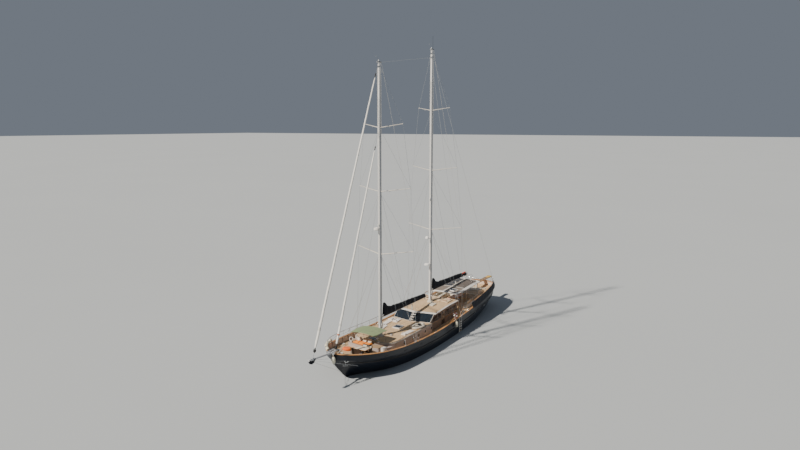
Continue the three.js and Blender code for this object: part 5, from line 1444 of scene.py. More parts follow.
# The jib's tack and clew are bundled below the roll in a white canvas wrap with an orange band over it.
tack_wrap = Form()
jib_foot, jib_head = HEADSAILS[1][1], HEADSAILS[1][2]
tack_wrap.turned([(0, 0), (0.075, 0.02), (0.095, 0.10), (0.105, 0.55), (0.085, 0.74), (0, 0.76)],
                 jib_foot.lerp(jib_head, 0.036), jib_head - jib_foot, 20)
tack_wrap.coat = 1
tack_wrap.turned([(0, 0), (0.105, 0.005), (0.130, 0.03), (0.130, 0.12), (0.105, 0.15), (0, 0.155)],
                 jib_foot.lerp(jib_head, 0.071), jib_head - jib_foot, 20)


def rust_canvas(start):
    """Orange brown canvas with a fine weave."""
    weave = start.place().cloud(200.0, 2.0)
    fade = start.place().cloud(4.0, 3.0)
    return {"Base Color": fade.mix((0.36, 0.10, 0.035), (0.52, 0.17, 0.06)), "Roughness": weave * 0.1 + 0.8,
            "Normal": weave.raised(0.001)}


rust_cloth = finish("rust_canvas", {}, rust_canvas)
made = tack_wrap.piece("jib_tack_wrap", [sailcloth, rust_cloth], slot="orange_cloth")


# Booms. Painted aluminium spars under their covers, each with an end cap, a topping lift to the crane
# above its hinge, lazy jacks, and the mainsheet blocks made up underneath.
BOOM_BACK = 0.37                    # from the mast's middle to the hinge
BOOM_HIGH = 0.15
BOOM_WIDE = 0.095
BOOM_REACH = {"fore": 9.35, "main": 9.75}
COVER_SHAPE = {"fore": ((0.15, 1.38, 0.10), (0.45, 1.22, 0.13), (1.1, 0.74, 0.17), (2.4, 0.56, 0.175),
                        (6.0, 0.40, 0.15), (9.1, 0.22, 0.10)),
               "main": ((0.15, 1.33, 0.10), (0.45, 1.17, 0.13), (1.1, 0.68, 0.17), (2.4, 0.54, 0.175),
                        (6.5, 0.37, 0.15), (9.3, 0.20, 0.10))}
FLAKE = 0.80                        # from one lashing of the cover to the next
for name, (mast_x, mast_top, mast_foot, boom_z) in MASTS.items():
    body = "boom_" + name
    hinge = Vector((mast_x - BOOM_BACK, 0, boom_z))
    reach = BOOM_REACH[name]
    dressed(body, [grey_paint], smooth=50)
    gear = Form()
    gear.block((hinge.x - reach - 0.02, -0.075, boom_z - 0.125),
               (hinge.x - reach + 0.07, 0.075, boom_z + 0.125), 0.03)
    for k in (0.55, 0.66, 0.97):
        at = Vector((hinge.x - reach * k, 0, boom_z - BOOM_HIGH))
        gear.block((at.x - 0.05, -0.03, at.z - 0.05), (at.x + 0.05, 0.03, at.z + 0.012), 0.012)
        gear.turned([(0, -0.045), (0.06, -0.045), (0.072, -0.03), (0.072, 0.03), (0.06, 0.045), (0, 0.045)],
                    at + Vector((0, 0, -0.11)), (0, 1, 0), 18)
    for side in (1, -1):
        gear.tube([(hinge.x - 0.6, side * 0.088, boom_z - 0.02),
                   (hinge.x - reach + 0.6, side * 0.088, boom_z - 0.02)], 0.008, 6)
    gear.piece(body + "_fittings", [stainless], body=body, slot="steel")
    lines = Form()
    end = Vector((hinge.x - reach + 0.03, 0, boom_z + 0.12))
    lines.tube([end, (hinge.x, 0, mast_top + 0.02)], 0.009, 6)
    jack_top = Vector((hinge.x + 0.02, 0, mast_foot + (mast_top - mast_foot) * 0.44))
    for side in (1, -1):
        fork = Vector((hinge.x - reach * 0.30, side * 0.20, boom_z + 3.6))
        lines.tube([jack_top, fork], 0.006, 6)
        for k in (0.24, 0.48, 0.72):
            lines.tube([fork, (hinge.x - reach * k, side * 0.10, boom_z + 0.02)], 0.005, 6)
    coil = Vector((hinge.x - reach * 0.66, 0, boom_z - BOOM_HIGH - 0.42))
    for turn in range(4):
        lines.tube([coil + Vector((0.10 * math.sin(a), 0.022 * (turn - 1.5), 0.28 * math.cos(a)))
                    for a in around(18)], 0.011, 6, looped=True)
    lines.piece(body + "_lines", [rope], body=body)


    # The sail cover. One sheet of near-black canvas drawn over the flaked sail and laced under the boom,
    # so that it is pulled in at each lashing and stands up where the head of the sail is made fast to the
    # mast.
    shape = COVER_SHAPE[name]
    at_rows = faired([row[0] for row in shape], [row[1] for row in shape])
    wide_rows = faired([row[0] for row in shape], [row[2] for row in shape])
    first, last = shape[0][0], shape[-1][0]
    rows, cols = 150, 22
    points, faces = [], []
    for k in range(rows + 1):
        along = first + (last - first) * k / rows
        swell = abs(math.sin(math.pi * (along - first) / FLAKE)) ** 0.6
        high = at_rows(along) * (0.90 + 0.12 * swell) + 0.012 * noise.noise(Vector((along * 2.3, 4.0, 1.0)))
        wide = wide_rows(along) * (0.74 + 0.26 * swell)
        for i in range(cols + 1):
            t = i / cols
            if t < 0.12 or t > 0.88:
                edge = t / 0.12 if t < 0.12 else (1 - t) / 0.12
                y = (BOOM_WIDE + 0.018 + (wide - BOOM_WIDE) * 0.6 * edge) * (1 if t < 0.5 else -1)
                z = -0.04 + (0.04 + BOOM_HIGH * 0.75) * edge
            else:
                a = math.pi * (t - 0.12) / 0.76
                fold = 1 + 0.10 * noise.noise(Vector((along * 1.7, math.sin(a) * 3.0,
                                                      2.0 if t < 0.5 else 7.0)))
                full = math.copysign(abs(math.cos(a)) ** 0.62, math.cos(a))
                y = (wide * full * (1 - 0.42 * math.sin(a) ** 2)) * fold
                hem = (BOOM_WIDE + 0.018 - wide * 0.4) * 0.5 * (1 - math.sin(a))
                y += hem * math.copysign(1, math.cos(a)) * 0.2
                z = BOOM_HIGH * 0.75 + (high - BOOM_HIGH * 0.75 + BOOM_HIGH) * math.sin(a) ** 0.85
            points.append((hinge.x - along, y, boom_z + z))
    for k in range(rows):
        for i in range(cols):
            a = k * (cols + 1) + i
            faces.append([a, a + 1, a + cols + 2, a + cols + 1])
    cloth = Form()
    cloth.put(points, faces)
    cover = cloth.piece("sail_cover_" + name, [cover_cloth], body=body, slot="sail_cover", smooth=60,
                        replaces=["sail_" + name])
    thick = cover.modifiers.new("thickness", "SOLIDIFY")
    thick.thickness = 0.006
    thick.offset = 1.0
    smooth_cover = cover.modifiers.new("smooth", "SMOOTH")
    smooth_cover.factor = 0.5
    smooth_cover.iterations = 3
    round(last - first + 0.3, 2)
    lacing = Form()
    for k in range(1, int((last - first) / FLAKE)):
        along = first + FLAKE * k
        low_at = Vector((hinge.x - along, 0, boom_z))
        lacing.tube([low_at + Vector((0, (BOOM_WIDE + 0.03) * math.cos(a), -0.05 + 0.16 * math.sin(a)))
                     for a in (math.pi + math.pi * j / 10 for j in range(11))], 0.007, 6)
    lacing.piece("cover_lashings_" + name, [rope], body=body)


# The hardtop. A cambered white laminate on six stainless posts, with a rolled rim, beige non-slip panels,
# and a hatch of smoked acrylic in a white coaming.
dressed("hardtop", [white_paint], edge=0.010)
dressed("hardtop_frame", [stainless], smooth=50, edge=0.004)
TOP_FRONT, TOP_AFT = -4.95, -11.70
TOP_HALF, TOP_CAMBER, TOP_THICK = 2.08, 0.09, 0.09
TOP_LEVEL, TOP_RISE = 3.90, 0.03


def top_half(x):
    if x > -6.5:
        return TOP_HALF - 0.18 * (x + 6.5) / (TOP_FRONT + 6.5)
    return TOP_HALF - 0.15 * max(0.0, (-11.4 - x) / 0.3)


def hardtop_at(x, y):
    """Height of the hardtop's upper face."""
    return TOP_LEVEL + (TOP_FRONT - x) * TOP_RISE + TOP_CAMBER * (1 - (y / top_half(x)) ** 2)


def top_panel(form, x0, x1, y0, y1, proud):
    """A thin panel laid on the hardtop."""
    round_off = 0.01 if x0 > x1 else -0.01
    rings = []
    for k in range(9):
        y = y0 + (y1 - y0) * k / 8
        rings.append([(x, y, hardtop_at(at, y) + up) for x, at, up in
                      ((x0, x0, -0.01), (x1, x1, -0.01), (x1, x1, proud - 0.002),
                       (x1 + round_off, x1, proud), (x0 - round_off, x0, proud), (x0, x0, proud - 0.002))])
    form.loft(rings)


rim = Form()
for side in (1, -1):
    line = [(x, side * top_half(x), hardtop_at(x, top_half(x)) - TOP_THICK / 2) for x in
            [TOP_FRONT, -5.7, -6.5, -8.0, -9.5, -11.0, -11.4, TOP_AFT]]
    rim.tube(line, 0.047, 10)
for x in (TOP_FRONT, TOP_AFT):
    rim.tube([(x, top_half(x) * k / 8, hardtop_at(x, top_half(x) * k / 8) - TOP_THICK / 2)
              for k in range(-8, 9)], 0.047, 10)
rim.piece("hardtop_rim", [white_paint], slot="white_paint")


def nonslip(start):
    """Beige deck paint with a coarse sandy grain and grey footmarks."""
    place = start.place()
    grit = place.cloud(130.0, 2.0)
    marks = place.cloud(1.5, 5.0)
    return {"Base Color": marks.mix((0.175, 0.145, 0.125), (0.250, 0.210, 0.180)),
            "Roughness": grit * 0.1 + 0.78, "Normal": grit.raised(0.002)}


nonslip_paint = finish("nonslip_paint", {"Specular IOR Level": 0.3}, nonslip)
panels = Form()
for x0, x1, y0, y1 in ((-6.68, -7.45, 0.1, 1.75), (-5.25, -7.45, -1.7, -0.1), (-5.22, -5.58, 0.1, 1.60),
                       (-5.6, -6.65, 0.10, 0.38), (-5.6, -6.65, 1.32, 1.70)):
    top_panel(panels, x0, x1, y0, y1, 0.006)
panels.piece("hardtop_nonslip", [nonslip_paint], slot="white_paint")
hatch_lid("hardtop_hatch_pane", "hardtop_hatch_lid")
liner = Form()
for x in (-6.2, -8.0, -9.8):
    for y in (-1.0, 1.0):
        liner.turned([(0, 0), (0.055, 0), (0.06, -0.012), (0.04, -0.02), (0, -0.022)],
                     (x, y, hardtop_at(x, y) - TOP_THICK - 0.001), (0, 0, 1), 18)
liner.piece("hardtop_lamps", [lamp_glass])
bases = Form()
for x in (-5.25, -8.3, -11.4):
    for side in (1, -1):
        bases.turned([(0, -0.01), (0.085, -0.01), (0.085, 0.012), (0.05, 0.02), (0.045, 0.05), (0, 0.05)],
                     (x, side * 1.72, deck_level(x) + 0.003), (0, 0, 1), 18)
        bases.tube([(x, side * 1.72, hardtop_at(x, 0) - 0.62),
                    (x - 0.42, side * 1.72, hardtop_at(x, 0) - 0.21)], 0.022, 8)
bases.piece("hardtop_post_bases", [stainless], slot="steel")


# Solar panels. Eight panels in grey brown frames on rails above the hardtop: the port row is a grey brown
# film, and the starboard row is the same film painted near black as the shadow of the boom and its cover,
# both with fine lines between the cells.
CELLS = 6.4                         # in a metre


def cell_lines(start, wide_x, wide_y):
    """The lines between cells, as parts of a cell."""
    place = start.place()
    return place, start.math("MAXIMUM", start.math("FRACT", place.part("X") * CELLS) < wide_x,
                             start.math("FRACT", place.part("Y") * CELLS) < wide_y)


def cells(start):
    """Grey brown cells with darker lines between them, under dusty glass."""
    place, lines = cell_lines(start, 0.08, 0.07)
    dust = place.cloud(3.0, 4.0)
    film = dust.mix((0.120, 0.100, 0.088), (0.200, 0.170, 0.150))
    return {"Base Color": lines.mix(film, (0.060, 0.054, 0.050)), "Roughness": dust * 0.25 + 0.30}


def boom_shadow_cells(start):
    """Cells painted near black as the shadow of the boom and its cover, each a little different, with fine
    grey lines.
    """
    place, lines = cell_lines(start, 0.05, 0.05)
    film = place.cloud(3.0, 4.0).mix((0.016, 0.017, 0.022), (0.040, 0.042, 0.050))
    return {"Base Color": lines.mix(film, (0.150, 0.150, 0.155)), "Roughness": film * 0.5 + 0.22}


solar_film = finish("solar_cells", {"Specular IOR Level": 0.25}, cells)
boom_shadow_film = finish("boom_shadowed_solar_cells", {"Coat Weight": 0.3, "Coat Roughness": 0.1}, boom_shadow_cells)
PANEL_XS = (-8.05, -9.0, -9.95, -10.9)
PANEL_HALF = 0.42
PANEL_EDGE = (0.12, 1.65)           # from the middle line out
PANEL_UP = (0.12, 0.07)             # underside over the hardtop's edge line, at those two
# Grey brown frames, dusty on top
panel_frames = finish("anodised_frames", {"Specular IOR Level": 0.4},
                      clouded(3.0, 4.0, (0.115, 0.100, 0.090), (0.190, 0.168, 0.150), (0.2, 0.35)))
dressed("solar_panels", [panel_frames], smooth=30, edge=0.006)
film = Form()
for x in PANEL_XS:
    for side in (1, -1):
        # The starboard row takes the near-black cells, which are the boom's painted shadow.
        film.coat = (1 - side) // 2
        rings = []
        for t in (0.03, 0.97):
            y = side * (PANEL_EDGE[0] + (PANEL_EDGE[1] - PANEL_EDGE[0]) * t)
            up = PANEL_UP[0] + (PANEL_UP[1] - PANEL_UP[0]) * t + 0.035
            rings.append([(at, y, TOP_LEVEL + (TOP_FRONT - at) * TOP_RISE + up + proud)
                          for at, proud in ((x - PANEL_HALF + 0.035, -0.004),
                                            (x + PANEL_HALF - 0.035, -0.004),
                                            (x + PANEL_HALF - 0.035, 0.004),
                                            (x - PANEL_HALF + 0.035, 0.004))])
        film.loft(rings)
film.piece("solar_film", [solar_film, boom_shadow_film], slot="solar_cells")


# The cockpit. A settee of painted boards runs round three sides under the hardtop, each stretch with cream
# cushions in lengths, piped along their edges, and back cushions against the rail.
dressed("aft_settee", [white_paint], edge=0.014)
SEAT_UP = 0.42


def seat_level(x):
    fore, aft = (deck_level(end) + SEAT_UP for end in (-7.0, -11.2))
    return fore + (aft - fore) * (x + 7.0) / (-4.2)


def cushion(form, low, high, lean=None, soft=0.045, crown=0.035, pull=0.012, step=0.10):
    """A boxed cushion: flat below, crowned above, with piped edges that pull in between the corners."""
    low, high = Vector(low), Vector(high)
    half = (high - low) / 2
    place = Matrix.Translation((low + high) / 2) @ (lean.to_4x4() if lean else Matrix.Identity(4))
    soft = min(soft, min(half) * 0.9)

    def shaped(point):
        core = Vector([max(soft - h, min(h - soft, at)) for at, h in zip(point, half)])
        out = point - core
        point = core + (out.normalized() * soft if out.length > 1e-6 else out)
        across, along = 1 - (point.x / half.x) ** 2, 1 - (point.y / half.y) ** 2
        rise = crown * max(0.0, across) * max(0.0, along) if point.z > half.z - soft else 0.0
        return place @ Vector((point.x - pull * along * point.x / half.x,
                               point.y - pull * across * point.y / half.y, point.z + rise))

    lines = []
    for h in half:
        between = max(1, round(2 * (h - soft) / step))
        lines.append([-h, 0.5 * soft - h] + [(soft - h) * (1 - 2 * k / between) for k in range(between + 1)]
                     + [h - 0.5 * soft, h])
    for axis in range(3):
        u, v = (axis + 1) % 3, (axis + 2) % 3
        for way in (1, -1):
            grid = []
            for a in lines[u]:
                for b in lines[v]:
                    point = Vector((0, 0, 0))
                    point[axis], point[u], point[v] = way * half[axis], a, b
                    grid.append(shaped(point))
            wide = len(lines[v])
            form.put(grid, [[i * wide + j, (i + 1) * wide + j, (i + 1) * wide + j + 1,
                             i * wide + j + 1][::way]
                            for i in range(len(lines[u]) - 1) for j in range(wide - 1)])
    for level in (-half.z, half.z):
        edge = [Vector((x, -half.y, level)) for x in lines[0][1:-1]]
        edge += [Vector((half.x, y, level)) for y in lines[1][1:-1]]
        edge += [Vector((-p.x, -p.y, p.z)) for p in edge]
        form.tube([shaped(point) for point in edge], 0.008, 6, looped=True)


settee = Form()
for side in (1, -1):
    edges = [-7.02 - k * (3.60 / 4) for k in range(5)]
    for x1, x0 in zip(edges, edges[1:]):
        level = seat_level((x0 + x1) / 2)
        tilt = Matrix.Rotation(math.atan((seat_level(x1) - seat_level(x0)) / (x0 - x1)), 3, "Y")
        inner, outer = sorted((side * 1.90, side * 2.41))
        cushion(settee, (x0 + 0.008, inner, level + 0.004), (x1 - 0.008, outer, level + 0.128), tilt)
edges = [-2.40 + k * 1.2 for k in range(5)]
for y0, y1 in zip(edges, edges[1:]):
    level = seat_level(-10.92)
    cushion(settee, (-11.17, y0 + 0.008, level + 0.004), (-10.67, y1 - 0.008, level + 0.128))
made = settee.piece("settee_cushions_piped", [cream_cloth], slot="cream_cloth",
                    replaces=["settee_cushions"], smooth=60)
backs = Form()
for side in (1, -1):
    edges = [-7.05 - k * 0.90 for k in range(5)]
    for x1, x0 in zip(edges, edges[1:]):
        level = seat_level((x0 + x1) / 2) + 0.13
        inner, outer = sorted((side * 2.30, side * 2.43))
        cushion(backs, (x0 + 0.03, inner, level), (x1 - 0.03, outer, level + 0.34),
                Matrix.Rotation(side * math.radians(-9), 3, "X"), soft=0.04, crown=0.0)
made = backs.piece("settee_back_cushions", [cream_cloth], slot="cream_cloth", smooth=60)
settee_trim = Form()
for side in (1, -1):
    y = side * 1.872
    inner, outer = sorted((y, y - side * 0.02))
    settee_trim.block((-10.62, inner, seat_level(-10.6) - 0.16), (-7.02, outer, seat_level(-7.0) + 0.006),
                      0.008)
settee_trim.piece("settee_fascia", [varnished], slot="varnish")


# The table. A varnished top with a raised fiddle stands in the middle of the settee, on two turned legs
# with steel feet.
dressed("aft_table", [varnished], edge=0.012)
table_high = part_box("aft_table")[1].z
aft_table = Form()
for x0, x1, y0, y1 in ((-10.20, -7.60, 0.492, 0.52), (-10.20, -7.60, -0.52, -0.492),
                       (-10.20, -10.172, -0.52, 0.52), (-7.628, -7.60, -0.52, 0.52)):
    aft_table.block((x0, y0, table_high - 0.05), (x1, y1, table_high + 0.022), 0.008)
aft_table.coat = 1
for x in (-9.7, -8.1):
    aft_table.turned([(0, 0), (0.17, 0), (0.17, 0.012), (0.10, 0.03), (0.075, 0.09), (0, 0.09)],
                     (x, 0, deck_level(x) + 0.003), (0, 0, 1), 20)
aft_table.piece("table_fiddles_and_feet", [varnished, stainless], slot="varnish")


# The helm. A white console with a sloped dash of instruments, throttle levers and a compass, and a wooden
# wheel with six spokes and turned handles on a bronze hub.
dressed("helm_console", [white_paint], edge=0.02)
dressed("helm_wheel", [varnished], smooth=50)
dash = Form()
slope = Matrix.Rotation(-math.atan2(0.14, 0.35), 3, "Y")
for y, wide in ((-1.18, 0.24), (-0.90, 0.20), (-0.63, 0.22)):
    dash.block((-5.50, y - wide / 2, 2.565), (-5.30, y + wide / 2, 2.60), 0.008, slope)
dash.coat = 1
for y in (-1.0, -0.8):
    dash.turned([(0, 0), (0.045, 0), (0.045, 0.02), (0, 0.022)], (-5.53, y, 2.53), (-0.37, 0, 0.93), 16)
dash.coat = 2
dash.turned([(0, 0), (0.09, 0), (0.09, 0.05), (0.075, 0.09), (0.04, 0.115), (0, 0.12)],
            (-5.22, -0.90, 2.64), (0, 0, 1), 24)
for y in (-1.27, -1.22):
    dash.tube([(-5.42, y, 2.55), (-5.46, y, 2.70)], 0.010, 8)
    dash.turned([(0, -0.03), (0.022, -0.02), (0.022, 0.02), (0, 0.03)], (-5.465, y, 2.715), (0, 1, 0), 12)
dash.piece("helm_instruments", [glass, black_metal, stainless], slot="window_glass")
wheel_at = Vector((-5.73, -0.90, 2.33))
handles = Form()
for k in range(6):
    a = math.pi / 3 * k
    out = Vector((0, math.cos(a), math.sin(a)))
    handles.turned([(0, 0), (0.012, 0), (0.021, 0.035), (0.024, 0.07), (0.016, 0.10), (0, 0.11)],
                   wheel_at + out * 0.42, out, 12)
handles.coat = 1
handles.turned([(0, -0.052), (0.07, -0.05), (0.07, 0.03), (0.05, 0.05), (0, 0.052)], wheel_at, (1, 0, 0),
               20)
handles.piece("helm_wheel_handles", [varnished, bronze], body="helm_wheel", slot="varnish")


# The after sunbed. Three thick pads lie on a painted box by the transom. Their cloth is blown up by its
# filling, so it swells and creases between the piped edges.
SWELL_FRAMES = 20
SWELL_PRESS = 4.0
SWELL_MOST = 0.022                  # no point goes further out


def swelled(made, pads):
    """Fills a pad: its cloth swells under pressure, held along its edges and by rows of stitches."""
    made.data.update()
    held = made.vertex_groups.new(name="stitched")
    for vertex in made.data.vertices:
        low, high, rows = min(pads, key=lambda pad: sum(max(pad[0][k] - vertex.co[k], 0,
                                                            vertex.co[k] - pad[1][k]) for k in range(3)))
        from_edge = min(vertex.co.x - low[0], high[0] - vertex.co.x, vertex.co.y - low[1],
                        high[1] - vertex.co.y)
        sewn = rows and abs((vertex.co[rows[0]] - low[rows[0]]) % rows[1] - rows[1] / 2) < 0.02
        if from_edge < 0.03 or vertex.co.z < (low[2] + high[2]) / 2 or sewn:
            held.add([vertex.index], 1.0, "REPLACE")
    rest = [vertex.co.copy() for vertex in made.data.vertices]
    cloth = made.modifiers.new("filling", "CLOTH")
    cloth.settings.use_pressure = True
    cloth.settings.uniform_pressure_force = SWELL_PRESS
    cloth.settings.vertex_group_mass = held.name
    cloth.settings.effector_weights.gravity = 0
    cloth.settings.quality = 4
    cloth.collision_settings.use_collision = False
    for step in range(1, SWELL_FRAMES + 1):
        bpy.context.scene.frame_set(step)
    filled = made.evaluated_get(bpy.context.evaluated_depsgraph_get())
    moved = [vertex.co.copy() for vertex in filled.data.vertices]
    made.modifiers.remove(cloth)
    for vertex, before, after in zip(made.data.vertices, rest, moved):
        by = after - before
        vertex.co = before + (by * min(1.0, SWELL_MOST / by.length) if by.length > 1e-9 else by)
    bpy.context.scene.frame_set(1)
    made.data.update()
    return made


sunbed_box = Form()
rings = []
for x in (-12.50, -12.8, -13.2, -13.6, -13.9):
    foot, top = deck_level(x) + 0.002, seat_level(x)
    rings.append([(x, y, z) for y, z in ((-1.40, foot), (1.40, foot), (1.40, top - 0.02), (1.38, top),
                                         (-1.38, top), (-1.40, top - 0.02))])
sunbed_box.loft(rings)
sunbed_box.piece("sunbed_box", [white_paint], slot="white_paint", replaces=["aft_sunbed"])
sunbed = Form()
sunbed_tilt = Matrix.Rotation(-math.atan((seat_level(-12.5) - seat_level(-13.9)) / 1.4), 3, "Y")
sunbed_pads = []
for k in range(3):
    low = (-13.88, -1.40 + k * 0.9333 + 0.008, seat_level(-13.2) + 0.006)
    high = (-12.52, -1.40 + k * 0.9333 + 0.925, seat_level(-13.2) + 0.126)
    cushion(sunbed, low, high, sunbed_tilt, crown=0.02, step=0.045)
    sunbed_pads.append((low, high, (0, 0.34)))
made = sunbed.piece("sunbed_pads", [cream_cloth], slot="cream_cloth", smooth=60)
swelled(made, sunbed_pads)


# Foredeck seat. A painted bench wraps the fore end of the trunk, with slatted teak on top, a bright orange
# pad with loose cushions on it to starboard, and an orange bean bag on the deck.
BENCH_EDGE = [(10.50, 2.50), (11.65, 2.15), (11.93, 1.10), (12.02, 0.0)]
BENCH_TOP = deck_level(11.4) + 0.42
# The bench takes the trunk's grey pink, made paler as painted bounce light.
dressed("foredeck_bench", [bounce_lit_trunk_paint], edge=0.015)
bench_slats = Form()
SLAT_SHAPE = ((-0.055, -0.004), (0.055, -0.004), (0.055, 0.010), (-0.055, 0.010))
trunk_front = faired([p[1] for p in reversed(TRUNK_EDGE)][:4], [p[0] for p in reversed(TRUNK_EDGE)][:4])
for inward in (0.06, 0.20, 0.34, 0.48, 0.62, 0.76, 0.90):
    line = []
    for k in range(41):
        y = 2.10 * (k / 20 - 1)
        n = 0 if abs(y) > 2.15 else 1 if abs(y) > 1.10 else 2
        (x0, y0), (x1, y1) = BENCH_EDGE[n], BENCH_EDGE[n + 1]
        x = x0 + (x1 - x0) * (abs(y) - y0) / (y1 - y0) - inward
        if x - 0.055 > trunk_front(abs(y)) + 0.03:
            line.append((x, y))
    if len(line) > 3 and all(b[1] - a[1] < 0.2 for a, b in zip(line, line[1:])):
        bench_slats.loft([[(x + half, y, BENCH_TOP + up) for half, up in SLAT_SHAPE] for x, y in line])
bench_slats.piece("foredeck_bench_slats", [margin_teak], slot="teak")


# Bright orange outdoor cloth, a little bleached on top
orange_cloth = finish("orange_cloth", {"Sheen Weight": 0.15},
                      woven(FLAT, 220.0, 2.2, (0.80, 0.200, 0.006), (0.95, 0.330, 0.020), 0.8, (0.5, 0.5),
                            0.004))
# The bean bag's redder cloth, darker in its folds
coral_cloth = finish("coral_cloth", {"Sheen Weight": 0.15},
                     clouded(3.0, 5.0, (0.70, 0.110, 0.015), (0.86, 0.190, 0.035), (0.1, 0.78), 0.02))
bench_pad = Form()
bench_pads = []
for y1, y0, x1 in ((0.44, -0.22, 11.84), (-0.24, -0.89, 11.80), (-0.91, -1.55, 11.72)):
    low, high = (11.03, y0 + 0.006, BENCH_TOP + 0.014), (x1, y1 - 0.006, BENCH_TOP + 0.125)
    cushion(bench_pad, low, high, crown=0.02, step=0.045)
    bench_pads.append((low, high, None))
made = bench_pad.piece("bench_pad", [orange_cloth], slot="orange_cloth", replaces=["bench_cushion"],
                       smooth=60)
swelled(made, bench_pads)
loose = Form()
for y, turn, x in ((0.16, 10, 11.12), (-0.42, -8, 11.13), (-1.12, 14, 11.12)):
    lean = Matrix.Rotation(math.radians(-24), 3, "Y") @ Matrix.Rotation(math.radians(turn), 3, "X")
    cushion(loose, (x - 0.06, y - 0.23, BENCH_TOP + 0.15), (x + 0.07, y + 0.23, BENCH_TOP + 0.53), lean,
            soft=0.05, crown=0.0, pull=0.03, step=0.06)
made = loose.piece("loose_cushions", [cream_cloth], slot="cream_cloth", smooth=60)
BAG_AT = Vector((13.20, -1.18, 0))
bag = Form()
rings = []
for radius, up in ((0.20, 0.0), (0.40, 0.004), (0.465, 0.05), (0.48, 0.12), (0.465, 0.19), (0.41, 0.25),
                   (0.33, 0.285), (0.24, 0.30), (0.14, 0.31), (0.05, 0.325)):
    ring = []
    for a in around(48):
        crease = noise.noise(Vector((math.cos(a) * 2, math.sin(a) * 2, up * 6)))
        fold = 1 - 0.035 * math.cos(6 * a) ** 8 - 0.025 * crease
        sag = -0.05 * max(0.0, 1 - radius / 0.40) * (1 + 0.5 * math.cos(a - 0.8)) if up > 0.22 else 0.0
        ring.append((BAG_AT.x + radius * fold * math.cos(a), BAG_AT.y + radius * fold * math.sin(a),
                     deck_level(BAG_AT.x + radius * math.cos(a)) + 0.006 + up + sag))
    rings.append(ring)
bag.loft(rings)
for k in range(6):
    a = math.pi / 3 * k
    i = round(48 * k / 6)
    bag.tube([Vector(ring[i]) + Vector((math.cos(a), math.sin(a), 0.2)) * 0.002 for ring in rings[1:]],
             0.007, 6)
bag.tube([(BAG_AT.x, BAG_AT.y, rings[-1][0][2] - 0.03), (BAG_AT.x + 0.02, BAG_AT.y, rings[-1][0][2] + 0.03),
          (BAG_AT.x + 0.08, BAG_AT.y + 0.02, rings[-1][0][2] + 0.03),
          (BAG_AT.x + 0.12, BAG_AT.y + 0.03, rings[-1][0][2] - 0.01)], 0.010, 6)
made = bag.piece("beanbag_sack", [coral_cloth], slot="orange_cloth", replaces=["beanbag"], smooth=70)


# Foredeck table and chairs. The table's top is cream laminate in a varnished border. The chairs are dark
# wicker on a frame, two seats wide, with cream seat pads and rolled rims.
cream_laminate = finish("cream_laminate", {}, clouded(7.0, 4.0, (0.62, 0.53, 0.42), (0.74, 0.66, 0.54),
                                                      (0.2, 0.35)))
dressed("foredeck_table", [varnished], edge=0.012)
low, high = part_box("foredeck_table")
top = Form()
top.block((low.x + 0.05, low.y + 0.05, high.z - 0.012), (high.x - 0.05, high.y - 0.05, high.z + 0.006),
          0.006)
top.coat = 1
top.turned([(0, 0), (0.17, 0), (0.17, 0.012), (0.09, 0.03), (0.07, 0.08), (0, 0.08)],
           (13.75, 1.05, deck_level(13.75) + 0.003), (0, 0, 1), 20)
top.piece("foredeck_table_panel", [cream_laminate, stainless], slot="varnish")


def wicker(start):
    """Dark brown woven rattan: crossing strands, darker where they dip."""
    place = start.place()
    along = start.math("SINE", place.part("Y") * 190.0)
    up = start.math("SINE", (place.part("Z") + place.part("X")) * 190.0)
    weave = along * up * 0.5 + 0.5
    return {"Base Color": weave.mix((0.012, 0.007, 0.005), (0.060, 0.034, 0.022)),
            "Roughness": weave * 0.2 + 0.45, "Normal": weave.raised(0.004)}


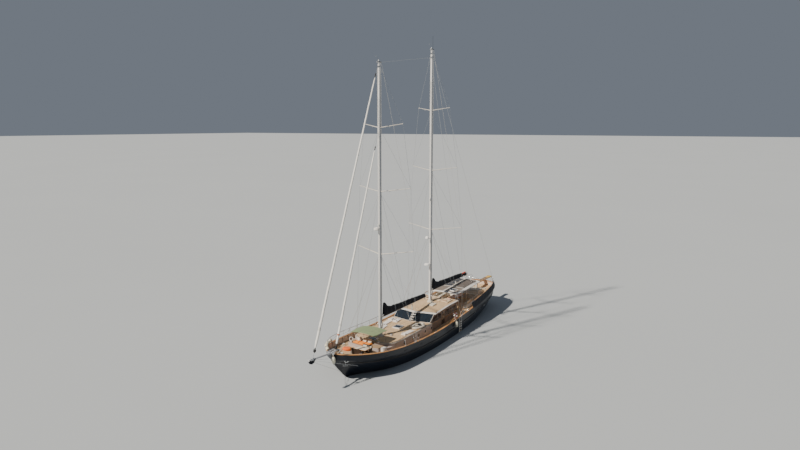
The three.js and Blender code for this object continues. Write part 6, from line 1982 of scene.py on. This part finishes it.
dark_wicker = finish("dark_wicker", {}, wicker)
CHAIR_BACK = ((-0.565, 0.0), (-0.30, -0.018), (0.0, 0.0), (0.30, -0.018), (0.565, 0.0),
              (0.565, 0.035), (0.30, 0.017), (0.0, 0.035), (-0.30, 0.017), (-0.565, 0.035))
CHAIRS_Y = 1.05
for name, node, at_x, way in (("aft_wicker_chairs", "chairs_aft", 13.12, 1),
                              ("fore_wicker_chairs", "chairs_fore", 14.52, -1)):
    floor = deck_level(at_x)
    chairs = Form()
    seat_pads = Form()

    def on_chair(u, v, w):
        return (at_x + way * u, CHAIRS_Y + way * v, floor + w)

    def between(a, b):
        """The low and high corners of the block between two points of the chair."""
        pairs = list(zip(on_chair(*a), on_chair(*b)))
        return [min(pair) for pair in pairs], [max(pair) for pair in pairs]

    def slab(u0, u1, v0, v1, w0, w1, edge=0.02):
        chairs.block(*between((u0, v0, w0), (u1, v1, w1)), edge)

    slab(-0.25, 0.25, -0.57, 0.57, 0.33, 0.41)
    slab(-0.235, 0.235, -0.55, 0.55, 0.24, 0.335, 0.015)
    chairs.loft([[on_chair(u + dx, v, w) for v, dx in CHAIR_BACK]
                 for u, w in ((-0.235, 0.38), (-0.25, 0.55), (-0.28, 0.70), (-0.295, 0.83))])
    chairs.tube([on_chair(-0.285, v, 0.845 - 0.03 * abs(v) ** 2)
                 for v in (-0.57, -0.4, -0.2, 0.0, 0.2, 0.4, 0.57)], 0.026, 8)
    for v in (-0.545, 0.0, 0.545):
        slab(-0.23, 0.22, v - 0.02, v + 0.02, 0.40, 0.60, 0.015)
        chairs.tube([on_chair(-0.27, v, 0.70), on_chair(-0.20, v, 0.655), on_chair(0.0, v, 0.635),
                     on_chair(0.20, v, 0.615), on_chair(0.25, v, 0.57), on_chair(0.25, v, 0.34)], 0.026, 8)
    for u in (-0.215, 0.215):
        for v in (-0.53, 0.53):
            a, b = on_chair(u, v, 0.30), on_chair(u, v, deck_level(at_x + way * u) - floor + 0.004)
            chairs.tube([a, b], (0.024, 0.018), 8)
    for v in (-0.275, 0.275):
        cushion(seat_pads, *between((-0.215, v - 0.24, 0.412), (0.225, v + 0.24, 0.475)), soft=0.028,
                crown=0.025)
        cushion(seat_pads, *between((-0.24, v - 0.23, 0.50), (-0.17, v + 0.23, 0.80)),
                Matrix.Rotation(-way * math.radians(9), 3, "Y"), soft=0.03, crown=0.0)
    chairs.piece(name, [dark_wicker], slot="wicker", replaces=[node])
    made = seat_pads.piece(name + "_pads", [cream_cloth], slot="cream_cloth", smooth=60)


# The awning. One sheet of sage green canvas is stretched over tubes on four raked legs, with hems, two long
# seams, and lacing round the tubes.
dressed("awning_frame", [stainless], smooth=60)
AWNING_AFT, AWNING_FORE, AWNING_HALF = 9.90, 12.25, 1.50


def awning_at(x, y):
    t = (x - AWNING_AFT) / (AWNING_FORE - AWNING_AFT)
    hollow = math.sin(math.pi * t) * math.sin(math.pi * (y / AWNING_HALF * 0.5 + 0.5))
    slack = -0.022 * hollow * (1.0 + math.cos(2 * math.pi * t * 2))
    return 3.43 + 0.07 * (1 - abs(2 * t - 1)) + 0.15 * (1 - (y / AWNING_HALF) ** 2) + slack + 0.004


# Sage green acrylic canvas, bleached in patches
sage_cloth = finish("sage_cloth", {"Sheen Weight": 0.1},
                    woven(FLAT, 260.0, 1.1, (0.165, 0.225, 0.105), (0.250, 0.315, 0.165), 0.8, (0.4, 0.6),
                          0.006))
awning = Form()
rings = []
for i in range(49):
    x = AWNING_AFT + (AWNING_FORE - AWNING_AFT) * i / 48
    ys = []
    for j in range(41):
        t = 2 * j / 40 - 1
        scallop = 0.020 * (1 - math.cos(2 * math.pi * i / 12)) * abs(t) ** 10
        ys.append(t * (AWNING_HALF - scallop))
    rings.append([(x, y, awning_at(x, y)) for y in ys]
                 + [(x, y, awning_at(x, y) - 0.005) for y in reversed(ys)])
awning.loft(rings)
made = awning.piece("awning_sheet", [sage_cloth], slot="sage_cloth", replaces=["awning"], smooth=60)
hems = Form()
HEM_HALF = 0.030


def hem(line, across):
    """A doubled strip of the sheet's cloth along a line, as wide as twice across."""
    dx, dy = across
    hems.loft([[(x + sx * dx, y + sx * dy, awning_at(x, y) + up)
                for sx, up in ((-1, -0.001), (1, -0.001), (1, 0.005), (-1, 0.005))] for x, y in line])


for y in (-AWNING_HALF + 0.055, -0.50, 0.50, AWNING_HALF - 0.055):
    hem([(AWNING_AFT + 0.02 + (AWNING_FORE - AWNING_AFT - 0.04) * k / 40, y) for k in range(41)],
        (0, HEM_HALF))
for x in (AWNING_AFT + 0.035, AWNING_FORE - 0.035):
    hem([(x, (AWNING_HALF - 0.05) * (k / 20 - 1)) for k in range(41)], (HEM_HALF, 0))
hem_made = hems.piece("awning_hems", [sage_cloth], slot="sage_cloth")
lacing = Form()
for side in (1, -1):
    for k in range(12):
        x = AWNING_AFT + 0.15 + 0.186 * k
        y = side * 1.35
        lacing.tube([(x + 0.016 * math.cos(a), y + 0.031 * math.cos(a),
                      3.412 + 0.031 * math.sin(a) + (0.006 if math.sin(a) > 0 else 0))
                     for a in around(12)], 0.006, 5, looped=True)
lacing.piece("awning_lacing", [rope], slot="steel")
awning_feet = Form()
for x in (10.05, 10.55):
    for side in (1, -1):
        awning_feet.turned([(0, -0.002), (0.06, 0), (0.06, 0.010), (0.032, 0.02), (0.03, 0.05), (0, 0.05)],
                           (x, side * 1.35, TRUNK_TOP + 0.008), (0, 0, 1), 18)
awning_feet.piece("awning_feet", [stainless], slot="steel")


# Roof sunpads. Four sand-coloured pads lie side by side on the roof aft of the main mast, and one by the
# mast's foot. Rolled towels in tan and rose lie on them.
def on_roof(x, y):
    return roof_top(x, y) + 0.018


sand_cloth = finish("sand_cloth", {"Sheen Weight": 0.1},
                    clouded(2.5, 4.0, (0.56, 0.42, 0.27), (0.72, 0.57, 0.39), (0.1, 0.75), 0.005))
roof_pad = Form()
roof_pads = []
for y0, y1 in ((-2.0, -1.02), (-0.98, -0.02), (0.02, 0.98), (1.02, 2.0)):
    middle = (y0 + y1) / 2
    lean = Matrix.Rotation(math.atan(-2 * ROOF_CAMBER * middle / ROOF_HALF ** 2), 3, "X")
    low = (-3.88, y0, on_roof(-3.2, middle) + 0.004)
    high = (-2.46, y1, on_roof(-3.2, middle) + 0.105)
    cushion(roof_pad, low, high, lean, crown=0.02, step=0.045)
    roof_pads.append((low, high, (0, 0.355)))
made = roof_pad.piece("roof_pads", [sand_cloth], slot="cream_cloth", replaces=["roof_sunpad"], smooth=60)
swelled(made, roof_pads)
mast_pad = Form()
lean = Matrix.Rotation(math.atan(0.0595), 3,
                       "Y") @ Matrix.Rotation(math.atan(-2 * ROOF_CAMBER * 0.75 / ROOF_HALF ** 2), 3, "X")
cushion(mast_pad, (-1.42, 0.36, on_roof(-0.95, 0.75) + 0.006), (-0.48, 1.14, on_roof(-0.95, 0.75) + 0.10),
        lean)
made = mast_pad.piece("mast_foot_pad", [cream_cloth], slot="cream_cloth", smooth=60)


def towelling(pale):
    """Looped cotton in one colour, paler where the loops stand."""
    return clouded(150.0, 2.0, tuple(part * 0.72 for part in pale), pale, (0.05, 0.9), 0.004)


tan_towel = finish("tan_towelling", {"Sheen Weight": 0.3}, towelling((0.50, 0.33, 0.20)))
rose_towel = finish("rose_towelling", {"Sheen Weight": 0.3}, towelling((0.66, 0.40, 0.34)))
brown_towel = finish("brown_towelling", {"Sheen Weight": 0.3}, towelling((0.20, 0.11, 0.07)))


def rolled(form, at, turn, long, radius):
    """A towel rolled up: a spiral section carried along, with soft ends."""
    at = Vector(at)
    along = Vector((math.cos(turn), math.sin(turn), 0))
    side = along.cross(Vector((0, 0, 1)))
    spiral = [(radius * (0.30 + 0.70 * k / 60), 2 * math.pi * 3 * k / 60) for k in range(61)]
    section = spiral + [(r - 0.012, a) for r, a in reversed(spiral)]
    rings = []
    for t, grow in ((-0.5, 0.94), (-0.485, 1.0), (-0.2, 1.01), (0.0, 0.99), (0.2, 1.0), (0.485, 1.0),
                    (0.5, 0.95)):
        rings.append([at + along * (t * long) + (side * math.cos(a) + Vector((0, 0, 1)) * math.sin(a))
                      * (r * grow) + Vector((0, 0, radius)) for r, a in section])
    form.loft(rings)


towels = Form()
for coat, x, y, turn, long in ((0, -2.68, 1.50, 1.45, 0.62), (1, -3.55, 0.52, 0.2, 0.58),
                               (2, -2.75, -0.55, 1.6, 0.66),
                               (1, -3.60, 1.62, 1.1, 0.55), (0, -3.62, -1.48, 1.5, 0.60)):
    towels.coat = coat
    rolled(towels, (x, y, on_roof(x, y) + 0.118), turn, long, 0.075)
towels.piece("rolled_towels", [tan_towel, rose_towel, brown_towel], smooth=50)


# Mats and seats on the trunk. White sun mats lie along both edges of the trunk's top, and an oval lounge
# seat with a cream bolster, a cream pad and one small dark cushion stands by the windscreen.
white_cloth = finish("white_cloth", {"Sheen Weight": 0.1},
                     clouded(3.0, 4.0, (0.66, 0.60, 0.56), (0.85, 0.83, 0.80), (0.1, 0.75), 0.006))
ON_TRUNK = TRUNK_TOP + 0.012
mats = Form()
for x, y, turn, long, wide in ((6.72, 2.00, -3, 1.80, 0.56), (6.65, -1.25, 9, 1.80, 0.60),
                               (5.15, -1.75, 6, 1.80, 0.60),
                               (3.55, -1.90, 4, 1.10, 0.58), (3.62, -1.20, 8, 1.30, 0.55)):
    lean = Matrix.Rotation(math.radians(turn), 3, "Z")
    cushion(mats, (x - long / 2, y - wide / 2, ON_TRUNK), (x + long / 2, y + wide / 2, ON_TRUNK + 0.085),
            lean, soft=0.035, crown=0.02)
    head = Vector((x + (long / 2 - 0.16), y, 0))
    cushion(mats, (head.x - 0.13, head.y - wide * 0.42, ON_TRUNK + 0.095),
            (head.x + 0.13, head.y + wide * 0.42, ON_TRUNK + 0.20), lean, soft=0.045, crown=0.02)
made = mats.piece("trunk_sun_mats", [white_cloth], slot="cream_cloth", smooth=60)
OVAL = Vector((4.35, 1.95, ON_TRUNK))
oval = Form()
oval.tube([OVAL + Vector((0.92 * math.cos(a), 0.50 * math.sin(a), 0.115)) for a in around(40)],
          [0.115 * (1 - 0.06 * math.cos(2 * math.pi * k / 5)) for k in range(40)], 14, looped=True)
made = oval.piece("lounge_bolster", [cream_cloth], slot="cream_cloth", smooth=70)
inner = Form()
rings = []
for scale, up in ((0.0, 0.012), (0.8, 0.012), (1.0, 0.05), (0.97, 0.085), (0.8, 0.10), (0.4, 0.105),
                  (0.05, 0.10)):
    rings.append([OVAL + Vector((0.82 * scale * math.cos(a), 0.40 * scale * math.sin(a), up))
                  for a in around(40)])
inner.loft(rings)
made = inner.piece("lounge_pad", [cream_cloth], smooth=60)
small = Form()
cushion(small, OVAL + Vector((-0.62, -0.30, 0.112)), OVAL + Vector((-0.26, 0.02, 0.235)),
        Matrix.Rotation(0.3, 3, "Z"), crown=0.02)
made = small.piece("lounge_cushion", [cover_cloth], smooth=60)


# Passerelle. A varnished gangway hinged on a white post: dark tread matting between two stringers, teak
# cross slats, a yellow outer end with rollers, and sockets for its rope rails.
dressed("passerelle", [varnished])
dressed("passerelle_post", [white_paint])
HINGE = Vector((-14.5, 0.3, 3.08))


dark_matting = finish("dark_matting", {}, clouded(90.0, 3.0, (0.045, 0.030, 0.022), (0.100, 0.070, 0.050),
                                                  (0.1, 0.85), 0.003))
yellow_paint = finish("yellow_enamel", {},
                      clouded(4.0, 5.0, (0.62, 0.36, 0.06), (0.80, 0.52, 0.12), (0.2, 0.35)))


def on_gangway(low, high, edge):
    gangway.block(HINGE + Vector(low), HINGE + Vector(high), edge)


gangway = Form()
on_gangway((-3.35, -0.19, 0.068), (-0.75, 0.19, 0.080), 0.004)
gangway.coat = 1
for k in range(9):
    x = -0.95 - 0.28 * k
    on_gangway((x - 0.02, -0.20, 0.078), (x + 0.02, 0.20, 0.096), 0.006)
gangway.coat = 2
on_gangway((-4.43, -0.205, 0.068), (-3.40, 0.205, 0.086), 0.006)
for side in (1, -1):
    on_gangway((-4.44, side * 0.24 - 0.03, -0.052), (-3.45, side * 0.24 + 0.03, 0.094), 0.010)
gangway.coat = 3
on_gangway((-0.70, -0.20, 0.068), (-0.16, 0.20, 0.090), 0.01)
gangway.coat = 4
for x in (-0.5, -1.7, -2.9, -4.1):
    for side in (1, -1):
        gangway.turned([(0, 0), (0.034, 0), (0.034, 0.02), (0.02, 0.028), (0.02, 0.075), (0, 0.075)],
                       HINGE + Vector((x, side * 0.24, 0.088)), (0, 0, 1), 14)
gangway.coat = 5
for side in (1, -1):
    gangway.turned([(0, -0.035), (0.065, -0.035), (0.072, 0), (0.065, 0.035), (0, 0.035)],
                   HINGE + Vector((-4.33, side * 0.12, -0.01)), (0, 1, 0), 20)
gangway.piece("passerelle_tread_and_fittings",
              [dark_matting, laid_teak, yellow_paint, white_paint, stainless, black_rubber],
              body="passerelle", slot="varnish")
post_cap = Form()
post_cap.block((-14.62, 0.14, 1.92), (-14.38, 0.46, 1.945), 0.01)
post_cap.coat = 1
for side in (1, -1):
    post_cap.turned([(0, 0), (0.055, 0), (0.045, 0.025), (0, 0.028)], HINGE + Vector((0, side * 0.27, 0)),
                    (0, side, 0), 16)
post_cap.piece("passerelle_hinge_caps", [white_paint, stainless], slot="steel")


# Stern rails. Steel tube carries the guard rail round each quarter to the passerelle, and a low bar
# stands on three posts over the hardtop's after edge.
stern_rails = Form()
for side in (1, -1):
    stations = (-14.2, -14.9, -15.5, -16.0, -16.4, -16.7)
    top = [Vector((x, side * max(0.25, deck_half(x) - RAIL_INSET), rail_top(x) + RAIL_HIGH))
           for x in stations]
    stern_rails.tube(top + [top[-1] + Vector((-0.06, -side * 0.10, -0.30)),
                            top[-1] + Vector((-0.06, -side * 0.12, -RAIL_HIGH + 0.01))],
                     0.024, 10)
    stern_rails.tube([point + Vector((0, 0, -RAIL_HIGH / 2)) for point in top], 0.010, 8)
    for point in top[2:5:2]:
        stern_rails.tube([point, point + Vector((0, 0, -RAIL_HIGH + 0.005))], 0.018, 8)
        stern_rails.turned([(0, 0), (0.055, 0), (0.055, 0.012), (0.030, 0.03), (0, 0.03)],
                           point - Vector((0, 0, RAIL_HIGH - 0.002)), (0, 0, 1), 16)
BAR_X = -11.58
stern_rails.tube([(BAR_X, y, hardtop_at(BAR_X, y) + up) for y, up in
                  ((-1.86, 0.30), (-1.80, 0.36), (0, 0.33), (1.80, 0.36), (1.86, 0.30))], 0.022, 10)
for y in (-1.80, 0.0, 1.80):
    stern_rails.tube([(BAR_X, y, hardtop_at(BAR_X, y) - 0.01), (BAR_X, y, hardtop_at(BAR_X, y) + 0.34)],
                     0.016, 8)
stern_rails.piece("stern_rails", [stainless], slot="steel", smooth=60)


# Propeller and rudder. A bronze propeller with a fairing nut runs ahead of a plate rudder that is painted
# like the bottom, with bolted straps on its stock.
antifouling = finish("antifouling", {}, clouded(2.2, 6.0, *BOTTOM_RED, (0.15, 0.6), 0.003))
dressed("propeller", [bronze], smooth=35)
dressed("rudder", [antifouling], smooth=35, edge=0.012)
low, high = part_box("propeller")
shaft_end = Form()
shaft_end.turned([(0, 0), (0.10, 0), (0.095, 0.03), (0.075, 0.09), (0.045, 0.13), (0, 0.15)],
                 (low.x + 0.004, (low.y + high.y) / 2, (low.z + high.z) / 2), (-1, 0, 0), 24)
shaft_end.piece("propeller_nut", [bronze], body="propeller", slot="bronze")


# Boarding ladder. Stainless tube with teak treads hangs over the port rail on padded hooks and ends just
# above the water.
dressed("boarding_ladder", [stainless], smooth=50, edge=0.004)
low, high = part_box("boarding_ladder")
ladder_treads = Form()
for z in (0.35, 0.64, 0.93, 1.22, 1.51):
    y = high.y - 0.06 - 0.008 * (1.9 - z)
    ladder_treads.block((-2.53, y - 0.055, z + 0.034), (-2.07, y + 0.055, z + 0.048), 0.004)
ladder_treads.piece("ladder_treads", [laid_teak], slot="teak")


# Rail woodwork. Varnished handrails are clamped on the guard rails aft, and others slope to the boarding
# gate.
wood_rails = Form()
for side in (1, -1):
    line = [(x, side * (deck_half(x) - RAIL_INSET), rail_top(x) + RAIL_HIGH + 0.028) for x in
            [-6.9 - 0.6 * k for k in range(12)]]
    wood_rails.loft([[(x, y - 0.038, z - 0.012), (x, y + 0.038, z - 0.012), (x, y + 0.030, z + 0.020),
                      (x, y - 0.030, z + 0.020)]
                     for x, y, z in line])
for gate in (((-3.68, 0.60), (-3.3, 0.52), (-2.9, 0.36), (-2.62, 0.14), (-2.60, 0.01)),
             ((-0.2, 0.01), (-0.35, 0.10), (-0.9, 0.22), (-1.5, 0.34), (-1.96, 0.36), (-2.0, 0.01))):
    wood_rails.tube([(x, deck_half(x) - RAIL_INSET, rail_top(x) + up) for x, up in gate], 0.026, 8)
wood_rails.piece("varnished_handrails", [varnished], slot="varnish")


# Fenders. Cream rubber with blue-black ends: one hung at the port bow, one by the gate, and a row
# stowed along the starboard bow rail, each on a lanyard.
cream_rubber = finish("cream_rubber", {},
                      clouded(5.0, 5.0, (0.52, 0.49, 0.36), (0.78, 0.75, 0.62), (0.25, 0.35)))
FENDER = [(0, 0), (0.035, 0.0), (0.045, 0.03), (0.075, 0.06), (0.13, 0.11), (0.155, 0.20), (0.16, 0.35),
          (0.155, 0.50), (0.13, 0.59), (0.075, 0.64), (0.045, 0.67), (0.035, 0.70), (0, 0.70)]


def fender(at, axis, size, tie):
    """A fender from its foot along an axis, with black ends and a lanyard to its tie."""
    at, axis = Vector(at), Vector(axis).normalized()
    fenders.coat = 0
    fenders.turned([(radius * size, along * size) for radius, along in FENDER[2:-2]], at, axis, 24)
    fenders.coat = 1
    for near in (0.0, 0.64):
        fenders.turned([(0, near * size), (0.045 * size, near * size),
                        (0.078 * size, (near + 0.06 * (near == 0)) * size),
                        (0, (near + 0.062) * size)], at, axis, 20)
    fenders.coat = 2
    head = at + axis * 0.70 * size
    fenders.tube([head - axis * 0.02, head.lerp(Vector(tie), 0.5) + Vector((0, 0, 0.01)), Vector(tie)],
                 0.008, 6)


fenders = Form()
fender((17.40, 0.34, 2.11), (0.03, -0.02, 1), 1.10, (17.19, 0.17, rail_top(17.1) + 0.005))
gate_x = -1.12
fender((gate_x, skin(gate_x, 1.3) + 0.225, 1.10), (0, 0.04, 1), 1.12,
       (gate_x, deck_half(gate_x) + 0.02, rail_top(gate_x) + 0.01))
for x, size in ((16.35, 1.0), (15.50, 1.05), (14.62, 1.05), (13.72, 1.0)):
    y = -deck_half(x)
    lift = rail_top(x) + 0.17
    slope = (deck_half(x - 0.4) - deck_half(x + 0.4)) / 0.8
    fender((x + 0.36, y - 0.02 + slope * 0.36, lift), (-1, -slope, 0.04), size,
           (x - 0.42, y - slope * 0.42 + 0.03, lift + 0.24))
fenders.piece("fenders", [cream_rubber, black_rubber, rope], smooth=55)


# Mooring gear. Cleats in polished steel on the cap rail, coiled lines, and a cowl
# ventilator with a dark mouth on the starboard end of the bench.
mooring = Form()
for x in (15.4, 12.0, 3.4, -5.0, -9.6, -13.6):
    for side in (1, -1):
        y = side * (deck_half(x) - 0.03)
        z = rail_top(x) + 0.002
        turn = math.atan2(side * (deck_half(x + 0.3) - deck_half(x - 0.3)), 0.6)
        along = Vector((math.cos(turn), math.sin(turn), 0))
        at = Vector((x + 0.32 if x == 12.0 else x, y, z))
        for step in (-0.07, 0.07):
            mooring.turned([(0, 0), (0.035, 0), (0.022, 0.02), (0.018, 0.06), (0, 0.06)], at + along * step,
                           (0, 0, 1), 12)
        mooring.tube([at + along * t + Vector((0, 0, 0.068 + lift)) for t, lift in
                      ((-0.19, 0.012), (-0.12, 0.002), (0.0, 0.0), (0.12, 0.002), (0.19, 0.012))],
                     [0.012, 0.019, 0.021, 0.019, 0.012], 10)
mooring.piece("rail_cleats", [stainless], slot="steel", smooth=55)
LINE_RADIUS = 0.0115
coils = Form()
for x, y, size in ((15.35, 0.70, 0.24), (14.9, -0.75, 0.26), (-15.2, 1.05, 0.26), (-15.2, -1.1, 0.26),
                   (11.7, -2.75, 0.20)):
    z = max(deck_level(x - 0.25), deck_level(x + 0.25)) + 0.012
    path = []
    for k in range(5 * 24):
        a = 2 * math.pi * k / 24
        radius = size - 0.024 * (k // 24) - 0.001 * (k % 24)
        path.append((x + radius * math.cos(a), y + radius * math.sin(a), z + 0.003 * math.sin(3 * a)))
    coils.tube(path, LINE_RADIUS, 7)
    for ring in range(2):
        path = [(x + (size - 0.02) * math.cos(a) + 0.008 * math.sin(2.3 * a + ring),
                 y + (size - 0.02) * math.sin(a), z + 0.022 + 0.020 * ring)
                for a in around(24)]
        coils.tube(path, LINE_RADIUS, 7, looped=True)
coils.piece("coiled_mooring_lines", [rope], smooth=60)
cowl = Form()
cowl_at = Vector((11.64, -1.76, BENCH_TOP + 0.010))
cowl.tube([cowl_at + Vector(p) for p in ((0, 0, 0), (0, 0, 0.12), (0.0, 0, 0.21), (0.02, 0.01, 0.30),
                                         (0.072, 0.031, 0.376), (0.118, 0.049, 0.398))],
          [0.100, 0.095, 0.100, 0.125, 0.165, 0.190], 24)
# A dark disc closes the mouth, as the painted shade of the cowl's hollow inside.
cowl.coat = 1
face = cowl_at + Vector((0.135, 0.056, 0.407))
COWL_OUT = (0.85, 0.34, 0.40)
cowl.turned([(0, -0.02), (0.160, -0.015), (0.160, 0.017), (0, 0.018)], face, COWL_OUT, 24)
cowl.coat = 0
cowl.turned([(0.160, -0.03), (0.200, -0.02), (0.200, 0.012), (0.160, 0.016)], face, COWL_OUT, 24)
cowl.coat = 2
cowl.turned([(0, 0), (0.14, 0), (0.14, 0.014), (0.10, 0.02), (0, 0.02)], cowl_at, (0, 0, 1), 24)
cowl.piece("cowl_ventilator", [white_paint, dark_matting, stainless], smooth=60)


# Boxes and buoyancy. A white cool box stands on the deck by the port end of the bench, life rings in
# white and orange hang on the guard rails, and the navigation lights are boxed on the deckhouse sides.
boxes = Form()
BOX_AT = Vector((11.70, 2.18, deck_level(12.1) + 0.016))
boxes.block(BOX_AT + Vector((0.02, 0.02, 0)), BOX_AT + Vector((0.53, 0.44, 0.56)), 0.035)
boxes.block(BOX_AT + Vector((0, 0, 0.565)), BOX_AT + Vector((0.55, 0.46, 0.64)), 0.028)
boxes.coat = 1
for x in (0.12, 0.43):
    boxes.block(BOX_AT + Vector((x - 0.025, 0.430, 0.49)), BOX_AT + Vector((x + 0.025, 0.470, 0.58)), 0.006)
boxes.tube([BOX_AT + Vector(p) for p in ((0.18, 0.43, 0.36), (0.18, 0.475, 0.36), (0.37, 0.475, 0.36),
                                         (0.37, 0.43, 0.36))], 0.009, 8)
boxes.piece("cool_box", [white_paint, stainless])


orange_paint = finish("safety_orange", {}, clouded(4.0, 3.0, (0.66, 0.040, 0.008), (0.80, 0.075, 0.018),
                                                   (0.1, 0.5)))


def lens(tint):
    """Gloss in one colour, a little darker where it is dusty."""
    return clouded(6.0, 3.0, tuple(part * 0.7 for part in tint), tint, (0.1, 0.08))


maroon_paint = finish("maroon_paint", {}, lens((0.200, 0.018, 0.045)))
rings_form = Form()
for x, side in ((-1.62, 1), (-8.2, -1), (-13.0, -1)):
    y = side * (deck_half(x) - RAIL_INSET - 0.075)
    middle = Vector((x, y, rail_top(x) + 0.34))
    for k in range(8):
        rings_form.coat = (3 if side > 0 else 1) * (k % 2)
        arc = [2 * math.pi * (k + t / 6) / 8 for t in range(7)]
        rings_form.tube([middle + Vector((0.29 * math.cos(a), 0, 0.29 * math.sin(a))) for a in arc],
                        0.062 if k % 2 == 0 else 0.064, 14)
    rings_form.coat = 2
    rings_form.tube([middle + Vector((0.365 * math.cos(a), side * 0.012,
                                      0.365 * math.sin(a) + 0.01 * math.cos(4 * a)))
                     for a in around(32)], 0.006, 5, looped=True)
rings_form.piece("life_rings", [white_paint, orange_paint, rope, maroon_paint], smooth=60)


red_lens = finish("red_lens", {"Coat Weight": 0.5}, lens((0.40, 0.010, 0.010)))
green_lens = finish("green_lens", {"Coat Weight": 0.5}, lens((0.010, 0.22, 0.060)))
for name, side, tinted in (("port_light", 1, red_lens), ("starboard_light", -1, green_lens)):
    light = Form()
    y = side * (ROOF_HALF - 0.10)
    z = roof_top(1.0, y) + 0.004
    light.block((0.84, y - 0.035, z), (1.02, y + 0.035, z + 0.018), 0.006)
    light.block((0.82, y - side * 0.035 - 0.008, z), (1.04, y - side * 0.035 + 0.008, z + 0.085), 0.005)
    light.coat = 1
    light.turned([(0, 0.014), (0.024, 0.014), (0.026, 0.03), (0.026, 0.055), (0.020, 0.068), (0, 0.07)],
                 (0.93, y, z), (0, 0, 1), 20)
    light.piece(name, [black_metal, tinted], smooth=50)


# Gear on the main boom. An orange roll of cloth is lashed on the after end of the sail cover, beside a
# whitish pole that lies along it.
boom_z = MASTS["main"][3]
roll = Form()
roll_at = Vector((-10.95, 0.02, boom_z + BOOM_HIGH + 0.10))
rolled(roll, roll_at, math.pi + 0.03, 0.95, 0.10)
roll.coat = 1
for dx in (-0.30, 0.28):
    roll.tube([roll_at + Vector((dx, 0.115 * math.cos(a), 0.10 + 0.115 * math.sin(a))) for a in around(20)],
              0.009, 6, looped=True)
roll.coat = 2
roll.tube([(-8.95, -0.20, boom_z + 0.50), (-11.75, 0.15, boom_z + 0.30)], 0.024, 10)
roll.turned([(0, 0), (0.034, 0), (0.034, 0.08), (0.02, 0.10), (0, 0.10)], (-8.95, -0.20, boom_z + 0.50),
            (0.99, -0.12, 0.07), 12)
roll.piece("boom_end_roll_and_pole", [orange_paint, rope, white_paint], body="boom_main", smooth=50)


# Weather cloth. Navy canvas is stretched along the port quarter, from the guard rail down over the
# outside of the cap rail, lower round the stern, hemmed at both edges and laced to the rail.
navy_cloth = finish("navy_cloth", {"Sheen Weight": 0.08},
                    clouded(1.3, 4.0, (0.0040, 0.0055, 0.0110), (0.0110, 0.0145, 0.0250), (0.1, 0.78),
                            0.010, (0.5, 0.5, 1.5)))
CLOTH_XS = [-5.95 - 0.1075 * k for k in range(101)]
CLOTH_FOOT = -0.13                  # from the cap rail's top
CLOTH_OUT = 0.158                   # outside the deck's edge, down to the cap rail's top


def cloth_at(x, t, proud=0.0):
    """A point of the cloth: t is 0 at the foot and 1 at the guard rail."""
    low = max(0.0, (-14.3 - x) / 2.4)
    high = RAIL_HIGH + 0.01 - 0.42 * low * low * (3 - 2 * low)
    up = CLOTH_FOOT + (high - CLOTH_FOOT) * t - 0.018 * t * (0.5 - 0.5 * math.cos(2 * math.pi * x / 0.86))
    rise = max(0.0, up - 0.005) / (RAIL_HIGH + 0.01)
    slack = 0.012 * math.sin(math.pi * rise) * math.sin(x * 5.5 + 6 * t)
    inward = (CLOTH_OUT + RAIL_INSET - 0.034) * rise
    return Vector((x, deck_half(x) + CLOTH_OUT - inward + slack + proud, rail_top(x) + up))


cloth = Form()
cloth.loft([[cloth_at(x, k / 14) for k in range(15)]
            + [cloth_at(x, k / 14, -0.004) for k in range(14, -1, -1)] for x in CLOTH_XS])
made = cloth.piece("weather_cloth", [navy_cloth], smooth=60)
hems = Form()
for t in (0.02, 0.98):
    hems.loft([[cloth_at(x, t - 0.03, 0.001), cloth_at(x, t + 0.03, 0.001), cloth_at(x, t + 0.03, 0.005),
                cloth_at(x, t - 0.03, 0.005)]
               for x in CLOTH_XS])
hem_made = hems.piece("weather_cloth_hems", [navy_cloth])
laces = Form()
for k in range(20):
    x = -6.05 - 0.43 * k
    middle = Vector((x, deck_half(x) - RAIL_INSET, rail_top(x) + RAIL_HIGH - 0.012))
    laces.tube([middle + Vector((0.014 * math.cos(a), 0.046 * math.cos(a), 0.050 * math.sin(a)))
                for a in around(12)], 0.005, 5, looped=True)
laces.piece("weather_cloth_laces", [rope])
